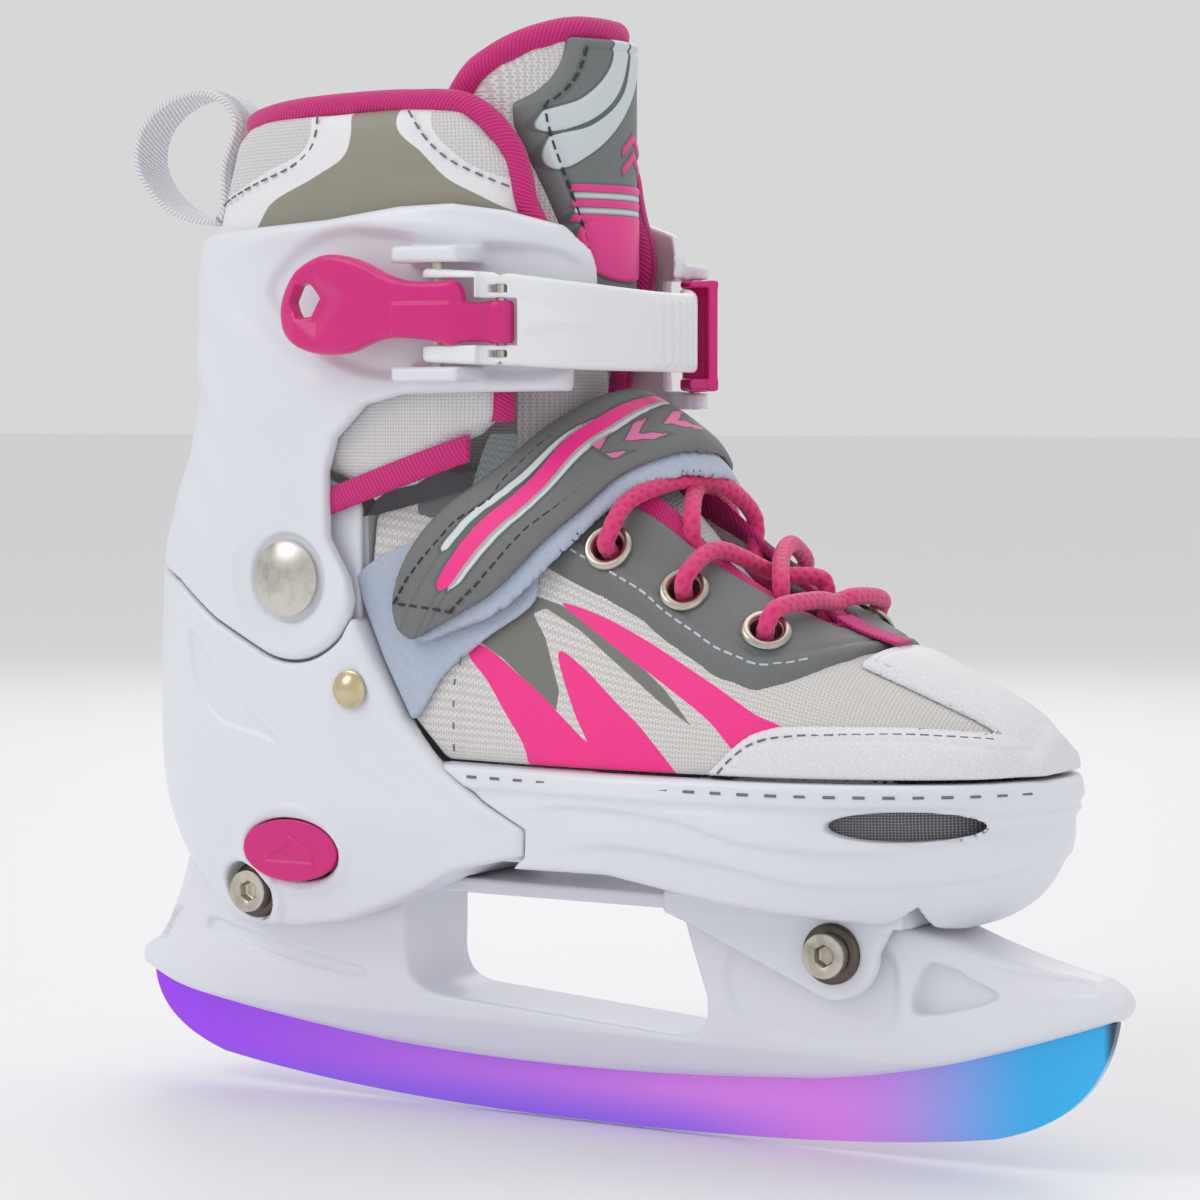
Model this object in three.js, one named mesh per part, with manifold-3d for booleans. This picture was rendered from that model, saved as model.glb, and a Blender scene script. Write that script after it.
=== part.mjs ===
// A child's size-adjustable ice skate for the right foot: a steel blade in a moulded holder, a two-piece
// telescoping boot shell, a hinged ankle cuff with an over-centre buckle, and a padded, laced soft boot.
// Millimetres. +X points to the toe, +Z up, -Y is the outer (lateral) side of the foot.
// The origin is the middle of the blade's running edge.
import * as THREE from "three";
import { mergeVertices } from "three/addons/utils/BufferGeometryUtils.js";
import Module from "manifold-3d";

const wasm = await Module();
wasm.setup();

// ---------------------------------------------------------------- driving dimensions
const BLADE = { half: 1.5, flat: 12, rear: -134.5, front: 135, seat: 8 };
const HOLDER = { half: 16, lipHalf: 5.5, toe: 139.5, heel: -134.5, towerTop: 59.7, deckUnder: 55.5 };
const DECK = { bottom: 56, top: 59.5, half: 15.5, rear: -72, front: 90 };
const EAR = { inner: 16.4, outer: 20, radius: 11 };
const FRONT_BOLT = { x: 73, z: 49.5, head: 20.1 };
const REAR_BOLT = { x: -84, z: 54.3, head: 25.2 };
const BOLT = {
  shank: 3, head: 5.2, headLength: 3.2, washer: 7.1, washerLength: 1.8, sleeve: 4.3, hole: 0.3,
};
const SHELL = { wall: 3.2, rim: 90, floor: 65, lap: 3.7, play: 0.5 };
const PIVOT = { x: -66, z: 133, bore: 4.2, cap: 9.2 };
const STAY_RIVET = { x: -47.4, z: 106.6, bore: 2.2, cap: 4.6 };
const CUFF = { wall: 3 };
const LOBE = { radius: 20 };
const BUTTON = { x: -67, z: 66, halfLength: 13.8, halfHeight: 7.6 };
const SOFT = { wall: 3, play: 0.7, floor: 76, splitX: -46.5, splitGap: 0.8 };
const LACE = { radius: 2.1, hole: 3.3, eyeletX: [18, 38, 58.5] };
const ARM_PIN = { x: -18.5, y: -44, low: 180.5, high: 211.5, radius: 1.3 };
const LEVER_PIN = { x: -2.5, y: -41.5, low: 184.5, high: 205.5, radius: 1.2 };
const CATCH_PIN = { x: 9.5, y: 30.5, low: 174, high: 209.5, radius: 1.3 };

// ---------------------------------------------------------------- solids from three.js geometry
const v3 = (x, y, z) => new THREE.Vector3(x, y, z);

/** A three.js geometry as a closed manifold-3d solid, turned the right way out. */
function solid(geometry) {
  const g = geometry.index ? geometry.toNonIndexed() : geometry.clone();
  for (const name of Object.keys(g.attributes)) if (name !== "position") g.deleteAttribute(name);
  const merged = mergeVertices(g, 1e-4);
  const vertProperties = new Float32Array(merged.attributes.position.array);
  const triVerts = new Uint32Array(merged.index.array);
  const made = new wasm.Manifold(new wasm.Mesh({ numProp: 3, vertProperties, triVerts }));
  if (made.volume() > 0) return made;
  for (let i = 0; i < triVerts.length; i += 3) {
    [triVerts[i], triVerts[i + 1]] = [triVerts[i + 1], triVerts[i]];
  }
  return new wasm.Manifold(new wasm.Mesh({ numProp: 3, vertProperties, triVerts }));
}

/** A manifold-3d solid back as a three.js geometry. */
function geometryOf(manifold) {
  const m = manifold.getMesh();
  const g = new THREE.BufferGeometry();
  g.setAttribute("position", new THREE.BufferAttribute(new Float32Array(m.vertProperties), 3));
  g.setIndex(new THREE.BufferAttribute(new Uint32Array(m.triVerts), 1));
  return g;
}

/** A closed skin through rings of equal length, with a flat fan over each end. */
function loft(rings) {
  const n = rings[0].length;
  const points = rings.flat();
  const index = [];
  for (let r = 0; r + 1 < rings.length; r++)
    for (let i = 0; i < n; i++) {
      const a = r * n + i;
      const b = r * n + ((i + 1) % n);
      index.push(a, b, b + n, a, b + n, a + n);
    }
  for (const [ring, start, flip] of [[rings[0], 0, true], [rings.at(-1), (rings.length - 1) * n, false]]) {
    const hub = ring.reduce((sum, p) => sum.add(p), v3(0, 0, 0)).divideScalar(n);
    const at = points.push(hub) - 1;
    for (let i = 0; i < n; i++) {
      const a = start + i;
      const b = start + ((i + 1) % n);
      index.push(...(flip ? [at, b, a] : [at, a, b]));
    }
  }
  const g = new THREE.BufferGeometry().setFromPoints(points);
  g.setIndex(index);
  return solid(g);
}

/** A closed slab between two grids of points that face each other. */
function slab(upper, lower) {
  const rows = upper.length;
  const columns = upper[0].length;
  const points = [...upper.flat(), ...lower.flat()];
  const at = (layer, i, j) => layer * rows * columns + i * columns + j;
  const index = [];
  const quad = (a, b, c, d) => index.push(a, b, c, a, c, d);
  for (let i = 0; i + 1 < rows; i++)
    for (let j = 0; j + 1 < columns; j++) {
      quad(at(0, i, j), at(0, i + 1, j), at(0, i + 1, j + 1), at(0, i, j + 1));
      quad(at(1, i, j), at(1, i, j + 1), at(1, i + 1, j + 1), at(1, i + 1, j));
    }
  for (let i = 0; i + 1 < rows; i++) {
    quad(at(0, i, 0), at(1, i, 0), at(1, i + 1, 0), at(0, i + 1, 0));
    quad(at(0, i, columns - 1), at(0, i + 1, columns - 1), at(1, i + 1, columns - 1), at(1, i, columns - 1));
  }
  for (let j = 0; j + 1 < columns; j++) {
    quad(at(0, 0, j), at(0, 0, j + 1), at(1, 0, j + 1), at(1, 0, j));
    quad(at(0, rows - 1, j), at(1, rows - 1, j), at(1, rows - 1, j + 1), at(0, rows - 1, j + 1));
  }
  const g = new THREE.BufferGeometry().setFromPoints(points);
  g.setIndex(index);
  return solid(g);
}

/** An outline in X and Z, extruded across the skate from one Y to another. */
function across(shape, y0, y1, curveSegments = 6) {
  const g = new THREE.ExtrudeGeometry(shape, { depth: y1 - y0, bevelEnabled: false, curveSegments });
  g.rotateX(Math.PI / 2).translate(0, y1, 0);
  return solid(g);
}

/** An outline in X and Y, extruded up from one Z to another. */
function upward(shape, z0, z1, curveSegments = 6) {
  const g = new THREE.ExtrudeGeometry(shape, { depth: z1 - z0, bevelEnabled: false, curveSegments });
  return solid(g.translate(0, 0, z0));
}

/** A polygon through points given as [across, up] pairs. */
const polygon = (pairs) => new THREE.Shape(pairs.map(([x, y]) => new THREE.Vector2(x, y)));

/** A smooth closed outline through points given as [across, up] pairs. */
function smoothOutline(pairs, count) {
  const curve = new THREE.CatmullRomCurve3(pairs.map(([x, y]) => v3(x, y, 0)), true, "centripetal");
  return curve.getSpacedPoints(count).slice(0, count).map((p) => [p.x, p.y]);
}

/** A cylinder across the skate, about an axis through (x, z), from y0 to y1. */
function crossPin(x, z, r0, y0, y1, sides = 20, r1 = r0) {
  const g = new THREE.CylinderGeometry(r1, r0, y1 - y0, sides);
  return solid(g.translate(x, (y0 + y1) / 2, z));
}

/** An upright cylinder about (x, y), from z0 to z1. */
function crossPinUp(x, y, r, z0, z1, sides = 16) {
  const g = new THREE.CylinderGeometry(r, r, z1 - z0, sides).rotateX(Math.PI / 2);
  return solid(g.translate(x, y, (z0 + z1) / 2));
}

/** A box between two corners. */
function block(x0, y0, z0, x1, y1, z1) {
  const g = new THREE.BoxGeometry(x1 - x0, y1 - y0, z1 - z0);
  return solid(g.translate((x0 + x1) / 2, (y0 + y1) / 2, (z0 + z1) / 2));
}

const joined = (first, ...rest) => rest.reduce((sum, s) => sum.add(s), first);
const cut = (first, ...rest) => rest.reduce((left, s) => left.subtract(s), first);
const common = (first, ...rest) => rest.reduce((left, s) => left.intersect(s), first);

/** Straight-line interpolation in a table of [at, value, value, ...] rows. */
function interpolate(table, at) {
  if (at <= table[0][0]) return table[0].slice(1);
  for (let i = 1; i < table.length; i++)
    if (at <= table[i][0]) {
      const t = (at - table[i - 1][0]) / (table[i][0] - table[i - 1][0]);
      return table[i].slice(1).map((v, k) => table[i - 1][k + 1] * (1 - t) + v * t);
    }
  return table.at(-1).slice(1);
}

// ---------------------------------------------------------------- finishes
const finish = (hex, roughness, metalness = 0) =>
  new THREE.MeshStandardMaterial({ color: hex, roughness, metalness });
const FINISH = {
  whitePlastic: finish(0xebeaf0, 0.38),
  pinkPlastic: finish(0xd81c80, 0.4),
  iridescentSteel: finish(0xb65cff, 0.25, 0.6),
  steel: finish(0xc9c4b8, 0.3, 1),
  darkSteel: finish(0x6d6358, 0.4, 1),
  whiteFabric: finish(0xdcd8d6, 0.9),
  greyLeather: finish(0x727472, 0.6),
  whiteLeather: finish(0xf0f0f3, 0.5),
  pinkCord: finish(0xd0206c, 0.8),
  greyMesh: finish(0x9a9896, 0.9),
};

const skate = new THREE.Group();

/** Adds a solid to the skate as a named mesh with its finish. */
function add(name, manifold, material) {
  const mesh = new THREE.Mesh(geometryOf(manifold), material);
  mesh.name = name;
  skate.add(mesh);
}

// ---------------------------------------------------------------- blade and holder
/** The blade's side outline: a flat running edge, a long rocker, a lifted toe and a rounded heel. */
function bladeOutline() {
  const s = new THREE.Shape();
  const { flat, rear, front } = BLADE;
  s.moveTo(-flat, 0);
  s.lineTo(flat, 0);
  s.quadraticCurveTo(70, 0.6, 105, 6.4);
  s.quadraticCurveTo(132, 13, front, 36);
  s.quadraticCurveTo(100, 27 + BLADE.seat / 2, 60, 24);
  s.quadraticCurveTo(0, 19, -60, 23.5);
  s.quadraticCurveTo(-105, 27, rear, 33.5);
  s.lineTo(rear, 27);
  s.quadraticCurveTo(-133, 13.5, -112, 7.2);
  s.quadraticCurveTo(-70, 0.3, -flat, 0);
  return s.getPoints(8).slice(0, -1).map(({ x, y }) => [x, y]);
}

/** An outline moved outward by a margin along the bisector at each corner. */
function grown(pairs, margin) {
  const at = (i) => new THREE.Vector2(...pairs.at(i % pairs.length));
  return pairs.map((_, i) => {
    const before = at(i).sub(at(i - 1)).normalize();
    const after = at(i + 1).sub(at(i)).normalize();
    const bisector = before.clone().add(after).normalize();
    const reach = margin / Math.max(0.4, bisector.dot(after));
    return [pairs[i][0] + bisector.y * reach, pairs[i][1] - bisector.x * reach];
  });
}

/** The holder's side outline: toe and heel points, two towers and the curved lip that grips the blade. */
function holderOutline() {
  const s = new THREE.Shape();
  s.moveTo(HOLDER.heel, 29);
  s.quadraticCurveTo(-137, 34, -131, 36);
  s.quadraticCurveTo(-122, 40, -116, HOLDER.towerTop);
  s.lineTo(-73, HOLDER.towerTop);
  s.lineTo(-73, HOLDER.deckUnder);
  s.lineTo(88, HOLDER.deckUnder);
  s.lineTo(92, 55);
  s.quadraticCurveTo(112, 48, 132, 45.5);
  s.quadraticCurveTo(HOLDER.toe + 2, 42, 137, 37);
  s.quadraticCurveTo(90, 20, 60, 16.8);
  s.quadraticCurveTo(0, 11, -60, 15);
  s.quadraticCurveTo(-105, 20, HOLDER.heel, 29);
  return s;
}

/** The open window between the holder's two towers. */
function holderWindow() {
  const s = new THREE.Shape();
  s.moveTo(-47, DECK.bottom + 2);
  s.lineTo(-47, 39);
  s.quadraticCurveTo(-47, 30.5, -37, 29.6);
  s.lineTo(28, 25.4);
  s.quadraticCurveTo(38, 25, 37, 36);
  s.lineTo(26, DECK.bottom + 2);
  return s;
}

/** The holder seen from the front: narrow at the blade's lip and full width at the towers. */
const holderFront = polygon([
  [-HOLDER.lipHalf, 9], [HOLDER.lipHalf, 9], [HOLDER.lipHalf + 0.5, 15], [12, 24], [15, 34],
  [HOLDER.half, 48],
  [HOLDER.half, 62], [-HOLDER.half, 62], [-HOLDER.half, 48], [-15, 34], [-12, 24],
  [-HOLDER.lipHalf - 0.5, 15],
]);

/** The holder seen from above, tapering to its toe and heel points. */
const holderPlan = polygon([
  [141, -3.5], [141, 3.5], [120, 9], [95, 14], [78, 16.2], [-100, 16.2], [-122, 12], [-136, 7],
  [-136, -7],
  [-122, -12], [-100, -16.2], [78, -16.2], [95, -14], [120, -9],
]);

function buildBladeAndHolder() {
  add("blade", across(polygon(bladeOutline()), -BLADE.half, BLADE.half), FINISH.iridescentSteel);
  const front = new THREE.ExtrudeGeometry(holderFront, { depth: 300, bevelEnabled: false });
  front.rotateX(Math.PI / 2).rotateZ(Math.PI / 2).translate(-150, 0, 0);
  const slot = across(polygon(grown(bladeOutline(), 0.35)), -BLADE.half - 0.3, BLADE.half + 0.3);
  const pocket = across(polygon([[93, 48], [90, 36], [110, 41.5]]), -20, -9.5);
  const body = common(across(holderOutline(), -20, 20), solid(front), upward(holderPlan, 0, 70));
  const holder = cut(
    body,
    across(holderWindow(), -25, 25),
    slot,
    pocket,
    across(polygon([[93, 48], [90, 36], [110, 41.5]]), 9.5, 20),
    crossPin(FRONT_BOLT.x, FRONT_BOLT.z, BOLT.sleeve + BOLT.hole, -30, 30),
    crossPin(REAR_BOLT.x, REAR_BOLT.z, BOLT.sleeve + BOLT.hole, -30, 30),
  );
  add("blade_holder", holder, FINISH.whitePlastic);
}

/** The chassis deck under the boot: a flat rail with two ears that straddle the holder's front tower. */
function buildDeck() {
  const earOutline = new THREE.Shape();
  earOutline.moveTo(29, DECK.bottom);
  earOutline.lineTo(29, DECK.top + 1.5);
  earOutline.lineTo(DECK.front, DECK.top + 1.5);
  earOutline.lineTo(84, 50);
  earOutline.absarc(FRONT_BOLT.x, FRONT_BOLT.z, EAR.radius, 0, -Math.PI * 0.7, true);
  const rail = block(DECK.rear, -DECK.half, DECK.bottom, DECK.front, DECK.half, DECK.top);
  const bridge = block(29, -EAR.outer, DECK.bottom, DECK.front, EAR.outer, DECK.top + 1.5);
  const bolt = crossPin(FRONT_BOLT.x, FRONT_BOLT.z, BOLT.sleeve + BOLT.hole, -30, 30);
  const ears = [-1, 1].map((side) =>
    across(earOutline, ...[side * EAR.inner, side * EAR.outer].sort((a, b) => a - b)));
  add("chassis_deck", cut(joined(rail, bridge, ...ears), bolt), FINISH.whitePlastic);
}

/** One frame bolt: a screw and washer from the lateral side, and a sleeve nut from the medial side. */
function buildFrameBolt(prefix, at) {
  const { x, z, head } = at;
  const washer = cut(
    crossPin(x, z, BOLT.washer, -head - BOLT.washerLength, -head, 24, BOLT.washer),
    crossPin(x, z, BOLT.shank + 0.15, -40, 0, 16),
  );
  const face = -head - BOLT.washerLength - 0.3;
  const socket = crossPin(x, z, 2.3, face - BOLT.headLength - 1, face - BOLT.headLength + 2, 6);
  const tip = head - 6;
  const screw = cut(
    joined(
      crossPin(x, z, BOLT.head, face - BOLT.headLength, face, 24),
      crossPin(x, z, BOLT.shank, face - 0.1, tip, 16),
    ),
    socket,
  );
  const sleeve = cut(
    joined(
      crossPin(x, z, BOLT.washer, head + 0.3, head + 3, 24),
      crossPin(x, z, BOLT.sleeve, -head + 8, head + 0.4, 20),
    ),
    crossPin(x, z, BOLT.shank + 0.12, -30, head - 4, 16),
  );
  add(`${prefix}_frame_washer`, washer, FINISH.darkSteel);
  add(`${prefix}_frame_bolt`, screw, FINISH.steel);
  add(`${prefix}_frame_sleeve_nut`, sleeve, FINISH.darkSteel);
}

// ---------------------------------------------------------------- boot shell
// Half-widths of the boot's outer shell along its length, seen from above, at its widest level.
const SHELL_PLAN = [
  [-124, 0], [-121.5, 13], [-112, 26], [-94, 34], [-62, 37], [-25, 38], [10, 40.5], [45, 43.5], [70, 43],
  [92, 36.5], [108, 25], [117, 12], [120, 0],
];

/** A closed ring at height z: the shell's plan stretched between rear and front and to a half-width. */
function planRing(plan, z, rear, front, widthScale, inset, toeShift = 0, count = 34) {
  const both = [...plan, ...plan.slice(1, -1).reverse().map(([x, w]) => [x, -w])];
  const x0 = plan[0][0];
  const x1 = plan.at(-1)[0];
  const outline = smoothOutline(both, count).map(([x, y]) => {
    const along = (x - x0) / (x1 - x0);
    return [rear + along * (front - rear), y * widthScale + toeShift * Math.max(0, along - 0.6)];
  });
  const middle = (rear + front) / 2;
  const shrinkX = 1 - (2 * inset) / (front - rear);
  const widest = Math.max(...plan.map(([, w]) => w)) * widthScale;
  return outline.map(([x, y]) => v3(middle + (x - middle) * shrinkX, y * (1 - inset / widest), z));
}

// Height, rear, front and width share of the boot shell, from its keel to above its ankle.
const SHELL_LEVELS = [
  [44, -104, 92, 0.72], [50, -109, 98, 0.8], [56, -113, 104, 0.86], [62, -117, 112, 0.92],
  [70, -120.5, 117, 0.965],
  [80, -123, 119.5, 1], [SHELL.rim, -124, 120, 1], [105, -124, 119, 1], [125, -123, 117, 1.02],
  [150, -122, 116, 1.04],
];

/** The boot shell's form as a full solid, shrunk by an inset that may grow with height. */
function shellForm(inset, bottom = 44, top = 150, extra = () => 0) {
  const heights = SHELL_LEVELS.map(([z]) => z).filter((z) => z > bottom && z < top);
  return loft([bottom, ...heights, top].map((z) => {
    const [rear, front, width] = interpolate(SHELL_LEVELS, z);
    return planRing(SHELL_PLAN, z, rear, front, width, inset + extra(z), 18);
  }));
}

/** The line where the heel shell overlaps the toe shell, from ankle to keel, moved forward by shift. */
const seamLine = (shift) => [
  [-54 + shift, 143], [-48.5 + shift, 128], [-41.5 + shift, 114], [-33 + shift, 100],
  [-21 + shift, 88.5],
  [-9.5 + shift, 81], [1.5 + shift, 75.5], [0.5 + shift, 69], [-9 + shift, 62], [-16 + shift, 50],
];

/** The edge where the cuff meets the heel shell: round the heel, then an arc about the ankle pivot. */
function lobeEdge(gap) {
  const arc = Array.from({ length: 9 }, (_, i) => {
    const angle = THREE.MathUtils.degToRad(-112 + i * 10.7);
    const r = LOBE.radius + gap;
    return [PIVOT.x + r * Math.cos(angle), PIVOT.z + r * Math.sin(angle)];
  });
  return [[-130, 137 - gap], [-118, 136.4 - gap], [-104, 131.5 - gap], [-90, 122.5 - gap], ...arc];
}

function buildHeelShell() {
  const side = across(polygon([
    [-46, 123], ...seamLine(0).slice(2, -2), [-20, 64], [-31, 58.5], [-43, 53.5], [-57, 48.5],
    [-72, 46], [-90, 45.5],
    [-100, 48.5], [-112, 58], [-130, 70], ...lobeEdge(0.7),
  ]), -60, 60);
  const flangeOutline = new THREE.Shape().absarc(PIVOT.x, PIVOT.z, 25.5, 0, Math.PI * 2);
  const outer = common(shellForm(0), side);
  const flangeZone = common(across(flangeOutline, -33, 33, 14), block(-120, -60, 90, -48, 60, 160));
  const flange = common(shellForm(SHELL.lap + 0.8), flangeZone);
  const thicker = (z) => THREE.MathUtils.clamp((z - 92) / 14, 0, 1) * (SHELL.lap + 0.8);
  const cavity = shellForm(SHELL.wall, SHELL.floor, 152, thicker);
  const tower = block(-118, -HOLDER.half - 0.6, 40, -20, HOLDER.half + 0.6, 60);
  const buttonHole = ellipseBlock(BUTTON, 0.5, -60, -20);
  const made = cut(
    joined(outer, flange),
    cavity,
    tower,
    crossPin(REAR_BOLT.x, REAR_BOLT.z, BOLT.sleeve + BOLT.hole, -60, 60),
    crossPin(REAR_BOLT.x, REAR_BOLT.z, BOLT.washer + 0.6, -60, -REAR_BOLT.head),
    crossPin(REAR_BOLT.x, REAR_BOLT.z, BOLT.washer + 0.6, REAR_BOLT.head, 60),
    crossPin(PIVOT.x, PIVOT.z, PIVOT.bore + 0.1, -60, 60),
    crossPin(STAY_RIVET.x, STAY_RIVET.z, STAY_RIVET.bore + 0.15, -60, 60, 12),
    buttonHole,
  );
  add("heel_shell", made, FINISH.whitePlastic);
}

/** An oval block across the skate, grown by margin, between two Y values. */
function ellipseBlock({ x, z, halfLength, halfHeight }, margin, y0, y1) {
  const s = new THREE.Shape();
  s.absellipse(x, z, halfLength + margin, halfHeight + margin, 0, Math.PI * 2, false, 0);
  return across(s, y0, y1, 12);
}

// The leaf-shaped vent in each side of the toe shell.
const VENT = { x: 94, z: 80.5, halfLength: 15.5, halfHeight: 3.4 };

function buildToeShell() {
  const seam = seamLine(SHELL.play).filter(([, z]) => z > 64 && z < SHELL.rim);
  const side = across(polygon([
    [-21.6, SHELL.rim], ...seam, [-3, 65.8], [24, 66.4], [38, 64], [52, 61.5], [75, 58.6],
    [90, 56.6], [99, 55],
    [109, 57.5], [140, 70], [140, SHELL.rim],
  ]), -60, 60);
  const sleeveSide = across(polygon([[-48, 67], [20, 67], [20, SHELL.rim], [-48, SHELL.rim]]), -60, 60);
  const sleeve = common(shellForm(SHELL.wall + SHELL.play), sleeveSide);
  const rack = cut(
    block(-86, -29.3, 65.8, -40, -24.8, 69.8),
    ...Array.from({ length: 6 }, (_, i) => crossPinUp(-82 + i * 6, -24.4, 1.5, 65, 71, 8)),
  );
  const cavity = shellForm(SHELL.wall + SHELL.play + 2.2, SHELL.floor + 5, 140);
  const tunnel = block(-60, -EAR.outer - 1.5, 40, 95, EAR.outer + 1.5, DECK.top + 2.4);
  const vent = ellipseBlock(VENT, 0, -60, 60);
  const meshSeat = common(shellForm(4.3), ellipseBlock(VENT, 2.3, -60, 60));
  const hull = cut(joined(common(shellForm(0), side), sleeve), cavity, tunnel, vent, meshSeat);
  add("toe_shell", joined(hull, rack), FINISH.whitePlastic);
  const meshBand = cut(shellForm(4.5, 72, 89), shellForm(5.7, 71, 90));
  for (const [name, y0, y1] of [["vent_mesh_lateral", -60, -8], ["vent_mesh_medial", 8, 60]])
    add(name, common(meshBand, ellipseBlock(VENT, 2, y0, y1)), FINISH.greyMesh);
}

/** The size lock: an oval button with a hooked stem, and the toe shell's notched rack beside it. */
function buildSizeLock() {
  const face = -36.8;
  const stemZ = BUTTON.z + 6.6;
  const button = joined(
    ellipseBlock(BUTTON, 0, face, -32.6),
    block(BUTTON.x - 3, -32.7, stemZ - 1.4, BUTTON.x + 3, -21.8, stemZ + 1.4),
    block(BUTTON.x - 3, -24.3, stemZ - 5.2, BUTTON.x + 3, -21.8, stemZ),
  );
  add("push_button", button, FINISH.pinkPlastic);
}

/** A round tube along a curve. */
function tube(curve, radius, steps, sides) {
  const section = new THREE.Shape();
  for (let i = 0; i < sides; i++) {
    const a = (i / sides) * Math.PI * 2;
    section[i ? "lineTo" : "moveTo"](radius * Math.cos(a), radius * Math.sin(a));
  }
  section.closePath();
  return solid(new THREE.ExtrudeGeometry(section, { steps, extrudePath: curve, bevelEnabled: false }));
}

// ---------------------------------------------------------------- cuff
// Half-widths of the cuff along its length, seen from above.
const CUFF_PLAN = [
  [-124, 0], [-121.5, 13], [-112, 26], [-94, 34], [-62, 37], [-38, 38], [-20, 36.5], [-4, 32.5],
  [8, 27], [16, 15],
  [20, 0],
];

// Height, rear, front and width share of the cuff.
const CUFF_LEVELS = [
  [105, -124, 20, 1], [136, -122.5, 20, 1.03], [150, -118.5, 20, 1.04], [165, -113, 19, 1.04],
  [180, -110, 18, 1.05],
  [205, -110, 18, 1.05], [222, -107, 18, 1.05], [252, -99, 16, 1],
];

/** The cuff's form as a full solid, shrunk by an inset. */
function cuffForm(inset, bottom, top) {
  const heights = CUFF_LEVELS.map(([z]) => z).filter((z) => z > bottom && z < top);
  return loft([bottom, ...heights, top].map((z) => {
    const [rear, front, width] = interpolate(CUFF_LEVELS, z);
    return planRing(CUFF_PLAN, z, rear, front, width, inset);
  }));
}

function buildCuff() {
  const side = across(polygon([
    ...lobeEdge(0), [-47, 128], [-48, 133], [-54, 143], [-54.5, 159], [-52, 167],
    [-43, 175], [-32, 177.6], [7, 178.2], [7.5, 189], [10.6, 203.6], [9.8, 211], [5.8, 217], [-6, 220.5],
    [-19, 222.4], [-33, 222], [-54, 219.5], [-92.5, 217.4], [-130, 216],
  ]), -60, 60);
  const cheek = (low, high) => common(
    block(-29, ARM_PIN.y - 4, low, -11, -34, high),
    cuffForm(-8, low - 1, high + 1),
  );
  const catchLug = (low, high) => joined(
    crossPinUp(CATCH_PIN.x, CATCH_PIN.y, 3.4, low, high),
    block(-8, 27, low, CATCH_PIN.x, 33.6, high),
    block(-8, 27, Math.min(low, 178), 1.5, 33.6, Math.max(high, 181)),
  );
  const wall = cut(common(cuffForm(0, 105, 223), side), cuffForm(CUFF.wall, 104, 224));
  const window = block(-130, -17, 156, -95, 17, 178);
  const medialNotch = block(2.5, 10, 178.3, 30, 50, 206);
  const made = joined(
    cut(wall, window, medialNotch),
    cut(joined(cheek(180.4, 183.8), cheek(208.2, 212)), cuffForm(CUFF.wall - 0.5, 150, 224)),
    cut(joined(catchLug(174.2, 178), catchLug(206.2, 209.4)), cuffForm(CUFF.wall - 0.5, 150, 224)),
  );
  add("cuff_shell", cut(
    made,
    crossPin(PIVOT.x, PIVOT.z, PIVOT.bore + 0.1, -60, 60),
    crossPinUp(ARM_PIN.x, ARM_PIN.y, ARM_PIN.radius + 0.15, 170, 220, 12),
    crossPinUp(CATCH_PIN.x, CATCH_PIN.y, CATCH_PIN.radius + 0.15, 170, 220, 12),
  ), FINISH.whitePlastic);
}

/** A domed rivet across the boot's wall: cap outside at capY, clench disc inside at clenchY, on one side. */
function buildRivet(name, at, side, capY, clenchY, clench, material) {
  const dome = [[0, 0], [at.cap, 0], [at.cap, 0.7], [at.cap * 0.8, 1.7], [at.cap * 0.45, 2.2], [0, 2.4]];
  const profile = [
    [0, clenchY - 1.1], [clench, clenchY - 1.1], [clench, clenchY], [at.bore - 0.2, clenchY],
    [at.bore - 0.2, capY],
    ...dome.slice(1).map(([r, h]) => [r, capY + h]), [0, clenchY - 1.1],
  ];
  const g = new THREE.LatheGeometry(profile.map(([r, h]) => new THREE.Vector2(r, h)), 18);
  if (side < 0) g.rotateX(Math.PI);
  add(name, solid(g.translate(at.x, 0, at.z)), material);
}

// ---------------------------------------------------------------- soft boot
// Along the foot: half-widths at the floor, the rim and the eyelet line, its height, the crown height.
const VAMP_STATIONS = [
  [-50, 26, 30.5, 25, 162, 180], [-20, 29, 35, 25, 157, 180], [0, 31, 37.5, 25, 149, 176],
  [10, 32, 38.1, 25, 144.5, 171],
  [20, 33, 38.7, 25.5, 139.5, 165], [28, 33.5, 39.1, 26, 135.5, 157.5],
  [38, 34, 39.6, 26.5, 130.7, 144.5],
  [45, 34, 39.8, 26.8, 127.6, 136.5], [58.5, 33.5, 39.6, 27, 121.4, 125.5],
  [70, 32, 38.4, 26.5, 115.5, 119.5], [82, 29.5, 35.5, 24, 110, 116], [95, 25, 30.5, 20.5, 104.5, 110.5],
  [107, 17.5, 22.5, 15, 100, 104.5], [116, 7, 10, 6.5, 95, 98],
];

/** How far the foot's middle line leans toward the big toe at a station. */
const toeShift = (x) => 18 * Math.max(0, (x + 124) / 244 - 0.6);

/** A point of the soft boot's surface at station x; u runs 0 to 6 from the outer floor over the crown. */
function vampPoint(x, u, out = 0) {
  const [floor, rim, eye, eyeZ, crown] = interpolate(VAMP_STATIONS, x);
  const shift = toeShift(x);
  const half = [[floor, SOFT.floor], [rim, 93], [eye, eyeZ]];
  const knots = [
    ...half.map(([y, z]) => v3(x, shift - y, z)),
    v3(x, shift, crown),
    ...half.toReversed().map(([y, z]) => v3(x, shift + y, z)),
  ];
  const curve = new THREE.CatmullRomCurve3(knots, false, "centripetal");
  const t = Math.min(Math.max(u / 6, 0), 1);
  const tangent = curve.getTangent(t);
  const normal = v3(0, -tangent.z, tangent.y).normalize();
  return curve.getPoint(t).addScaledVector(normal, out);
}

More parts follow.
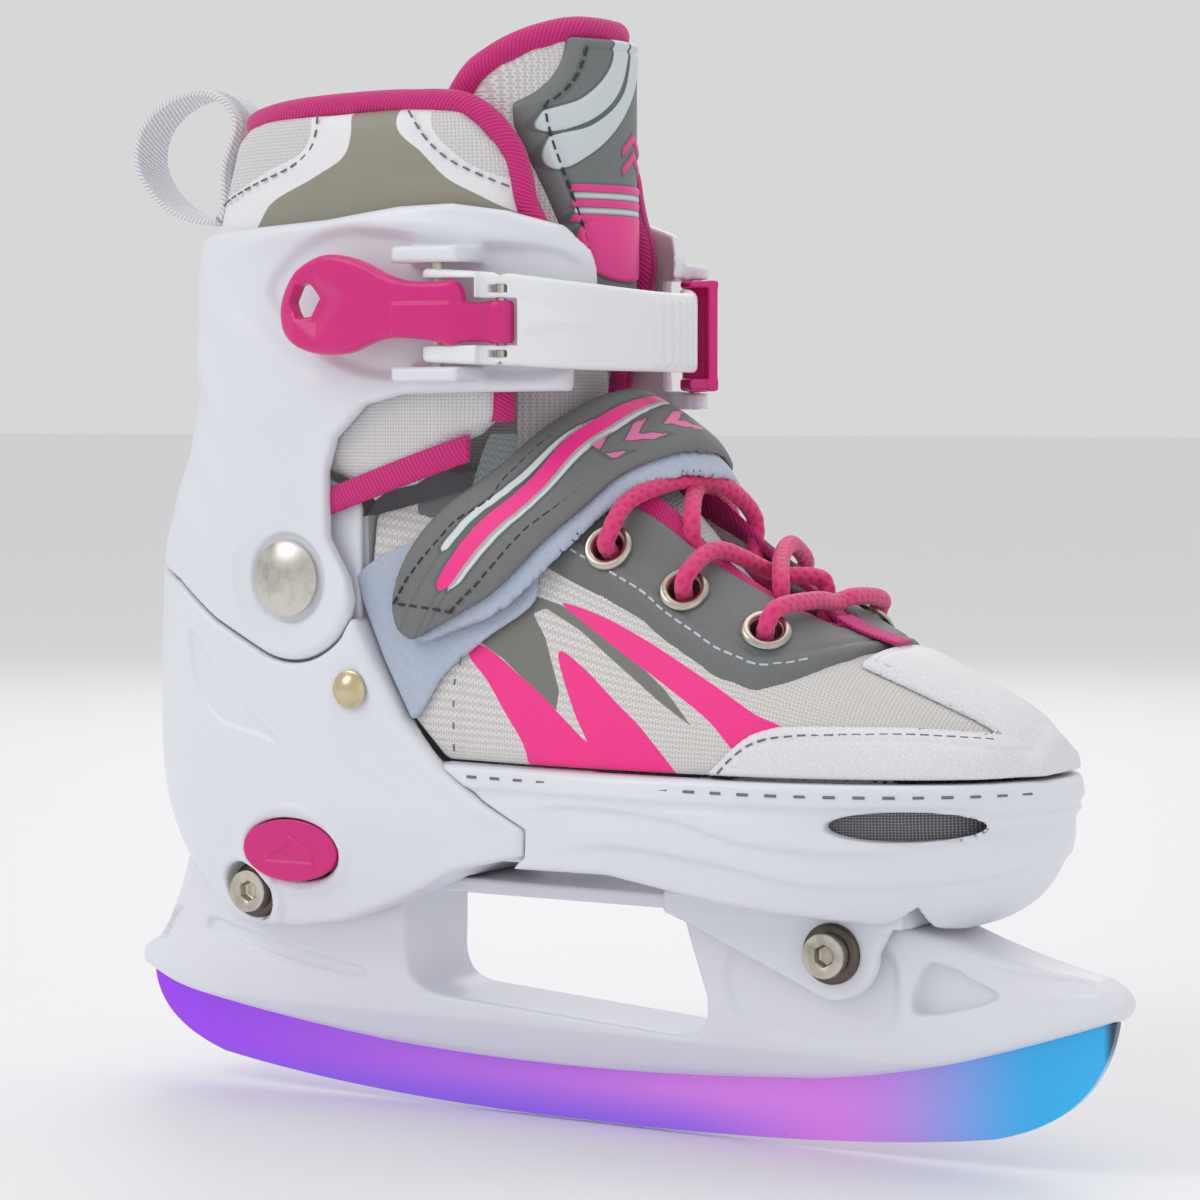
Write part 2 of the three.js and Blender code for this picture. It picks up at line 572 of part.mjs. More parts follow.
/** The outward normal of the soft boot's surface, including its slope along the foot. */
function vampNormal(x, u) {
  const along = vampPoint(x + 1, u).sub(vampPoint(x - 1, u));
  const round = vampPoint(x, Math.min(u + 0.05, 6)).sub(vampPoint(x, Math.max(u - 0.05, 0)));
  return along.cross(round).normalize();
}

/** The point of the soft boot's surface that lies half out from the middle line on one side of the crown. */
function surfaceAt(x, side, half, out = 0) {
  let near = 1;
  let far = 3;
  for (let i = 0; i < 24; i++) {
    const u = (near + far) / 2;
    if (toeShift(x) - vampPoint(x, u).y > half) near = u;
    else far = u;
  }
  return vampPoint(x, side < 0 ? near : 6 - near, out);
}

/** The stations between two ends, with the ends. */
const stationsWithin = (from, to) => [
  from, ...VAMP_STATIONS.map(([x]) => x).filter((x) => x > from && x < to), to,
];

/** A pad on the soft boot: stations at(u, i) for i up to nx, u from u0 to u1, between two offsets. */
function pad(station, u0, u1, low, high, nx, nu) {
  const layer = (out) =>
    Array.from({ length: nx + 1 }, (_, i) =>
      Array.from({ length: nu + 1 }, (_, j) => {
        const u = u0 + ((u1 - u0) * j) / nu;
        return vampPoint(station(u, i), u, out);
      }));
  return slab(layer(high), layer(low));
}

/** A pad over straight stations from one end to another. */
function straightPad(from, to, u0, u1, low, high) {
  const stations = stationsWithin(from, to);
  return pad((_, i) => stations[i], u0, u1, low, high, stations.length - 1, Math.round((u1 - u0) * 4));
}

/** The soft boot's front part as a full solid, shrunk by an inset. */
function vampForm(inset, rear = -60, front = 116) {
  const rings = stationsWithin(rear, front).map((x) => {
    const at = Math.min(x, 116 - inset * 1.2);
    return Array.from({ length: 25 }, (_, i) => {
      const p = vampPoint(at, i / 4, -inset);
      return v3(at, p.y, Math.max(p.z, SOFT.floor + inset));
    });
  });
  return loft(rings);
}

// Half-width of the laced throat along the foot.
const THROAT = [[-70, 19.4], [20, 19.4], [38, 18.6], [50, 16], [58.5, 12.5], [65, 7], [68, 0]];

/** The throat as an upright solid, ready to be cut from the soft boot. */
function throat(low = 90, high = 230) {
  const side = (sign) => THROAT.map(([x, half]) => [x, toeShift(x) + sign * half]);
  return upward(polygon([...side(-1), ...side(1).slice(0, -1).toReversed()]), low, high);
}

/** The plane under the collar, hinged about the ankle pivot, as a half-space block above or below it. */
function collarSide(above, gap) {
  const line = [[-140, 128.5], [PIVOT.x, 143.5], [14, 163.5]];
  const raised = line.map(([x, z]) => [x, z + (above ? gap + Math.max(0, x - PIVOT.x) * 0.085 : 0)]);
  const [a, b, c] = raised;
  const end = above ? 300 : 0;
  return across(polygon([[a[0], end], a, b, c, [160, c[1] + 36 * (above ? 1 : 0)], [160, end]]), -80, 80);
}

function buildSoftBoot() {
  const below = collarSide(false, 0);
  const heelForm = shellForm(SHELL.wall + SHELL.lap + 0.8 + SOFT.play, SOFT.floor, 150);
  const heelHole = shellForm(SHELL.wall + SHELL.lap + 0.8 + SOFT.play + SOFT.wall + 2, SOFT.floor + 4, 160);
  const rear = block(-140, -60, 60, SOFT.splitX, 60, 200);
  const clenches = crossPin(PIVOT.x, PIVOT.z, 8, -60, -28.3);
  const heel = cut(
    common(heelForm, rear, below),
    heelHole,
    clenches,
    crossPin(PIVOT.x, PIVOT.z, 8, 28.3, 60),
    crossPin(STAY_RIVET.x, STAY_RIVET.z, 6, -60, -28),
    crossPin(STAY_RIVET.x, STAY_RIVET.z, 6, 28, 60),
  );
  add("soft_boot_heel", heel, FINISH.greyLeather);

  const front = block(SOFT.splitX + SOFT.splitGap, -60, 60, 140, 60, 200);
  const rimInset = SHELL.wall + SHELL.play + 2.2 + SOFT.play;
  const rimBand = cut(shellForm(-3, 60, SHELL.rim + 0.8), shellForm(rimInset, 59, 92));
  const wingBand = common(
    cut(shellForm(-3, 60, 150), shellForm(SHELL.wall + SHELL.lap + 0.8 + SOFT.play, 59, 151)),
    across(polygon([[-80, 60], [-80, 160], [-56, 160], ...seamLine(1.2).slice(0, -2), [1, 60]]), -60, 60),
  );
  const rivetRoom = [-60, 28].map((y) => crossPin(STAY_RIVET.x, STAY_RIVET.z, 6, y, y + 32));
  const body = cut(common(vampForm(0), front, below), rimBand, wingBand, ...rivetRoom);
  const vamp = cut(body, vampForm(SOFT.wall, -70), throat(), ...eyeletBores());
  add("soft_boot_vamp", vamp, FINISH.whiteFabric);

  const under = vampForm(-0.3, -70);
  const strapRoom = strapPad(1.4, 4.6, 5, 8.5, 26);
  const sheet = straightPad(-11, 82, 1.5, 4.5, 0, 2.1);
  const stay = cut(sheet, under, throat(), strapRoom, ...eyeletBores());
  const yoke = common(stay, below, upward(eyestayPlan(), 90, 200, 6));
  add("eyestay", yoke, FINISH.greyLeather);
  add("toe_cap", common(
    cut(straightPad(78, 115.6, 1, 5, 0, 2), under, upward(eyestayPlan(0.5), 90, 200, 6)),
    block(60, -60, SHELL.rim + 1.2, 140, 60, 140),
  ), FINISH.whiteLeather);
}

/** The eyestay's outline from above: a horseshoe round the throat. */
function eyestayPlan(margin = 0) {
  const s = new THREE.Shape();
  s.moveTo(-14, -40 - margin);
  s.lineTo(30, -40 - margin);
  s.quadraticCurveTo(66, -38 - margin, 78 + margin, -14);
  s.quadraticCurveTo(86 + margin, 5, 78 + margin, 22);
  s.quadraticCurveTo(66, 46 + margin, 30, 44 + margin);
  s.lineTo(-14, 44 + margin);
  return s;
}

/** The frame of eyelet i on one side: its centre on the eyestay and its outward normal. */
function eyeletAt(i, side) {
  const x = LACE.eyeletX[i];
  const u = side < 0 ? 2 : 4;
  return { centre: vampPoint(x, u, 2.1), normal: vampNormal(x, u) };
}

const EYELETS = [0, 1, 2].flatMap((i) => [[i, -1], [i, 1]]);

/** A geometry made about the Y axis, stood on an eyelet's place along its normal. */
function onEyelet(geometry, { centre, normal }) {
  geometry.applyQuaternion(new THREE.Quaternion().setFromUnitVectors(v3(0, 1, 0), normal));
  return solid(geometry.translate(centre.x, centre.y, centre.z));
}

const eyeletBores = () =>
  EYELETS.map(([i, side]) => onEyelet(new THREE.CylinderGeometry(4.35, 4.35, 22, 12), eyeletAt(i, side)));

function buildEyelets() {
  for (const [i, side] of EYELETS) {
    const profile = [
      [LACE.hole, -4.7], [4, -4.7], [4, 0.3], [6, 0.3], [5.8, 1], [4.8, 1.5], [LACE.hole + 0.3, 1.1],
    ];
    const points = [...profile, profile[0]].map(([r, h]) => new THREE.Vector2(r, h));
    const name = `eyelet_${side < 0 ? "lateral" : "medial"}_${i + 1}`;
    add(name, onEyelet(new THREE.LatheGeometry(points, 12), eyeletAt(i, side)), FINISH.darkSteel);
  }
}

// The instep strap's rear and front edges, as stations along the foot for each u across it.
const STRAP_EDGES = [
  [1.4, -42, -16], [1.6, -35, -6], [1.8, -25, 2], [2, -14, 9], [2.4, -4, 18], [2.7, 4, 26], [3, 9.5, 31],
  [3.3, 10, 29.5], [3.6, 2, 20], [4, -12, 6], [4.3, -22, 2], [4.6, -38, -12],
];

/** A pad between the strap's edges. */
function strapPad(u0, u1, low, high, nu) {
  const station = (u, i) => {
    const [rear, front] = interpolate(STRAP_EDGES, u);
    return rear + ((front - rear) * i) / 5;
  };
  return pad(station, u0, u1, low, high, 5, nu);
}

function buildStrapAndTongue() {
  const strap = strapPad(1.4, 4.6, 5.4, 7.4, 26);
  const anchors = [[1.4, 1.48], [4.52, 4.6]].map(([u0, u1]) => strapPad(u0, u1, 0.4, 5.6, 1));
  const wing = common(cut(shellForm(-3, 60, 150), shellForm(9, 59, 151)), across(polygon([
    [-80, 60], [-80, 160], [-56, 160], ...seamLine(1.2).slice(0, -2), [1, 60],
  ]), -60, 60));
  const band = cut(joined(strap, ...anchors), vampForm(-0.3, -70), wing);
  add("instep_strap", band, FINISH.greyLeather);
  add("tongue_lower", common(
    straightPad(-28, 72, 2.25, 3.75, -13.6, -9.8),
    block(-27.5, -30, 80, 90, 34, 168),
  ), FINISH.whiteFabric);
}

/** The lace where it rises through eyelet i, from below the eyestay to the start of the next crossing. */
function throughEyelet(i, side) {
  const x = LACE.eyeletX[i];
  const { centre, normal } = eyeletAt(i, side);
  const half = Math.abs(centre.y - toeShift(x));
  const onAxis = (out) => centre.clone().addScaledVector(normal, out);
  return [
    onAxis(-7.6), onAxis(-3.5), onAxis(2.4), surfaceAt(x + 2, side, half - 2.8, 7.2),
    surfaceAt(x + 3.6, side, interpolate(THROAT, x + 3)[0] - 0.5, 6.2),
  ];
}

/** The lace where it dives past the throat's edge toward eyelet i and runs under the strip beside it. */
function underEdge(i, side) {
  const x = LACE.eyeletX[i];
  const edge = (at) => interpolate(THROAT, at)[0];
  const eye = Math.abs(vampPoint(x, side < 0 ? 2 : 4).y - toeShift(x));
  const beside = (at, dz) => surfaceAt(at, side, edge(at) - LACE.radius - 0.9).add(v3(0, 0, dz));
  return [
    beside(x - 4.5, 4.6), beside(x - 4, -1.5), surfaceAt(x - 3, side, edge(x - 3) - 1.4, -6.3),
    surfaceAt(x - 2.5, side, (edge(x) + eye) / 2, -7), surfaceAt(x - 1.6, side, eye - 2.2, -8.2),
  ];
}

/** The middle of a crossing at a station, at a height over the crown. */
const overCrown = (x, y, height) => vampPoint(x, 3, height).add(v3(0, y, 0));

/** The whole lace, held from under the strap, through six eyelets and back. */
function laceRoute() {
  const L = -1;
  const M = 1;
  return [
    overCrown(8.5, -5, -2.4), overCrown(12, -11, -4),
    ...underEdge(0, L), ...throughEyelet(0, L),
    overCrown(30, 0, 2),
    ...underEdge(1, M), ...throughEyelet(1, M),
    overCrown(48, 1, 5.2),
    ...underEdge(2, L), ...throughEyelet(2, L),
    overCrown(61, 3, 4.6),
    ...throughEyelet(2, M).toReversed(), ...underEdge(2, M).toReversed(),
    overCrown(47, 1, 0.4),
    ...throughEyelet(1, L).toReversed(), ...underEdge(1, L).toReversed(),
    overCrown(27, 0, -3.2),
    ...throughEyelet(0, M).toReversed(), ...underEdge(0, M).toReversed(),
    overCrown(12, 11, -4), overCrown(8.5, 5, -2.4),
  ];
}

// ---------------------------------------------------------------- collar, upper tongue and pull loop
/** An upright elliptical form for the upper tongue, shrunk by an inset. */
function tongueForm(inset, low, high) {
  const s = new THREE.Shape().absellipse(-33, 0, 38 - inset, 25.6 - inset, 0, Math.PI * 2);
  return upward(s, low, high, 20);
}

function buildCollar() {
  const side = common(across(polygon([
    [-140, 120], [-24, 120], [-24, 163.5], [-10, 170.5], [-10, 180], [-3, 200], [0, 211], [-5, 221],
    [-8, 235], [-18.5, 246.7], [-34, 248.5],
    [-68.5, 248], [-97, 245], [-140, 243],
  ]), -60, 60), collarSide(true, 1));
  const outer = cuffForm(CUFF.wall + 0.6, 120, 250);
  const collar = cut(
    common(outer, side),
    cuffForm(CUFF.wall + 0.6 + 7, 119, 251),
    crossPin(PIVOT.x, PIVOT.z, 27, -60, 60, 28),
    block(-140, -60, 100, -98, 60, 137.6),
    block(-60, -60, 100, 40, 60, 150),
  );
  add("collar", collar, FINISH.greyLeather);
  const tongueSide = across(polygon([
    [-26, 183.5], [20, 183.5], [20, 266], [0, 267.5], [-8, 265], [-20, 258], [-26, 252.5],
  ]), -40, 40);
  const tongue = cut(common(tongueForm(0, 182, 270), tongueSide), tongueForm(6, 177, 271));
  add("tongue_upper", tongue, FINISH.greyLeather);
}

/** The webbing loop at the back of the collar, a flat ring seen from the side. */
function buildPullLoop() {
  const outline = smoothOutline([
    [-108, 221], [-106.5, 236], [-103, 249], [-112, 256], [-126, 254], [-135, 246], [-136, 236],
    [-125, 224],
  ], 26);
  const ring = cut(
    across(polygon(outline), -6.5, 6.5),
    across(polygon(grown(outline, -2.2).toReversed()), -7, 7),
  );
  const loopRoom = [cuffForm(CUFF.wall - 0.4, 200, 258), cuffForm(-0.5, 180, 223)];
  add("pull_loop", cut(ring, ...loopRoom), FINISH.whiteFabric);
}

// ---------------------------------------------------------------- buckle
/** The gate's outline from above: from its hinge at the outer side round to the catch. */
function gateOutline(outside, inside) {
  const outer = [
    [-8, -45.6], [0, -42.6], [8, -37], [15, -28], [20, -15], [22.3, -2], [20.8, 10], [17, 18],
    [13, 23.6],
  ];
  const curve = new THREE.CatmullRomCurve3(outer.map(([x, y]) => v3(x, y, 0)), false, "centripetal");
  const points = curve.getPoints(28);
  const normals = points.map((_, i) => {
    const t = curve.getTangent(i / 28);
    return v3(t.y, -t.x, 0);
  });
  return [
    ...points.map((p, i) => p.clone().addScaledVector(normals[i], outside)),
    ...points.map((p, i) => p.clone().addScaledVector(normals[i], -inside)).toReversed(),
  ].map((p) => [p.x, p.y]);
}

function buildBuckle() {
  const silhouette = across(polygon([
    [-30, 185.2], [0, 184], [14, 183], [30, 182.6], [30, 200], [22, 201.4], [14, 203.2], [0, 205.4],
    [-30, 207.6],
  ]), -60, 60);
  const arm = (low, high) => joined(
    crossPinUp(ARM_PIN.x, ARM_PIN.y, 3.4, low, high, 20),
    block(ARM_PIN.x, ARM_PIN.y - 3.4, low, -6, ARM_PIN.y + 2.2, high),
  );
  const gate = cut(
    common(joined(upward(polygon(gateOutline(0, 3.6)), 180, 210), arm(180, 210)), silhouette),
    block(-30, -60, 189.4, -6.5, -30, 204.4),
    block(-30, -60, 188.8, 1.6, -30, 199.6),
    crossPinUp(ARM_PIN.x, ARM_PIN.y, ARM_PIN.radius + 0.15, 170, 220, 12),
    crossPinUp(LEVER_PIN.x, LEVER_PIN.y, LEVER_PIN.radius + 0.15, LEVER_PIN.low, LEVER_PIN.high, 12),
  );
  const ribs = Array.from({ length: 6 }, (_, i) => {
    const at = [[21.6, -9], [22.2, -5.4], [22.4, -1.8], [22.1, 1.8], [21.6, 5.4], [20.8, 9]][i];
    return crossPinUp(at[0], at[1], 1.1, 184, 200, 6);
  });
  add("buckle_gate", joined(gate, ...ribs), FINISH.whitePlastic);

  const leverSide = across(polygon([
    [-61.8, 198.5], [-57, 206], [-47.5, 210.8], [-38, 209.6], [-29, 205.2], [-24, 204],
    [-10.6, 203.2], [-10.4, 199.2],
    [0.8, 198.8], [0.8, 189.3], [-9, 189.5], [-12, 190.2], [-30, 190.6], [-42, 186.8], [-53, 187.6],
    [-60.5, 192],
  ]), -60, -30);
  const leverPlan = upward(polygon([
    [0.6, -40], [-2, -39], [-6, -42.4], [-12, -45.8], [-26, -46.4], [-45, -45.2], [-62, -43.6],
    [-63, -46.4],
    [-56, -49.2], [-42, -50.8], [-26, -50.8], [-12, -49], [-8.4, -47.4], [-4, -45.1], [-1, -44.3],
    [0.8, -42.6],
  ]), 180, 215);
  const eye = new THREE.Shape().absellipse(-53, 199.6, 4.2, 4.6, 0, Math.PI * 2);
  const knuckle = crossPinUp(LEVER_PIN.x, LEVER_PIN.y, 2.6, 189.3, 199, 20);
  const lever = cut(
    joined(common(leverSide, leverPlan), knuckle),
    across(eye, -60, -30, 10),
    crossPinUp(LEVER_PIN.x, LEVER_PIN.y, LEVER_PIN.radius + 0.15, 170, 220, 12),
  );
  add("buckle_lever", lever, FINISH.pinkPlastic);

  const plate = upward(polygon([
    [7.6, 33.4], [11, 33.8], [18.4, 26.2], [17, 24.2], [14.4, 26.8], [9.5, 28.2],
  ]), 178.6, 205.6);
  const flangePlan = polygon([[7, 32.4], [11, 33.6], [18.4, 26.2], [17, 24.2], [13.5, 20.8], [9, 24]]);
  const flanges = joined(upward(flangePlan, 178.6, 181.6), upward(flangePlan, 203.4 + 0.4, 205.6));
  const catchBody = cut(
    joined(plate, flanges, crossPinUp(CATCH_PIN.x, CATCH_PIN.y, 3, 178.6, 205.6, 20)),
    crossPinUp(CATCH_PIN.x, CATCH_PIN.y, CATCH_PIN.radius + 0.15, 170, 220, 12),
  );
  add("gate_catch", catchBody, FINISH.pinkPlastic);
  for (const [name, pin] of [["gate_pin", ARM_PIN], ["lever_pin", LEVER_PIN], ["catch_pin", CATCH_PIN]])
    add(name, crossPinUp(pin.x, pin.y, pin.radius, pin.low, pin.high, 12), FINISH.steel);
}

buildBladeAndHolder();
buildDeck();
buildFrameBolt("front", FRONT_BOLT);
buildFrameBolt("rear", REAR_BOLT);
buildHeelShell();
buildToeShell();
buildSizeLock();
buildCuff();
buildRivet("ankle_rivet_lateral", PIVOT, -1, 38.6, 29.6, 6.5, FINISH.steel);
buildRivet("ankle_rivet_medial", PIVOT, 1, 38.6, 29.6, 6.5, FINISH.steel);
buildRivet("stay_rivet_lateral", STAY_RIVET, -1, 38.6, 29.4, 4, FINISH.steel);
buildRivet("stay_rivet_medial", STAY_RIVET, 1, 38.6, 29.4, 4, FINISH.steel);
buildSoftBoot();
buildEyelets();
buildStrapAndTongue();
const laceLine = new THREE.CatmullRomCurve3(laceRoute(), false, "centripetal");
add("lace", tube(laceLine, LACE.radius, 190, 6), FINISH.pinkCord);
buildCollar();
buildPullLoop();
buildBuckle();

export default skate;
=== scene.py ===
"""A child's size-adjustable ice skate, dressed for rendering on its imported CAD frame.

Solid parts are signed distance forms in millimetres, in the CAD frame, turned into closed
meshes. Soft parts are padded by a short cloth simulation. Every finish is procedural.
"""
import logging
import math
from dataclasses import dataclass
from enum import Enum
from functools import reduce
from typing import Callable, Sequence

import bmesh
import bpy
import numpy as np
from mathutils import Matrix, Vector


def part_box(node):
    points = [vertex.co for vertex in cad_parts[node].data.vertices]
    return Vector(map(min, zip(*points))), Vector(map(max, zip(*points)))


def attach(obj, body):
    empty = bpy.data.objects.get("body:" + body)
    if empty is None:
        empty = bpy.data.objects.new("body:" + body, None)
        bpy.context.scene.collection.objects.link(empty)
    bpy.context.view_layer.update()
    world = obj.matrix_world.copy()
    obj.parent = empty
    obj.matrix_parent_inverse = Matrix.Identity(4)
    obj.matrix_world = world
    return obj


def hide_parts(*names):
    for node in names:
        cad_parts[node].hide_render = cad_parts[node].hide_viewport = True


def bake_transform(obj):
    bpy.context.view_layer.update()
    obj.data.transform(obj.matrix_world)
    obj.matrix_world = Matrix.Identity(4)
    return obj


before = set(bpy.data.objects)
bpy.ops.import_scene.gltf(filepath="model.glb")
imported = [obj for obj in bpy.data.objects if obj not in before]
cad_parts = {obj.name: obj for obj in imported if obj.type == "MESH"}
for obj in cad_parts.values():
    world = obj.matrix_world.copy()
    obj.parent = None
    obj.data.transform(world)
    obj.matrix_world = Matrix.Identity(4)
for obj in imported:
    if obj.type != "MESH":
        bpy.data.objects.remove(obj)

logging.basicConfig(level=logging.INFO, format="%(name)s: %(message)s")
LOG = logging.getLogger("skate")
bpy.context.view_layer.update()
MM = 0.001
SEED = 7
CLOTH_MASS = 0.01
CLOTH_STIFFNESS = 1.0  # at Blender's 15 this pressure moves the cloth only about 0.1 mm

Array = np.ndarray
FieldFn = Callable[[Array, Array, Array], Array]
Pairs = Sequence[tuple[float, float]]


# ---------------------------------------------------------------- places read from the frame
def centre_mm(node: str) -> Array:
    """The middle of a CAD node's box.

    Args:
        node: The CAD node's name.

    Returns:
        The point in millimetres.
    """
    low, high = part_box(node)
    return np.array(low + high) / 2 / MM


# ---------------------------------------------------------------- curves and tables
def highest(values: Sequence[Array]) -> Array:
    """The largest of several broadcastable arrays, point by point."""
    return reduce(np.maximum, values)


def lowest(values: Sequence[Array]) -> Array:
    """The smallest of several broadcastable arrays, point by point."""
    return reduce(np.minimum, values)


def catmull(points: Sequence, closed: bool = False, per_span: int = 12) -> Array:
    """A centripetal Catmull-Rom curve through points.

    Args:
        points: The points the curve runs through.
        closed: True if the last point joins the first.
        per_span: Samples on each span.

    Returns:
        The samples as an array, without a repeated last point when closed.
    """
    p = np.asarray(points, dtype=float)
    n = len(p)
    spans = n if closed else n - 1
    out = []
    for i in range(spans):
        if closed:
            p0, p1, p2, p3 = p[(i - 1) % n], p[i], p[(i + 1) % n], p[(i + 2) % n]
        else:
            p1, p2 = p[i], p[i + 1]
            p0 = p[i - 1] if i else 2 * p1 - p2
            p3 = p[i + 2] if i + 2 < n else 2 * p2 - p1
        d = [max(np.linalg.norm(b - a) ** 0.5, 1e-6) for a, b in ((p0, p1), (p1, p2), (p2, p3))]
        m1 = (p2 - p1) + d[1] * ((p1 - p0) / d[0] - (p2 - p0) / (d[0] + d[1]))
        m2 = (p2 - p1) + d[1] * ((p3 - p2) / d[2] - (p3 - p1) / (d[1] + d[2]))
        t = np.linspace(0, 1, per_span, endpoint=False)[:, None]
        a, b = 2 * (p1 - p2) + m1 + m2, -3 * (p1 - p2) - 2 * m1 - m2
        out.append(((a * t + b) * t + m1) * t + p1)
    if not closed:
        out.append(p[-1:])
    return np.concatenate(out)


def even(points: Array, step: float) -> Array:
    """A polyline sampled again at even steps along its length."""
    lengths = np.concatenate([[0], np.cumsum(np.linalg.norm(np.diff(points, axis=0), axis=1))])
    at = np.linspace(0, lengths[-1], max(2, int(round(lengths[-1] / step)) + 1))
    return np.stack([np.interp(at, lengths, points[:, k]) for k in range(points.shape[1])], axis=1)


class Table:
    """Rows of [at, value, ...] read at any place by a smooth, overshoot-free curve."""

    def __init__(self, rows: Sequence[Sequence[float]]):
        data = np.asarray(rows, dtype=float)
        self.at_rows, self.values = data[:, 0], data[:, 1:]
        steps = np.diff(self.at_rows)[:, None]
        slopes = np.diff(self.values, axis=0) / steps
        tangents = np.zeros_like(self.values)
        same = slopes[:-1] * slopes[1:] > 0
        harmonic = 2 * slopes[:-1] * slopes[1:] / np.where(same, slopes[:-1] + slopes[1:], 1)
        tangents[1:-1] = np.where(same, harmonic, 0)
        tangents[0], tangents[-1] = slopes[0], slopes[-1]
        self.tangents = tangents

    def __call__(self, at: Array, column: int = 0) -> Array:
        """The value in one column at each place, held constant past the ends."""
        x = np.clip(at, self.at_rows[0], self.at_rows[-1])
        i = np.clip(np.searchsorted(self.at_rows, x, side="right") - 1, 0, len(self.at_rows) - 2)
        h = self.at_rows[i + 1] - self.at_rows[i]
        t = (x - self.at_rows[i]) / h
        v, m = self.values[:, column], self.tangents[:, column]
        return ((1 + 2 * t) * (1 - t) ** 2 * v[i] + t * (1 - t) ** 2 * h * m[i]
            + t * t * (3 - 2 * t) * v[i + 1] + t * t * (t - 1) * h * m[i + 1])


def outline_distance(px: Array, py: Array, outline: Array) -> Array:
    """Signed distance from points to a closed outline, negative inside."""
    best = np.full(px.shape, 1e9)
    crossings = np.zeros(px.shape, dtype=bool)
    for (ax, ay), (bx, by) in zip(outline, np.roll(outline, -1, axis=0)):
        ex, ey = bx - ax, by - ay
        wx, wy = px - ax, py - ay
        t = np.clip((wx * ex + wy * ey) / (ex * ex + ey * ey + 1e-12), 0, 1)
        best = np.minimum(best, (wx - ex * t) ** 2 + (wy - ey * t) ** 2)
        if ay != by:
            crossings ^= ((ay > py) != (by > py)) & (px < ex * (py - ay) / (by - ay) + ax)
    return np.sqrt(best) * np.where(crossings, -1, 1)


class Outline:
    """A flat closed outline as a table of signed distances."""

    def __init__(self, points: Pairs, smooth: bool = False, step: float = 0.5, margin: float = 14):
        pts = catmull(points, closed=True, per_span=8) if smooth else np.asarray(points, dtype=float)
        self.low = pts.min(axis=0) - margin
        self.step = step
        counts = np.ceil((pts.max(axis=0) + margin - self.low) / step).astype(int) + 1
        xs = self.low[0] + step * np.arange(counts[0])
        ys = self.low[1] + step * np.arange(counts[1])
        self.values = outline_distance(*np.meshgrid(xs, ys, indexing="ij"), pts)

    def __call__(self, a: Array, b: Array) -> Array:
        """Signed distance at (a, b), read from the table."""
        n0, n1 = self.values.shape
        fa = np.clip((a - self.low[0]) / self.step, 0, n0 - 1.001)
        fb = np.clip((b - self.low[1]) / self.step, 0, n1 - 1.001)
        fa, fb = np.broadcast_arrays(fa, fb)
        i, j = fa.astype(int), fb.astype(int)
        u, v = fa - i, fb - j
        d = self.values
        return ((d[i, j] * (1 - u) + d[i + 1, j] * u) * (1 - v)
            + (d[i, j + 1] * (1 - u) + d[i + 1, j + 1] * u) * v)


def line_distance(a: Array, b: Array, points: Array) -> Array:
    """Unsigned distance from (a, b) to an open polyline."""
    best = np.full(np.broadcast(a, b).shape, 1e9)
    for (ax, ay), (bx, by) in zip(points[:-1], points[1:]):
        ex, ey = bx - ax, by - ay
        t = np.clip(((a - ax) * ex + (b - ay) * ey) / (ex * ex + ey * ey + 1e-12), 0, 1)
        best = np.minimum(best, (a - ax - ex * t) ** 2 + (b - ay - ey * t) ** 2)
    return np.sqrt(best)


def smoothstep(low: float, high: float, value: Array) -> Array:
    """0 below low, 1 above high and an S-curve between; low may be the larger."""
    t = np.clip((value - low) / (high - low), 0, 1)
    return t * t * (3 - 2 * t)


# ---------------------------------------------------------------- forms
@dataclass(frozen=True)
class Form:
    """A solid as a signed distance in millimetres, negative inside.

    Attributes:
        at: The distance at arrays of x, y and z.
        fillet: How far from an edge a later join or cut starts to round it.
    """

    at: FieldFn
    fillet: float = 0.9

    def _max(self, a: Array, b: Array, r: float) -> Array:
        h = np.maximum(r - np.abs(a - b), 0) / r
        return np.maximum(a, b) + h * h * r * 0.25

    def soft(self, fillet: float) -> "Form":
        """The same solid, whose next join or cut has this fillet."""
        return Form(self.at, fillet)

    def __and__(self, other: "Form") -> "Form":
        r = min(self.fillet, other.fillet)
        return Form(lambda x, y, z: self._max(self.at(x, y, z), other.at(x, y, z), r), self.fillet)

    def __or__(self, other: "Form") -> "Form":
        r = min(self.fillet, other.fillet)
        return Form(lambda x, y, z: -self._max(-self.at(x, y, z), -other.at(x, y, z), r), self.fillet)

    def __sub__(self, other: "Form") -> "Form":
        r = min(self.fillet, other.fillet)
        return Form(lambda x, y, z: self._max(self.at(x, y, z), -other.at(x, y, z), r), self.fillet)

    def grown(self, amount: float) -> "Form":
        """The solid with its skin moved outward."""
        return Form(lambda x, y, z: self.at(x, y, z) - amount, self.fillet)

    def raised(self, height: FieldFn) -> "Form":
        """The solid with its skin moved outward by a height that varies over it."""
        return Form(lambda x, y, z: self.at(x, y, z) - height(x, y, z), self.fillet)


def across(outline: Outline, y0: float, y1: float) -> Form:
    """An outline in X and Z, from one Y to another."""
    mid, half = (y0 + y1) / 2, (y1 - y0) / 2
    return Form(lambda x, y, z: np.maximum(outline(x, z), np.abs(y - mid) - half))


def side(outline: Outline) -> Form:
    """An outline in X and Z, without end."""
    return Form(lambda x, y, z: outline(x, z) + 0 * y)


def plan(outline: Outline) -> Form:
    """An outline in X and Y, without end."""
    return Form(lambda x, y, z: outline(x, y) + 0 * z)


def block(low: Sequence[float], high: Sequence[float]) -> Form:
    """A box between two corners."""
    c, h = (np.array(low) + np.array(high)) / 2, (np.array(high) - np.array(low)) / 2

    def at(x: Array, y: Array, z: Array) -> Array:
        return np.maximum(np.maximum(np.abs(x - c[0]) - h[0], np.abs(y - c[1]) - h[1]),
            np.abs(z - c[2]) - h[2])
    return Form(at)


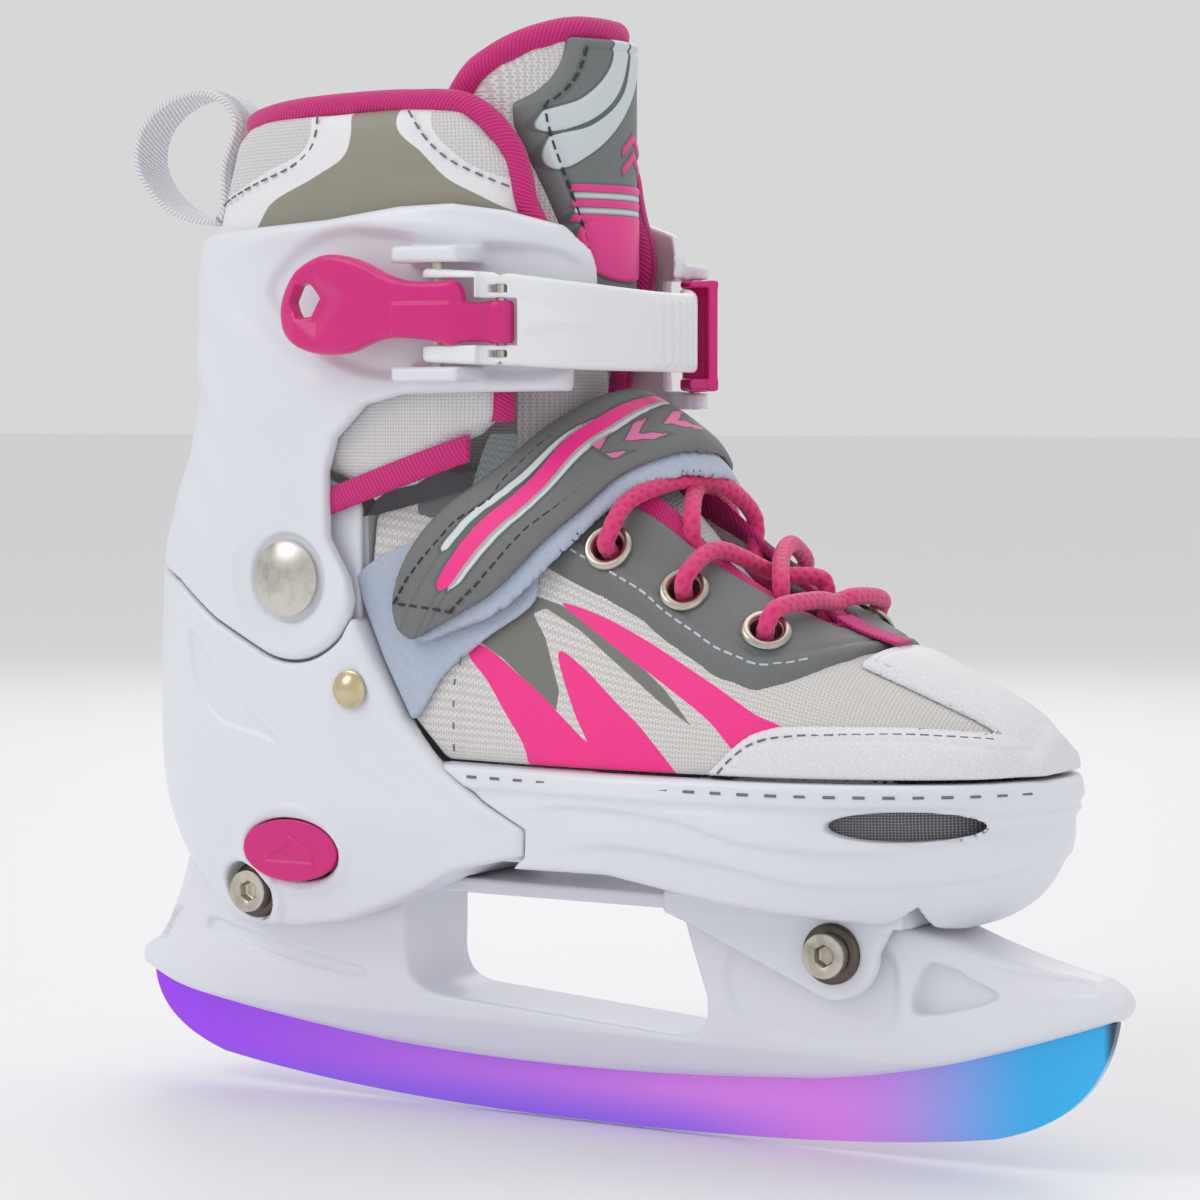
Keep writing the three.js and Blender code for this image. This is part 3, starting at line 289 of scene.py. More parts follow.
def rod(cx: float, cz: float, radius: float, y0: float = -90, y1: float = 90) -> Form:
    """A round bar across the skate."""
    return Form(lambda x, y, z: np.maximum(
        np.hypot(x - cx, z - cz) - radius, np.abs(y - (y0 + y1) / 2) - (y1 - y0) / 2))


def post(cx: float, cy: float, radius: float, z0: float = 0, z1: float = 400) -> Form:
    """An upright round bar."""
    return Form(lambda x, y, z: np.maximum(
        np.hypot(x - cx, y - cy) - radius, np.abs(z - (z0 + z1) / 2) - (z1 - z0) / 2))


def where(test: FieldFn) -> Form:
    """The space in which a signed distance is negative."""
    return Form(test)


def ridge(points: Pairs, height: float, width: float, fade: float = 14) -> FieldFn:
    """A moulded ridge along a side-view line: a crisp front and a long tail above it.

    Args:
        points: The ridge line's points in X and Z.
        height: Its height in millimetres, negative for a groove.
        width: How wide it is.
        fade: How far in from its ends it reaches full height.

    Returns:
        The height over the skin.
    """
    line = even(catmull(points, per_span=6), 4)
    first, last = line[0], line[-1]

    def at(x: Array, y: Array, z: Array) -> Array:
        d = line_distance(x, z, line)
        ends = np.minimum(np.hypot(x - first[0], z - first[1]), np.hypot(x - last[0], z - last[1]))
        return height * np.exp(-((d / width) ** 2)) * smoothstep(0, fade, ends) + 0 * y
    return at


def panel(outline: Outline, height: float, edge: float = 0.7, y_sign: int = 0) -> FieldFn:
    """A raised or sunk flat panel seen from the side.

    Args:
        outline: The panel's outline in X and Z.
        height: How far it stands out, negative when sunk.
        edge: Half the width of the slope at its edge.
        y_sign: -1 or 1 for one side of the skate only, 0 for both.

    Returns:
        The height over the skin.
    """
    def at(x: Array, y: Array, z: Array) -> Array:
        on = height * smoothstep(edge, -edge, outline(x, z))
        return on * (1 if y_sign == 0 else (y * y_sign > 0))
    return at


def total(*heights: FieldFn) -> FieldFn:
    """Several heights over a skin, added."""
    return lambda x, y, z: sum(h(x, y, z) for h in heights)


# ---------------------------------------------------------------- turning a form into a mesh
def _grid_values(form: Form, low: Array, step: float, counts: Array) -> Array:
    """The form on a regular grid, worked out finely only near its skin."""
    block_size = 4
    blocks = np.ceil(counts / block_size).astype(int)
    centre = [low[k] + step * (np.arange(blocks[k]) * block_size + 1.5) for k in range(3)]
    coarse = form.at(centre[0][:, None, None], centre[1][None, :, None], centre[2][None, None, :])
    coarse = np.broadcast_to(coarse, tuple(blocks)).astype(np.float32)
    values = coarse.repeat(4, axis=0).repeat(4, axis=1).repeat(4, axis=2)
    near = np.argwhere(np.abs(coarse) < step * block_size * 1.9)
    offset = np.arange(block_size)
    for part in np.array_split(near, max(1, len(near) // 20000)):
        i = (part[:, 0, None] * block_size + offset)[:, :, None, None]
        j = (part[:, 1, None] * block_size + offset)[:, None, :, None]
        k = (part[:, 2, None] * block_size + offset)[:, None, None, :]
        i, j, k = np.broadcast_arrays(i, j, k)
        values[i, j, k] = form.at(low[0] + step * i, low[1] + step * j, low[2] + step * k)
    return values


def skin(form: Form, low: Sequence[float], high: Sequence[float], step: float) -> tuple[Array, Array]:
    """The form's skin as quads by surface nets, each point moved onto the skin.

    Args:
        form: The solid.
        low: The lowest corner to search, clear of the solid.
        high: The highest corner.
        step: The grid's pitch in millimetres.

    Returns:
        The points in millimetres and the faces.
    """
    low = np.asarray(low, dtype=float)
    counts = np.ceil((np.asarray(high) - low) / step).astype(int) + 1
    f = _grid_values(form, low, step, counts)
    inside = f < 0
    s = inside.astype(np.uint8)
    corners = sum(s[a:s.shape[0] - 1 + a, b:s.shape[1] - 1 + b, c:s.shape[2] - 1 + c]
        for a in (0, 1) for b in (0, 1) for c in (0, 1))
    active = (corners > 0) & (corners < 8)
    index = np.full(active.shape, -1, dtype=np.int64)
    index[active] = np.arange(active.sum())
    n = int(active.sum())
    sums, hits = np.zeros((n, 3)), np.zeros(n)
    faces = []
    for axis in range(3):
        u, v = (axis + 1) % 3, (axis + 2) % 3
        head = [slice(None)] * 3
        tail = [slice(None)] * 3
        head[axis], tail[axis] = slice(None, -1), slice(1, None)
        flips = inside[tuple(head)] != inside[tuple(tail)]
        edges = np.argwhere(flips)
        ends = edges.copy()
        ends[:, axis] += 1
        f0, f1 = f[tuple(edges.T)], f[tuple(ends.T)]
        cross = edges.astype(float)
        cross[:, axis] += f0 / (f0 - f1)
        cells = []
        for du, dv in ((0, 0), (-1, 0), (-1, -1), (0, -1)):
            cell = edges.copy()
            cell[:, u] += du
            cell[:, v] += dv
            ok = np.all((cell >= 0) & (cell < np.array(index.shape)), axis=1)
            ids = np.full(len(cell), -1)
            ids[ok] = index[tuple(cell[ok].T)]
            cells.append(ids)
            good = ids >= 0
            hits += np.bincount(ids[good], minlength=n)
            for k in range(3):
                sums[:, k] += np.bincount(ids[good], weights=cross[good, k], minlength=n)
        quad = np.stack(cells, axis=1)
        outward = f0 < 0
        quad[~outward] = quad[~outward][:, ::-1]
        faces.append(quad[np.all(quad >= 0, axis=1)])
    points = low + step * sums / np.maximum(hits, 1)[:, None]
    eps = 0.08
    for _ in range(2):
        x, y, z = points.T
        value = form.at(x, y, z)
        grad = np.stack([form.at(x + eps, y, z) - form.at(x - eps, y, z),
            form.at(x, y + eps, z) - form.at(x, y - eps, z),
            form.at(x, y, z + eps) - form.at(x, y, z - eps)], axis=1) / (2 * eps)
        length = np.maximum((grad ** 2).sum(axis=1), 0.2)
        move = -(value / length)[:, None] * grad
        size = np.maximum(np.linalg.norm(move, axis=1), 1e-9)
        points = points + move * np.minimum(1, 0.35 * step / size)[:, None]
    return points, np.concatenate(faces)


# ---------------------------------------------------------------- shader graphs
class Socket:
    """A shader output that can be used in sums, products and comparisons."""

    def __init__(self, graph: "Graph", output: bpy.types.NodeSocket):
        self.graph, self.output = graph, output

    def _math(self, op: str, *others: "Socket | float") -> "Socket":
        return self.graph.math(op, self, *others)

    def __add__(self, other): return self._math("ADD", other)
    def __sub__(self, other): return self._math("SUBTRACT", other)
    def __mul__(self, other): return self._math("MULTIPLY", other)
    def __truediv__(self, other): return self._math("DIVIDE", other)
    def __rsub__(self, other): return self.graph.math("SUBTRACT", other, self)
    __radd__, __rmul__ = __add__, __mul__

    def sin(self) -> "Socket":
        """The sine of the value."""
        return self._math("SINE")

    def abs(self) -> "Socket":
        """The value without its sign."""
        return self._math("ABSOLUTE")

    def most(self, other) -> "Socket":
        """The larger of two values."""
        return self._math("MAXIMUM", other)

    def step(self, low: float, high: float, to_low: float = 0.0, to_high: float = 1.0) -> "Socket":
        """An S-curve between two values."""
        return self.graph.node(
            "ShaderNodeMapRange", {"Value": self, "From Min": low, "From Max": high, "To Min": to_low,
            "To Max": to_high}, interpolation_type="SMOOTHSTEP")


class Graph:
    """Builds one material's nodes."""

    def __init__(self, name: str):
        self.material = bpy.data.materials.new(name)
        self.material.use_nodes = True
        self.tree = self.material.node_tree
        self.shader = self.tree.nodes["Principled BSDF"]

    def node(self, kind: str, inputs: dict | None = None, out: str | int = 0, **settings) -> Socket:
        """Adds a node.

        Args:
            kind: The node's type.
            inputs: Values or sockets by input name or index.
            out: The output to return.
            **settings: Properties set on the node.

        Returns:
            The output as a Socket.
        """
        made = self.tree.nodes.new(kind)
        for key, value in settings.items():
            setattr(made, key, value)
        for key, value in (inputs or {}).items():
            if isinstance(value, Socket):
                self.tree.links.new(value.output, made.inputs[key])
            else:
                made.inputs[key].default_value = value
        return Socket(self, made.outputs[out])

    def math(self, op: str, *values: "Socket | float") -> Socket:
        """A Math node."""
        return self.node("ShaderNodeMath", dict(enumerate(values)), operation=op)

    def mark(self, name: str) -> Socket:
        """A number stored on the piece's points."""
        return self.node("ShaderNodeAttribute", out="Fac", attribute_name=name)

    def place(self) -> Socket:
        """The point in the frame, in metres."""
        return self.node("ShaderNodeTexCoord", out="Object")

    def axis(self, which: str) -> Socket:
        """One coordinate of the point, in millimetres."""
        return self.node("ShaderNodeSeparateXYZ", {0: self.place()}, out=which) * 1000.0

    def noise(self, scale: float, detail: float = 3.0, rough: float = 0.5) -> Socket:
        """Noise over the frame, 0 to 1."""
        return self.node("ShaderNodeTexNoise", {"Vector": self.place(), "Scale": scale, "Detail": detail,
            "Roughness": rough}, out="Fac")

    def grain(self, scale: float) -> Socket:
        """The distance to the nearest cell edge of a Voronoi pattern."""
        return self.node("ShaderNodeTexVoronoi", {"Vector": self.place(), "Scale": scale}, out="Distance",
            feature="DISTANCE_TO_EDGE")

    def mix(self, factor: "Socket | float", a, b) -> Socket:
        """Two colours mixed."""
        inputs = {0: factor, 6: rgba(a) if not isinstance(a, Socket) else a,
            7: rgba(b) if not isinstance(b, Socket) else b}
        return self.node("ShaderNodeMix", inputs, out=2, data_type="RGBA")

    def set(self, name: str, value) -> None:
        """Sets or links an input of the shader."""
        if isinstance(value, Socket):
            self.tree.links.new(value.output, self.shader.inputs[name])
        elif isinstance(value, tuple):
            self.shader.inputs[name].default_value = rgba(value)
        else:
            self.shader.inputs[name].default_value = value

    def bump(self, height: Socket, depth_mm: float, strength: float = 1.0) -> None:
        """Links a height, 0 to 1, as relief of this depth."""
        self.set("Normal", self.node("ShaderNodeBump", {"Height": height, "Distance": depth_mm * MM,
            "Strength": strength}))


def rgba(colour: Sequence[float]) -> tuple[float, float, float, float]:
    """An sRGB colour given as 0 to 255, in linear light."""
    def linear(c: float) -> float:
        c /= 255
        return c / 12.92 if c <= 0.04045 else ((c + 0.055) / 1.055) ** 2.4
    return (*[linear(c) for c in colour[:3]], 1.0)


class Weave(Enum):
    """How a cloth is made."""

    PLAIN = "plain"
    TWILL = "twill"
    NET = "net"


@dataclass(frozen=True)
class Plastic:
    """Moulded plastic with a fine orange peel and faint handling marks.

    Attributes:
        colour: sRGB, 0 to 255.
        roughness: The mean roughness.
    """

    name: str
    colour: tuple[int, int, int]
    roughness: float = 0.33
    coat: float = 0.15

    def build(self) -> bpy.types.Material:
        """The material."""
        g = Graph(self.name)
        soft = g.noise(9.0, 3)
        fine = g.noise(420.0, 2)
        scuff = g.noise(60.0, 8, 0.75).step(0.60, 0.78)
        darker = tuple(c * 0.965 for c in self.colour)
        g.set("Base Color", g.mix(soft, self.colour, darker))
        g.set("Roughness", soft * 0.06 + (self.roughness - 0.03) + scuff * 0.12)
        g.set("Coat Weight", self.coat)
        g.set("Coat Roughness", 0.2)
        g.set("Subsurface Weight", 0.04)
        g.bump(fine * 0.6 + soft * 0.4, 0.02, 0.5)
        return g.material


@dataclass(frozen=True)
class Metal:
    """A turned or plated metal with fine brushing.

    Attributes:
        colour: sRGB, 0 to 255.
    """

    name: str
    colour: tuple[int, int, int]
    roughness: float = 0.28

    def build(self) -> bpy.types.Material:
        """The material."""
        g = Graph(self.name)
        brushed = g.noise(900.0, 4)
        tarnish = g.noise(130.0, 5, 0.6)
        dull = tuple(c * 0.72 for c in self.colour)
        g.set("Base Color", g.mix(tarnish.step(0.45, 0.8), self.colour, dull))
        g.set("Metallic", 1.0)
        g.set("Roughness", tarnish * 0.12 + brushed * 0.08 + (self.roughness - 0.1))
        g.bump(brushed, 0.012, 0.6)
        return g.material


@dataclass(frozen=True)
class Rainbow:
    """Steel with a sprayed colour fade along the blade and a bare ground edge."""

    name: str = "iridescent_steel"

    def build(self) -> bpy.types.Material:
        """The material."""
        g = Graph(self.name)
        x, y, z = g.axis("X"), g.axis("Y"), g.axis("Z")
        heel = g.mix(x.step(-135, -20), (164, 62, 255), (206, 120, 255))
        mid = g.mix(x.step(-40, 45), heel, (238, 142, 255))
        toe = g.mix(x.step(62, 118), mid, (48, 190, 255))
        low = z.step(11, 0) * x.step(70, 20)
        body = g.mix(low * 0.75, toe, (142, 108, 255))
        front = x.step(131.5, 134.2) * z.step(4, 12)
        bare = y.abs().step(1.34, 1.2)
        g.set("Base Color", g.mix(front * 0.9, g.mix(bare * 0.35, body, (220, 214, 232)), (24, 30, 40)))
        g.set("Metallic", 0.35)
        g.set("Roughness", g.noise(700.0, 4) * 0.1 + 0.24)
        g.set("Coat Weight", 0.5)
        g.set("Coat Roughness", 0.12)
        streak = g.node("ShaderNodeTexNoise", {
            "Vector": g.node("ShaderNodeMapping", {0: g.place(), "Scale": (20.0, 400.0, 900.0)}),
            "Scale": 1.0, "Detail": 3.0}, out="Fac")
        g.bump(streak, 0.015, 0.5)
        return g.material


@dataclass(frozen=True)
class Print:
    """A flat ink shape on a surface.

    Attributes:
        mark: The stored distance to the shape's edge, negative inside, in millimetres.
        colour: sRGB, 0 to 255.
        gloss: The ink's roughness.
    """

    mark: str
    colour: tuple[int, int, int]
    gloss: float = 0.45


@dataclass(frozen=True)
class Cloth:
    """Woven cloth whose threads follow the piece's stored along and around distances.

    Attributes:
        colour: The thread's sRGB colour.
        pitch: The distance between threads in millimetres.
        weave: How the threads cross.
        ply: The stored names of the two directions.
        prints: Ink shapes laid over the threads, the last on top.
    """

    name: str
    colour: tuple[int, int, int]
    # shade: the thread colour painted into the weave's hollows as painted shade; random wear also leans toward
    # it
    shade: tuple[int, int, int]
    pitch: float = 0.9
    weave: Weave = Weave.PLAIN
    depth: float = 0.18
    roughness: float = 0.85
    prints: tuple[Print, ...] = ()

    def build(self) -> bpy.types.Material:
        """The material."""
        g = Graph(self.name)
        turn = 2 * math.pi / self.pitch
        a = g.mark("warp") + g.noise(260.0, 2) * (0.12 * self.pitch)
        b = g.mark("weft") + g.noise(240.0, 2) * (0.12 * self.pitch)
        if self.weave is Weave.TWILL:
            height = ((a + b * 0.55) * turn).sin() * 0.35 + ((a - b * 1.6) * (turn * 1.7)).sin() * 0.15 + 0.5
        elif self.weave is Weave.NET:
            height = ((a * turn).sin().abs() * (b * turn).sin().abs()).step(0.04, 0.55, 1.0, 0.0)
        else:
            check = ((a * (turn / 2)).sin() * (b * (turn / 2)).sin()).step(-0.12, 0.12)
            over = (a * turn + math.pi / 2).sin() * 0.5 + 0.5
            under = (b * turn + math.pi / 2).sin() * 0.5 + 0.5
            height = check * over + (1.0 - check) * under
        worn = g.noise(34.0, 4)
        # Where the weave dips, between threads and in the net's holes, the colour turns to the shade colour:
        # painted shade in the hollows.
        colour = g.mix(height.step(0.1, 0.75), self.shade, self.colour)
        # Random wear leans the colour a little toward the same darker colour.
        colour = g.mix(worn * 0.12, colour, self.shade)
        rough = height * 0.0 + self.roughness
        relief = height
        for ink in self.prints:
            on = g.mark(ink.mark).step(0.14, -0.14)
            colour = g.mix(on, colour, ink.colour)
            rough = rough * (1.0 - on) + on * ink.gloss
            relief = relief * (1.0 - on * 0.75) + on * 0.6
        fuzz = g.noise(1500.0, 2)
        g.set("Base Color", colour)
        g.set("Roughness", rough)
        g.set("Sheen Weight", 0.15)
        g.bump(relief * 0.85 + fuzz * 0.15, self.depth, 0.9)
        return g.material


@dataclass(frozen=True)
class Leather:
    """Coated leatherette with a fine grain, ink shapes and a soft sheen.

    Attributes:
        colour: sRGB, 0 to 255.
        prints: Ink or welded film shapes, the last on top.
    """

    name: str
    colour: tuple[int, int, int]
    roughness: float = 0.5
    grain: float = 900.0
    prints: tuple[Print, ...] = ()

    def build(self) -> bpy.types.Material:
        """The material."""
        g = Graph(self.name)
        cells = g.grain(self.grain).step(0.0, 0.09)
        broad = g.noise(28.0, 4)
        colour = g.mix(broad * 0.5, self.colour, tuple(c * 0.93 for c in self.colour))
        colour = g.mix((1.0 - cells) * 0.25, colour, tuple(c * 0.8 for c in self.colour))
        rough = broad * 0.08 + (self.roughness - 0.04)
        relief = cells
        for ink in self.prints:
            on = g.mark(ink.mark).step(0.12, -0.12)
            rim = g.mark(ink.mark).abs().step(0.75, 0.35)
            colour = g.mix(rim * 0.45, colour, tuple(c * 0.55 for c in self.colour))
            colour = g.mix(on, colour, ink.colour)
            rough = rough * (1.0 - on) + on * ink.gloss
            relief = relief * (1.0 - on * 0.8) + on
        g.set("Base Color", colour)
        g.set("Roughness", rough)
        g.bump(relief * 0.8 + g.noise(600.0, 3) * 0.2, 0.05, 0.8)
        return g.material


@dataclass(frozen=True)
class Felt:
    """Brushed loop felt."""

    name: str
    colour: tuple[int, int, int]

    def build(self) -> bpy.types.Material:
        """The material."""
        g = Graph(self.name)
        tufts = g.noise(900.0, 5, 0.7)
        g.set("Base Color", g.mix(tufts, tuple(c * 0.84 for c in self.colour), self.colour))
        g.set("Roughness", 0.95)
        g.set("Sheen Weight", 0.4)
        g.bump(tufts, 0.5, 1.0)
        return g.material


@dataclass(frozen=True)
class Braid:
    """The sheen and thread colour of a round braided cord, with painted shade in the grooves between its
    strands.
    """

    name: str = "pink_cord"
    colour: tuple[int, int, int] = (236, 52, 128)
    # shade: the colour painted into the grooves between strands, as painted shade
    shade: tuple[int, int, int] = (204, 30, 100)

    def build(self) -> bpy.types.Material:
        """The material."""
        g = Graph(self.name)
        strand = g.mark("strand")
        thread = ((g.mark("warp") * 26.0).sin() * 0.5 + 0.5)
        # The grooves between the strands take the shade colour: painted shade.
        g.set("Base Color", g.mix(strand.step(0.15, 0.8), self.shade, self.colour))
        g.set("Roughness", 0.55)
        g.set("Sheen Weight", 0.3)
        g.bump(strand * 0.7 + thread * 0.3, 0.12, 0.8)
        return g.material


WHITE = Plastic("white_plastic", (238, 239, 246), 0.34)
GATE_WHITE = Plastic("white_plastic_gate", (246, 247, 250), 0.36)
PINK = Plastic("pink_plastic", (222, 26, 128), 0.36)
NICKEL = Metal("nickel", (206, 200, 186), 0.3)
SATIN = Metal("satin_steel", (214, 210, 202), 0.34)
BRASS = Metal("brass_rivet", (214, 200, 160), 0.32)
DARK = Metal("dark_steel", (104, 96, 86), 0.36)
WEB_PINK = Cloth("pink_webbing", (234, 34, 140), (190, 14, 106), 1.0, Weave.TWILL, 0.3, 0.6)
WEB_WHITE = Cloth("white_webbing", (244, 244, 246), (196, 198, 206), 1.2, Weave.TWILL, 0.2, 0.75)
THREAD_DARK = Leather("stitch_dark", (58, 58, 60), 0.7)
THREAD_PALE = Leather("stitch_pale", (214, 216, 220), 0.7)
THREAD_GREY = Leather("stitch_grey", (120, 122, 126), 0.7)
FELT_BLUE = Felt("felt_blue", (206, 218, 240))
MESH_GREY = Cloth("vent_mesh", (168, 166, 170), (84, 82, 86), 1.3, Weave.NET, 0.3, 0.6)
LINING = Cloth("lining_mesh", (228, 242, 242), (196, 216, 218), 1.0, Weave.PLAIN, 0.25, 0.9)
GREY_LEATHER = Leather("grey_leather", (118, 121, 122), 0.46)
WHITE_LEATHER = Leather("white_leather", (240, 240, 244), 0.42)
HOT_PINK, STEEL_GREY, PALE = (255, 46, 146), (122, 122, 118), (222, 228, 232)
VAMP_CLOTH = Cloth("white_mesh", (238, 235, 233), (208, 204, 202), 0.8, Weave.PLAIN, 0.2, 0.85, (
    Print("grey_flash", STEEL_GREY, 0.5), Print("pink_flash", HOT_PINK, 0.5)))
COLLAR_CLOTH = Cloth("collar_mesh", (236, 234, 235), (204, 202, 204), 0.85, Weave.PLAIN, 0.2, 0.85, (
    Print("white_panel", (240, 239, 242), 0.5), Print("taupe_panel", (150, 146, 132), 0.5)))
STRAP_LEATHER = Leather("strap_leather", (120, 122, 122), 0.46, 900.0, (
    Print("pale_band", PALE, 0.4), Print("pink_band", HOT_PINK, 0.38),
    Print("chevrons", (240, 120, 176), 0.4)))
TONGUE_LEATHER = Leather("tongue_panel", (122, 126, 127), 0.44, 900.0, (
    Print("pale_bands", (212, 222, 226), 0.4), Print("pink_shapes", (244, 66, 152), 0.4)))


# ---------------------------------------------------------------- pieces
class Workshop:
    """Makes meshes, gives them their finish and hands them to the frame."""

    def __init__(self):
        self._materials: dict[str, bpy.types.Material] = {}
        self.placed: list[str] = []

    def material(self, finish) -> bpy.types.Material:
        """The finish's material, built once."""
        if finish.name not in self._materials:
            self._materials[finish.name] = finish.build()
        return self._materials[finish.name]

    def mesh(self, name: str, points_mm: Array, faces, finish, smooth: bool = True,
        marks: dict[str, Array] | None = None) -> bpy.types.Object:
        """An object at the origin from points in millimetres.

        Args:
            name: The object's name.
            points_mm: Its points.
            faces: Quads or other polygons as index rows.
            finish: Its finish.
            smooth: True for smooth shading.
            marks: Numbers to store on its points, by name.

        Returns:
            The object.
        """
        mesh = bpy.data.meshes.new(name)
        mesh.from_pydata((np.asarray(points_mm) * MM).tolist(), [], [list(map(int, f)) for f in faces])
        mesh.validate()
        for key, values in (marks or {}).items():
            layer = mesh.attributes.new(key, "FLOAT", "POINT")
            layer.data.foreach_set("value", np.ascontiguousarray(values, dtype=np.float32))
        mesh.polygons.foreach_set("use_smooth", [smooth] * len(mesh.polygons))
        mesh.materials.append(self.material(finish))
        mesh.update()
        made = bpy.data.objects.new(name, mesh)
        bpy.context.scene.collection.objects.link(made)
        return made

    def solid(self, name: str, form: Form, low, high, step: float, finish,
        marks: dict[str, FieldFn] | None = None) -> bpy.types.Object:
        """An object from a form.

        Args:
            name: The object's name.
            form: The solid.
            low: The lowest corner to search.
            high: The highest corner.
            step: The grid's pitch in millimetres.
            finish: Its finish.
            marks: What to store on its points, as functions of their place.

        Returns:
            The object.
        """
        points, faces = skin(form, low, high, step)
        stored = {key: np.broadcast_to(at(*points.T), (len(points),)) for key, at in (marks or {}).items()}
        LOG.info("%s: %d points, %d faces", name, len(points), len(faces))
        return self.mesh(name, points, faces, finish, marks=stored)

    def place(self, obj: bpy.types.Object, body: str, replaces: Sequence[str] = (), slot: str = "") -> None:
        """Hands a finished piece to the frame."""
        if replaces:
            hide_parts(*replaces)
        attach(obj, body)
        self.placed.append(obj.name)

    def dress(self, node: str, finish) -> None:
        """Gives a CAD node its finish."""
        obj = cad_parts[node]
        obj.data.materials.clear()
        obj.data.materials.append(self.material(finish))

    def sweep(self, name: str, path: Array, section: Callable[[Array], Array], sides: int, finish,
        up: Array | None = None, closed: bool = False, relief=None) -> bpy.types.Object:
        """A cord, pipe or tape along a path.

        Args:
            name: The object's name.
            path: Evenly spaced points in millimetres.
            section: Maps angles to [across, up] offsets in millimetres.
            sides: Points round the section.
            finish: Its finish.
            up: The direction the section's second axis leans to, one for all or one for each point.
            closed: True if the path is a ring.
            relief: A factor on the radius from (along, angle), and its name is stored as strand.

        Returns:
            The object.
        """
        n = len(path)
        if closed:
            tangent = np.roll(path, -1, axis=0) - np.roll(path, 1, axis=0)
        else:
            tangent = np.gradient(path, axis=0)
        tangent /= np.linalg.norm(tangent, axis=1, keepdims=True) + 1e-12
        if up is None:
            normal = np.cross(tangent[0], [0.3, 0.2, 1.0])
            normals = []
            for t in tangent:
                normal = normal - t * np.dot(normal, t)
                normal /= np.linalg.norm(normal) + 1e-12
                normals.append(normal.copy())
            lift = np.array(normals)
        else:
            lift = np.broadcast_to(up, path.shape) - tangent * (np.broadcast_to(up, path.shape) * tangent).sum(
                axis=1, keepdims=True)
            lift /= np.linalg.norm(lift, axis=1, keepdims=True) + 1e-12
        wide = np.cross(lift, tangent)
        angle = np.linspace(0, 2 * np.pi, sides, endpoint=False)
        shape = section(angle)
        along = np.concatenate([[0], np.cumsum(np.linalg.norm(np.diff(path, axis=0), axis=1))])
        factor = np.ones((n, sides)) if relief is None else relief(along[:, None], angle[None, :])
        scale = 1 + (factor - 1)[:, :, None]
        rings = (path[:, None, :] + wide[:, None, :] * shape[None, :, 0, None] * scale
            + lift[:, None, :] * shape[None, :, 1, None] * scale)
        points = rings.reshape(-1, 3)
        i = np.arange(n if closed else n - 1)[:, None]
        j = np.arange(sides)[None, :]
        a, b = i * sides + j, i * sides + (j + 1) % sides
        c, d = ((i + 1) % n) * sides + (j + 1) % sides, ((i + 1) % n) * sides + j
        faces = np.stack([a, b, c, d], axis=-1).reshape(-1, 4).tolist()
        if not closed:
            faces += [list(range(sides))[::-1], list(range((n - 1) * sides, n * sides))]
        perimeter = np.linalg.norm(shape - np.roll(shape, 1, axis=0), axis=1).cumsum()
        marks = {"warp": np.repeat(along, sides), "weft": np.tile(perimeter, n),
            "strand": np.clip((factor.reshape(-1) - 0.9) / 0.2, 0, 1)}
        made = self.mesh(name, points, faces, finish, marks=marks)
        bm = bmesh.new()
        bm.from_mesh(made.data)
        bmesh.ops.recalc_face_normals(bm, faces=bm.faces)
        bm.to_mesh(made.data)
        bm.free()
        return made

    def lathe(self, name: str, profile: Pairs, origin: Array, axis: Array, finish,
        sides: int = 56) -> bpy.types.Object:
        """A turned piece.

        Args:
            name: The object's name.
            profile: Closed [radius, height] pairs; a radius of 0 is a pole.
            origin: Where height 0 is, in millimetres.
            axis: The direction of height.
            finish: Its finish.
            sides: Points round it.

        Returns:
            The object.
        """
        axis = np.asarray(axis, dtype=float) / np.linalg.norm(axis)
        u = np.cross(axis, [0.31, 0.17, 0.93])
        u /= np.linalg.norm(u)
        v = np.cross(axis, u)
        angle = np.linspace(0, 2 * np.pi, sides, endpoint=False)
        round_ = np.cos(angle)[:, None] * u + np.sin(angle)[:, None] * v
        points = np.concatenate([origin + axis * h + round_ * max(r, 1e-4) for r, h in profile])
        n = len(profile)
        i, j = np.arange(n)[:, None], np.arange(sides)[None, :]
        a, b = i * sides + j, i * sides + (j + 1) % sides
        c, d = ((i + 1) % n) * sides + (j + 1) % sides, ((i + 1) % n) * sides + j
        made = self.mesh(name, points, np.stack([a, b, c, d], axis=-1).reshape(-1, 4), finish)
        bm = bmesh.new()
        bm.from_mesh(made.data)
        bmesh.ops.remove_doubles(bm, verts=bm.verts, dist=2e-6)
        bmesh.ops.dissolve_degenerate(bm, edges=bm.edges, dist=1e-7)
        bmesh.ops.recalc_face_normals(bm, faces=bm.faces)
        bm.to_mesh(made.data)
        bm.free()
        made.data.set_sharp_from_angle(angle=math.radians(40))
        return made


SHOP = Workshop()


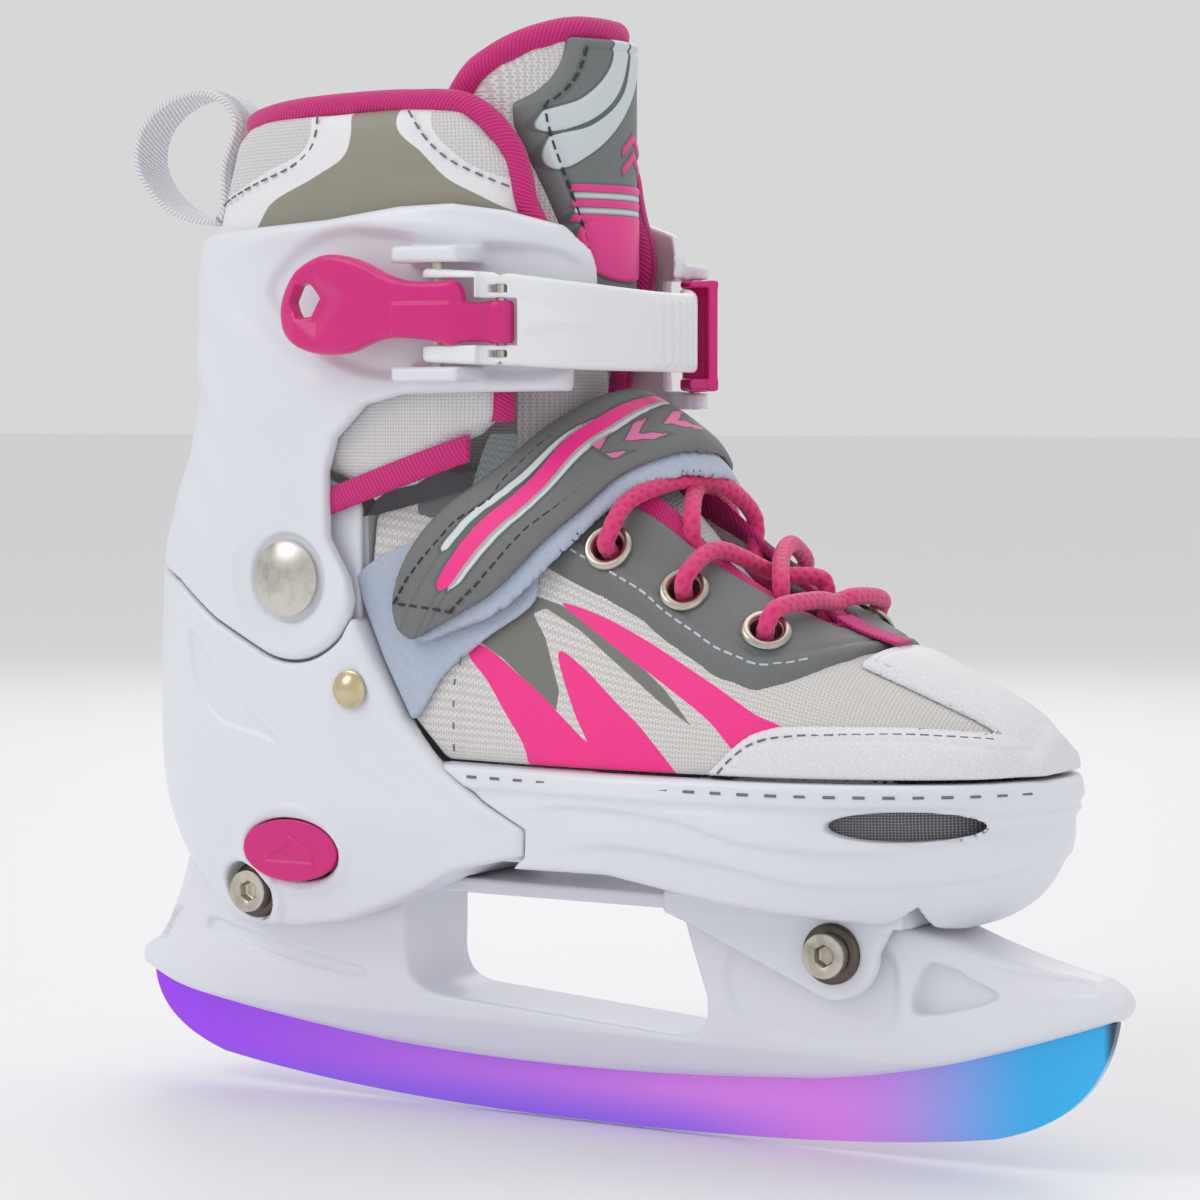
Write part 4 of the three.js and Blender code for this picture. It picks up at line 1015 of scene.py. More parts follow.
# ---------------------------------------------------------------- stitches
class Stitcher:
    """Rows of thread laid along lines by one Geometry Nodes group."""

    def __init__(self):
        self.group = self._group()

    def _group(self) -> bpy.types.NodeTree:
        tree = bpy.data.node_groups.new("Stitches", "GeometryNodeTree")
        face = tree.interface
        face.new_socket("Geometry", in_out="INPUT", socket_type="NodeSocketGeometry")
        for name, value in (("Spacing", 0.003), ("Length", 0.002), ("Radius", 0.0003)):
            face.new_socket(name, in_out="INPUT", socket_type="NodeSocketFloat").default_value = value
        face.new_socket("Seed", in_out="INPUT", socket_type="NodeSocketInt").default_value = SEED
        face.new_socket("Material", in_out="INPUT", socket_type="NodeSocketMaterial")
        face.new_socket("Geometry", in_out="OUTPUT", socket_type="NodeSocketGeometry")

        def add(kind: str, links: dict | None = None, **settings):
            made = tree.nodes.new(kind)
            for key, value in settings.items():
                setattr(made, key, value)
            for key, value in (links or {}).items():
                if isinstance(value, bpy.types.NodeSocket):
                    tree.links.new(value, made.inputs[key])
                else:
                    made.inputs[key].default_value = value
            return made
        source = add("NodeGroupInput").outputs
        curve = add("GeometryNodeMeshToCurve", {"Mesh": source["Geometry"]}).outputs[0]
        rows = add("GeometryNodeResampleCurve", {"Curve": curve, "Length": source["Spacing"]}, mode="LENGTH")
        tangent = add("GeometryNodeInputTangent").outputs[0]
        turn = add("FunctionNodeAlignRotationToVector", {"Vector": tangent}, axis="Z").outputs[0]
        thread = add("GeometryNodeMeshCylinder", {"Vertices": 8, "Radius": source["Radius"],
            "Depth": source["Length"]}).outputs["Mesh"]
        jitter = add("FunctionNodeRandomValue", {"Min": 0.92, "Max": 1.08, "Seed": source["Seed"]},
            data_type="FLOAT")
        random_out = [o for o in jitter.outputs if o.type == "VALUE" and o.enabled][0]
        placed = add("GeometryNodeInstanceOnPoints", {"Points": rows.outputs[0], "Instance": thread,
            "Rotation": turn, "Scale": random_out}).outputs[0]
        real = add("GeometryNodeRealizeInstances", {"Geometry": placed}).outputs[0]
        done = add("GeometryNodeSetMaterial", {"Geometry": real, "Material": source["Material"]}).outputs[0]
        add("NodeGroupOutput", {"Geometry": done})
        return tree

    def sew(self, name: str, lines: Sequence[Array], finish, spacing: float = 3.0, length: float = 2.0,
        radius: float = 0.32) -> bpy.types.Object:
        """A row of stitches along each line, as one plain mesh.

        Args:
            name: The object's name.
            lines: Polylines in millimetres.
            finish: The thread.
            spacing: From stitch to stitch in millimetres.
            length: Each stitch's length.
            radius: The thread's radius.

        Returns:
            The object.
        """
        points = np.concatenate(lines) * MM
        edges, start = [], 0
        for line in lines:
            edges += [(start + k, start + k + 1) for k in range(len(line) - 1)]
            start += len(line)
        mesh = bpy.data.meshes.new(name)
        mesh.from_pydata(points.tolist(), edges, [])
        obj = bpy.data.objects.new(name, mesh)
        bpy.context.scene.collection.objects.link(obj)
        mod = obj.modifiers.new("Stitches", "NODES")
        mod.node_group = self.group
        values = {"Spacing": spacing * MM, "Length": length * MM, "Radius": radius * MM, "Seed": SEED,
            "Material": SHOP.material(finish)}
        for item in self.group.interface.items_tree:
            if item.in_out == "INPUT" and item.name in values:
                mod[item.identifier] = values[item.name]
        ready = obj.evaluated_get(bpy.context.evaluated_depsgraph_get())
        plain = bpy.data.meshes.new_from_object(ready)
        obj.modifiers.clear()
        obj.data = plain
        plain.polygons.foreach_set("use_smooth", [True] * len(plain.polygons))
        plain.set_sharp_from_angle(angle=math.radians(50))
        LOG.info("%s: %d stitch faces", name, len(plain.polygons))
        return obj


SEWING = Stitcher()


# ---------------------------------------------------------------- the boot's own surfaces
class LevelForm:
    """A form whose plan is one outline, stretched at each height between a rear and a front.

    Args:
        half_plan: [along, half-width] pairs from the rear to the front.
        levels: Rows of [height, rear, front, width share].
        toe_lean: How far the plan leans toward the big toe at its front.
    """

    def __init__(self, half_plan: Pairs, levels: Sequence[Sequence[float]], toe_lean: float = 0.0):
        both = list(half_plan) + [(x, -w) for x, w in half_plan[-2:0:-1]]
        self.outline = Outline(both, smooth=True, step=1.0, margin=30)
        self.x0, self.x1 = half_plan[0][0], half_plan[-1][0]
        self.levels = Table(levels)
        self.toe_lean = toe_lean

    def distance(self, x: Array, y: Array, z: Array) -> Array:
        """Signed distance to the form's side wall."""
        rear, front, width = (self.levels(z, k) for k in range(3))
        along = (x - rear) / (front - rear)
        flat = (y - self.toe_lean * np.maximum(0, along - 0.6)) / width
        stretch = (front - rear) / (self.x1 - self.x0)
        return self.outline(self.x0 + along * (self.x1 - self.x0), flat) * np.minimum(width, stretch)

    def form(self) -> Form:
        """The full solid."""
        return Form(self.distance)


def toe_shift(x):
    """How far the foot's middle line leans toward the big toe."""
    return 18 * np.maximum(0, (np.asarray(x) + 124) / 244 - 0.6)


class VampForm:
    """The soft boot's surface, with a signed distance and a place round the foot for any point.

    The place u runs from 0 at the outer floor, over the crown at 3, to 6 at the inner floor.
    """

    STATIONS = (
        (-50, 26, 30.5, 25, 162, 180), (-20, 29, 35, 25, 157, 180), (0, 31, 37.5, 25, 149, 176),
        (10, 32, 38.1, 25, 144.5, 171), (20, 33, 38.7, 25.5, 139.5, 165), (28, 33.5, 39.1, 26, 135.5, 157.5),
        (38, 34, 39.6, 26.5, 130.7, 144.5), (45, 34, 39.8, 26.8, 127.6, 136.5),
        (58.5, 33.5, 39.6, 27, 121.4, 125.5), (70, 32, 38.4, 26.5, 115.5, 119.5),
        (82, 29.5, 35.5, 24, 110, 116), (95, 25, 30.5, 20.5, 104.5, 110.5),
        (107, 17.5, 22.5, 15, 100, 104.5), (116, 7, 10, 6.5, 95, 98))
    FLOOR = 76.0

    def __init__(self):
        self.table = Table(self.STATIONS)
        self.low = np.array([-62.0, -58.0, 62.0])
        self.step = np.array([3.0, 1.5, 1.5])
        counts = (np.array([127.0, 72.0, 196.0]) - self.low) / self.step
        self.counts = counts.astype(int) + 1
        ys = self.low[1] + self.step[1] * np.arange(self.counts[1])
        zs = self.low[2] + self.step[2] * np.arange(self.counts[2])
        gy, gz = np.meshgrid(ys, zs, indexing="ij")
        self.d = np.zeros(tuple(self.counts))
        self.u = np.zeros(tuple(self.counts))
        for i in range(self.counts[0]):
            x = self.low[0] + self.step[0] * i
            ring = self.section(min(x, 116.0))
            distance = outline_distance(gy, gz, ring)
            best = np.full(gy.shape, 1e9)
            for k, (a, b) in enumerate(zip(ring[:-1], ring[1:])):
                e = b - a
                t = np.clip(((gy - a[0]) * e[0] + (gz - a[1]) * e[1]) / (e @ e + 1e-12), 0, 1)
                far = (gy - a[0] - e[0] * t) ** 2 + (gz - a[1] - e[1] * t) ** 2
                nearer = far < best
                best = np.where(nearer, far, best)
                self.u[i] = np.where(nearer, (k + t) * 6 / (len(ring) - 1), self.u[i])
            self.d[i] = np.where(x > 116, np.hypot(np.maximum(distance, 0), x - 116), distance)
            if x > 116:
                self.d[i] = np.maximum(self.d[i], x - 116)
        slopes = np.gradient(self.d, *self.step)
        steep = np.maximum(np.sqrt(sum(s ** 2 for s in slopes)), 1.0)
        self.d /= np.clip(steep, 1.0, 2.5)

    def knots(self, x: float) -> Array:
        """The section's control points at a station, as [y, z]."""
        floor, rim, eye, eye_z, crown = (float(self.table(np.array(x), k)) for k in range(5))
        s = float(toe_shift(x))
        half = [(floor, self.FLOOR), (rim, 93), (eye, eye_z)]
        return np.array([(s - w, z) for w, z in half] + [(s, crown)] + [(s + w, z) for w, z in half[::-1]])

    def section(self, x: float) -> Array:
        """The open section curve at a station, from u = 0 to 6."""
        return catmull(self.knots(x), per_span=14)

    def point(self, x: float, u: float, out: float = 0.0) -> Array:
        """A point on the surface, moved out along the section's normal."""
        ring = self.section(x)
        t = np.clip(u / 6, 0, 1) * (len(ring) - 1)
        i = int(min(t, len(ring) - 2))
        at = ring[i] + (ring[i + 1] - ring[i]) * (t - i)
        before, after = ring[max(i - 1, 0)], ring[min(i + 2, len(ring) - 1)]
        tangent = (after - before) / np.linalg.norm(after - before)
        return np.array([x, at[0] - tangent[1] * out, at[1] + tangent[0] * out])

    def normal(self, x: float, u: float) -> Array:
        """The outward normal, with the surface's slope along the foot."""
        along = self.point(x + 1, u) - self.point(x - 1, u)
        around = self.point(x, min(u + 0.05, 6)) - self.point(x, max(u - 0.05, 0))
        n = np.cross(along, around)
        return n / np.linalg.norm(n)

    def beside(self, x: float, sign: int, half: float, out: float = 0.0) -> Array:
        """The point that lies half out from the middle line on one side of the crown."""
        near, far = 1.0, 3.0
        for _ in range(20):
            u = (near + far) / 2
            if toe_shift(x) - self.point(x, u)[1] > half:
                near = u
            else:
                far = u
        return self.point(x, near if sign < 0 else 6 - near, out)

    def _read(self, table: Array, x: Array, y: Array, z: Array) -> Array:
        f = [np.clip((v - self.low[k]) / self.step[k], 0, self.counts[k] - 1.001)
            for k, v in enumerate((x, y, z))]
        f = np.broadcast_arrays(*f)
        i, j, k = (v.astype(int) for v in f)
        a, b, c = f[0] - i, f[1] - j, f[2] - k
        value = 0
        for di, wa in ((0, 1 - a), (1, a)):
            for dj, wb in ((0, 1 - b), (1, b)):
                for dk, wc in ((0, 1 - c), (1, c)):
                    value = value + table[i + di, j + dj, k + dk] * wa * wb * wc
        return value

    def distance(self, x: Array, y: Array, z: Array) -> Array:
        """Signed distance to the surface."""
        return self._read(self.d, x, y, z)

    def around(self, x: Array, y: Array, z: Array) -> Array:
        """The place round the foot, u."""
        return self._read(self.u, x, y, z)

    def form(self) -> Form:
        """The full solid."""
        return Form(self.distance)

    def band(self, low: float, high: float, height: FieldFn | None = None) -> Form:
        """The layer between two distances from the surface, its top raised by a height."""
        def at(x: Array, y: Array, z: Array) -> Array:
            d = self.distance(x, y, z)
            top = high + (0 if height is None else height(x, y, z))
            return np.maximum(d - top, low - d)
        return Form(at)


SHELL = LevelForm(
    [(-124, 0), (-121.5, 13), (-112, 26), (-94, 34), (-62, 37), (-25, 38), (10, 40.5), (45, 43.5), (70, 43),
    (92, 36.5), (108, 25), (117, 12), (120, 0)],
    [(44, -104, 92, 0.72), (50, -109, 98, 0.8), (56, -113, 104, 0.86), (62, -117, 112, 0.92),
    (70, -120.5, 117, 0.965), (80, -123, 119.5, 1), (90, -124, 120, 1), (105, -124, 119, 1),
    (125, -123, 117, 1.02), (150, -122, 116, 1.04)], 18)
CUFF = LevelForm(
    [(-124, 0), (-121.5, 13), (-112, 26), (-94, 34), (-62, 37), (-38, 38), (-20, 36.5), (-4, 32.5), (8, 27),
    (16, 15), (20, 0)],
    [(105, -124, 20, 1), (136, -122.5, 20, 1.03), (150, -118.5, 20, 1.04), (165, -113, 19, 1.04),
    (180, -110, 18, 1.05), (205, -110, 18, 1.05), (222, -107, 18, 1.05), (252, -99, 16, 1)])
VAMP = VampForm()
PIVOT = centre_mm("ankle_rivet_lateral")
STAY = centre_mm("stay_rivet_lateral")
BUTTON = centre_mm("push_button")
FRONT_BOLT = centre_mm("front_frame_bolt")
REAR_BOLT = centre_mm("rear_frame_bolt")
LEVER_PIN = centre_mm("lever_pin")
GATE_PIN = centre_mm("gate_pin")
CATCH_PIN = centre_mm("catch_pin")
THROAT_ROWS = ((-70, 19.4), (20, 19.4), (38, 18.6), (50, 16), (58.5, 12.5), (65, 7), (68, 0))
THROAT = Outline([(x, float(toe_shift(x)) - h) for x, h in THROAT_ROWS]
    + [(x, float(toe_shift(x)) + h) for x, h in THROAT_ROWS[-2::-1]])


def seam_line(shift: float) -> list[tuple[float, float]]:
    """The line where the heel shell laps over the toe shell, moved forward by shift."""
    rows = ((-54, 143), (-48.5, 128), (-41.5, 114), (-33, 100), (-21, 88.5), (-9.5, 81), (1.5, 75.5),
        (0.5, 69), (-9, 62), (-16, 50))
    return [(x + shift, z) for x, z in rows]


def lobe_edge(gap: float) -> list[tuple[float, float]]:
    """The edge where the cuff meets the heel shell: round the heel, then about the ankle pivot."""
    arc = [(PIVOT[0] + (20 + gap) * math.cos(a), PIVOT[2] + (20 + gap) * math.sin(a))
        for a in np.radians(-112 + np.arange(17) * 5.35)]
    return [(-130, 137 - gap), (-118, 136.4 - gap), (-104, 131.5 - gap), (-90, 122.5 - gap), *arc]


def drawn(points: Pairs) -> Outline:
    """A smooth closed outline through side-view points."""
    return Outline(points, smooth=True, step=0.4)


def on_skin(form: Form, line: Array, sign: int, start: float = 60.0) -> Array:
    """Side-view points put on a form's skin.

    Args:
        form: The solid.
        line: Rows of [x, z].
        sign: -1 for the outer side, 1 for the inner.
        start: How far out the search begins.

    Returns:
        Points in millimetres.
    """
    x, z = line[:, 0], line[:, 1]
    y = np.full(len(line), sign * start)
    for _ in range(60):
        d = form.at(x, y, z)
        y = y - sign * np.clip(d, -2, 3) * 0.8
    return np.stack([x, y, z], axis=1)


def inset_line(points: Pairs, step: float = 0.8) -> Array:
    """A smooth open side-view line, evenly sampled."""
    return even(catmull(points, per_span=10), step)


# ---------------------------------------------------------------- frame and blade
@dataclass
class BladeSet:
    """The blade, its holder, the chassis deck and the frame bolts.

    Attributes:
        half: Half the blade's thickness.
        lip: Half the holder's thickness at the blade.
    """

    half: float = 1.5
    lip: float = 5.5

    def outline(self) -> Array:
        """The blade's side outline."""
        spans = (((12, 0), (70, 0.6), (105, 6.4)), ((105, 6.4), (132, 13), (135, 36)),
            ((135, 36), (100, 31), (60, 24)), ((60, 24), (0, 19), (-60, 23.5)),
            ((-60, 23.5), (-105, 27), (-134.5, 33.5)), ((-134.5, 33.5), (-134.5, 30), (-134.5, 27)),
            ((-134.5, 27), (-133, 13.5), (-112, 7.2)), ((-112, 7.2), (-70, 0.3), (-12, 0)))
        t = np.linspace(0, 1, 28, endpoint=False)[:, None]
        out = []
        for a, b, c in spans:
            a, b, c = (np.array(p, dtype=float) for p in (a, b, c))
            out.append(a * (1 - t) ** 2 + 2 * b * t * (1 - t) + c * t * t)
        return np.concatenate(out)

    def blade(self) -> bpy.types.Object:
        """The blade as a bevelled plate."""
        ring = self.outline()
        bm = bmesh.new()
        verts = [bm.verts.new((x * MM, -self.half * MM, z * MM)) for x, z in ring]
        flat = bm.faces.new(verts)
        grown = bmesh.ops.extrude_face_region(bm, geom=[flat])
        moved = [v for v in grown["geom"] if isinstance(v, bmesh.types.BMVert)]
        bmesh.ops.translate(bm, verts=moved, vec=(0, 2 * self.half * MM, 0))
        bmesh.ops.recalc_face_normals(bm, faces=bm.faces)
        rims = [e for e in bm.edges if len(e.link_faces) == 2 and e.calc_face_angle(0) > 1.2]
        bmesh.ops.bevel(bm, geom=rims, offset=0.28 * MM, segments=3, profile=0.6, affect="EDGES")
        mesh = bpy.data.meshes.new("blade_steel")
        bm.to_mesh(mesh)
        bm.free()
        mesh.polygons.foreach_set("use_smooth", [True] * len(mesh.polygons))
        mesh.set_sharp_from_angle(angle=math.radians(35))
        mesh.materials.append(SHOP.material(Rainbow()))
        obj = bpy.data.objects.new("blade_steel", mesh)
        bpy.context.scene.collection.objects.link(obj)
        return obj

    def holder(self) -> Form:
        """The holder's form."""
        t = np.linspace(0, 1, 14, endpoint=False)[:, None]

        def curve(*spans) -> list:
            out = []
            for a, b, c in spans:
                a, b, c = (np.array(p, dtype=float) for p in (a, b, c))
                out += (a * (1 - t) ** 2 + 2 * b * t * (1 - t) + c * t * t).tolist()
            return out
        body = curve(((-134.5, 29), (-137, 34), (-131, 36)), ((-131, 36), (-122, 40), (-116, 59.7)))
        body += [(-116, 59.7), (-73, 59.7), (-73, 55.5), (88, 55.5)]
        body += curve(((92, 55), (112, 48), (132, 45.5)), ((132, 45.5), (141.5, 42), (137, 37)),
            ((137, 37), (90, 20), (60, 16.8)), ((60, 16.8), (0, 11), (-60, 15)),
            ((-60, 15), (-105, 20), (-134.5, 29)))
        window = [(-47, 70), (-47, 39)] + curve(((-47, 39), (-47, 30.5), (-37, 29.6)))
        window += [(-37, 29.6), (28, 25.4)] + curve(((28, 25.4), (38, 25), (37, 36))) + [(37, 36), (26, 70)]
        lip = self.lip
        front = Outline([(-lip, 9), (lip, 9), (lip + 0.5, 15), (12, 24), (15, 34), (16, 48), (16, 62),
            (-16, 62), (-16, 48), (-15, 34), (-12, 24), (-lip - 0.5, 15)], step=0.4)
        above = Outline([(141, -3.5), (141, 3.5), (120, 9), (95, 14), (78, 16.2), (-100, 16.2), (-122, 12),
            (-136, 7), (-136, -7), (-122, -12), (-100, -16.2), (78, -16.2), (95, -14),
            (120, -9)])
        section = Form(lambda x, y, z: front(y, z))
        made = side(Outline(body)).soft(3.2) & section.soft(3.2)
        made = made.soft(4.0) & plan(above).soft(4.0)
        pocket = drawn([(94.5, 48), (90.6, 42), (90.2, 36.6), (95, 36.2), (110, 41.2), (104, 44.6)])
        slot_rear = drawn([(-126, 36.6), (-119, 45.5), (-117, 45.6), (-121.5, 38)])
        groove = drawn([(-108, 41.6), (-100, 39.4), (-78, 34.6), (-60, 32.6), (-59.5, 34.2), (-78, 37.6),
            (-98, 42.4), (-107, 44)])
        well = drawn([(46, 50), (44, 34), (58, 27.5), (84, 31.5), (86.5, 40), (84, 50)])
        brow = drawn([(100, 50), (112, 47), (131, 44.4), (131, 42.6), (112, 44.4), (99, 46.8)])
        made = made.raised(total(panel(slot_rear, -1.2), panel(groove, -1.3), panel(well, -1.1, 1.4),
            panel(brow, -0.8)))
        made = made.soft(1.6) - across(Outline(window), -40, 40).soft(3.0)
        made = made - (side(pocket) & where(lambda x, y, z: 9.0 - np.abs(y))).soft(1.2)
        blade_slot = across(Outline(self.outline()), -1.8, 1.8).grown(0.05)
        for bolt in (FRONT_BOLT, REAR_BOLT):
            made = made.soft(0.6) - rod(bolt[0], bolt[2], 4.6)
        return made.soft(0.5) - blade_slot.soft(0.5)

    def deck(self) -> Form:
        """The chassis deck with its two ears."""
        ear = [(29, 56), (29, 61), (90, 61), (84, 50)]
        ear += [(FRONT_BOLT[0] + 11 * math.cos(a), FRONT_BOLT[2] + 11 * math.sin(a))
            for a in np.linspace(0, -math.pi * 0.7, 16)]
        ears = across(Outline(ear), -20, 20) - block((-200, -16.4, -200), (200, 16.4, 56.2))
        rail = block((-72, -15.5, 56), (90, 15.5, 59.5)) | block((29, -20, 56), (90, 20, 61))
        rail = rail - block((-60, -9, 50), (20, 9, 57.4))
        return (rail.soft(0.8) | ears) - rod(FRONT_BOLT[0], FRONT_BOLT[2], 4.6)

    def bolt(self, prefix: str, at: Array) -> None:
        """A socket-head screw and its washer."""
        low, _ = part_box(f"{prefix}_frame_bolt")
        face = low.y / MM
        wide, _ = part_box(f"{prefix}_frame_washer")
        hexagon = Form(lambda x, y, z: highest([
            np.abs((x - at[0]) * math.cos(a) + (z - at[2]) * math.sin(a)) - 2.2
            for a in (0, math.pi / 3, 2 * math.pi / 3)]))
        head = rod(at[0], at[2], 5.2, face, face + 3.2).soft(1.2)
        dish = where(lambda x, y, z: np.sqrt(
            (x - at[0]) ** 2 + (y - face + 5) ** 2 + (z - at[2]) ** 2) - 6.0)
        made = (head - dish).soft(0.3) | rod(at[0], at[2], 3.0, face + 3, face + 22)
        made = made.soft(0.3) - (hexagon & rod(at[0], at[2], 9, face - 3, face + 2.8))
        screw = SHOP.solid(f"{prefix}_screw", made, (at[0] - 7, face - 2, at[2] - 7),
            (at[0] + 7, face + 24, at[2] + 7), 0.3, NICKEL)
        SHOP.place(screw, "chassis", [f"{prefix}_frame_bolt"], "steel")
        y = wide.y / MM
        profile = [(3.3, 1.8), (3.3, 0.5), (3.7, 0.1), (6.2, 0), (6.9, 0.4), (7.1, 0.9), (7.1, 1.8)]
        washer = SHOP.lathe(f"{prefix}_washer", profile, np.array([at[0], y, at[2]]), (0, 1, 0), DARK)
        SHOP.place(washer, "chassis", [f"{prefix}_frame_washer"], "dark_steel")

    def dress(self) -> None:
        """Builds and places the set."""
        SHOP.place(self.blade(), "chassis", ["blade"], "blade_steel")
        holder = SHOP.solid("holder_moulding", self.holder(), (-140, -20, 6), (145, 20, 64), 0.75, WHITE)
        SHOP.place(holder, "chassis", ["blade_holder"], "white_plastic")
        deck = SHOP.solid("deck_rail", self.deck(), (-76, -24, 34), (94, 24, 66), 0.8, WHITE)
        SHOP.place(deck, "chassis", ["chassis_deck"], "white_plastic")
        for prefix, at in (("front", FRONT_BOLT), ("rear", REAR_BOLT)):
            self.bolt(prefix, at)
            SHOP.dress(f"{prefix}_frame_sleeve_nut", DARK)


# ---------------------------------------------------------------- hard shell
@dataclass
class HardShell:
    """The heel shell, toe shell, cuff and the rivets and button in them.

    Attributes:
        wall: The shells' thickness.
        lap: How far the parts of the boot behind the lap stand in.
    """

    wall: float = 3.2
    lap: float = 4.5

    def oval(self, cx: float, cz: float, a: float, b: float) -> Form:
        """An oval bar across the skate."""
        return Form(lambda x, y, z: (np.hypot((x - cx) / a, (z - cz) / b) - 1) * b)

    def heel(self) -> Form:
        """The heel shell."""
        edge = [(-46, 123), *seam_line(0)[2:-2], (-20, 64), (-31, 58.5), (-43, 53.5), (-57, 48.5), (-72, 46),
            (-90, 45.5), (-100, 48.5), (-112, 58), (-130, 70), *lobe_edge(0.7)]
        leaf = drawn([(-99, 119), (-92, 112), (-80, 101), (-70, 92.6), (-77, 94.6), (-88, 97), (-95, 103),
            (-98.6, 111)])
        seam = ridge(seam_line(-3.4)[1:-2], 0.9, 2.2)
        bow = ridge([(-49, 118), (-54, 104), (-52, 88), (-40, 76), (-22, 69)], 1.1, 5.0)
        back = ridge([(-112, 122), (-106, 104), (-103, 86), (-108, 68)], 0.8, 6.0)
        ring = lambda x, y, z: 0.9 * np.exp(-((np.hypot((x - BUTTON[0]) / 1.45, z - BUTTON[2]) - 10.4)
            / 1.3) ** 2) * (y < 0)
        boss = lambda x, y, z: 1.0 * smoothstep(11.5, 9.8, np.hypot(x - REAR_BOLT[0], z - REAR_BOLT[2]))
        outer = SHELL.form().raised(total(panel(leaf, -0.9, 0.8), seam, bow, back, ring, boss))
        body = outer.soft(1.6) & side(Outline(edge)).soft(1.6)
        flange = (SHELL.form().grown(-self.lap) & rod(PIVOT[0], PIVOT[2], 25.5)
            & block((-120, -33, 90), (-48, 33, 160)))
        inner = Form(lambda x, y, z: np.maximum(
            SHELL.distance(x, y, z) + self.wall + self.lap * smoothstep(92, 106, z), 65 - z))
        made = (body | flange).soft(0.8) - inner
        made = made.soft(1.2) - block((-118, -16.6, 30), (-20, 16.6, 60))
        made = made - where(lambda x, y, z: np.maximum(
            np.hypot(x - REAR_BOLT[0], z - REAR_BOLT[2]) - 7.7, 25.2 - np.abs(y)))
        made = made - rod(REAR_BOLT[0], REAR_BOLT[2], 4.6)
        made = made - rod(PIVOT[0], PIVOT[2], 4.3) - rod(STAY[0], STAY[2], 2.4)
        hole = self.oval(BUTTON[0], BUTTON[2], 14.2, 8.0) & block((-90, -60, 50), (-45, -20, 80))
        return made.soft(0.6) - hole

    def toe(self) -> Form:
        """The toe shell."""
        lapped = [p for p in seam_line(0.5) if 64 < p[1] < 90]
        edge = [(-21.6, 90), *lapped, (-3, 65.8), (24, 66.4), (38, 64), (52, 61.5), (75, 58.6), (90, 56.6),
            (99, 55), (109, 57.5), (140, 70), (140, 90)]
        rim = lambda x, y, z: 0.9 * smoothstep(84.2, 85.4, z) + 0.35 * np.exp(-((z - 83.4) / 0.7) ** 2) * -1
        brow = self._flow(
            [(-6, 79), (20, 82.2), (42, 80.6), (62, 76), (84, 74.4), (112, 79.5), (124, 83)], 1.3)
        keel = self._flow([(6, 70), (28, 73.5), (52, 71), (80, 66.5), (106, 68), (122, 73)], 1.2)
        eye = lambda x, y, z: -0.7 * np.exp(-((np.hypot((x - 94) / 4.1, z - 80.5) - 4.2) / 0.9) ** 2)
        outer = SHELL.form().raised(total(rim, brow, keel, eye))
        body = outer.soft(1.8) & side(Outline(edge)).soft(1.8)
        sleeve = SHELL.form().grown(-3.7) & across(
            Outline([(-48, 67), (20, 67), (20, 90), (-48, 90)]), -60, 60)
        cavity = Form(lambda x, y, z: np.maximum(SHELL.distance(x, y, z) + 5.9, 70 - z))
        vent = self.oval(94, 80.5, 15.5, 3.4)
        made = (body | sleeve).soft(0.9) - cavity
        made = made - block((-60, -21.5, 30), (95, 21.5, 61.9))
        made = made.soft(0.7) - vent
        seat = Form(lambda x, y, z: np.maximum(SHELL.distance(x, y, z) + 4.3, self.oval(
            94, 80.5, 17.8, 5.7).at(x, y, z)))
        rack = block((-86, -29.3, 65.8), (-40, -24.8, 69.8))
        for k in range(6):
            rack = rack.soft(0.4) - post(-82 + k * 6, -24.4, 1.5, 60, 75)
        return (made - seat).soft(0.6) | rack

    def _flow(self, points: Pairs, height: float) -> FieldFn:
        """A step along a flowing line: proud just above it and eased away upward."""
        line = Table([(x, z) for x, z in points])
        first, last = points[0][0], points[-1][0]

        def at(x: Array, y: Array, z: Array) -> Array:
            over = z - line(x)
            shape = smoothstep(-0.9, 0.9, over) * smoothstep(9.0, 1.5, over)
            return height * shape * smoothstep(first, first + 26, x) * smoothstep(last + 6, last - 10, x)
        return at

    def cuff(self) -> Form:
        """The cuff shell."""
        edge = [*lobe_edge(0), (-47, 128), (-48, 133), (-54, 143), (-54.5, 159), (-52, 167), (-43, 175),
            (-32, 177.6), (7, 178.2), (7.5, 189), (10.6, 203.6), (9.8, 211), (5.8, 217), (-6, 220.5),
            (-19, 222.4), (-33, 222), (-54, 219.5), (-92.5, 217.4), (-130, 216)]
        eye = drawn([(-71, 203), (-64, 211), (-50, 216.5), (-34, 215.5), (-18, 212.6), (8, 209.6), (14, 196),
            (8, 183.6), (-20, 182.2), (-40, 182.4), (-56, 188), (-66, 195.5)])
        swoop = ridge([(-98, 205), (-80, 192), (-62, 180), (-46, 177)], 1.3, 4.5)
        fold_a = ridge([(-104, 196), (-92, 178), (-76, 158), (-60, 147)], 1.2, 4.5)
        fold_b = ridge([(-101, 170), (-92, 160), (-84, 150), (-80, 143)], 1.0, 3.6)
        fold_c = ridge([(-112, 158), (-100, 148), (-90, 140), (-86, 130)], 0.9, 4.0)
        brow = ridge([(-92, 212), (-66, 216), (-36, 217.6), (-10, 215), (4, 211)], 0.8, 2.6)
        disc = lambda x, y, z: -0.8 * smoothstep(11.6, 10.4, np.hypot(x - PIVOT[0], z - PIVOT[2]))
        lobe = lambda x, y, z: 0.7 * np.exp(
            -((np.hypot(x - PIVOT[0], z - PIVOT[2]) - 17.6) / 1.8) ** 2) * (z < 140)
        outer = CUFF.form().raised(total(panel(eye, -1.5, 1.6, -1), swoop, fold_a, fold_b, fold_c, brow,
            disc, lobe))
        wall = (outer.soft(1.8) & side(Outline(edge)).soft(1.8)).soft(1.2) - CUFF.form().grown(-3)
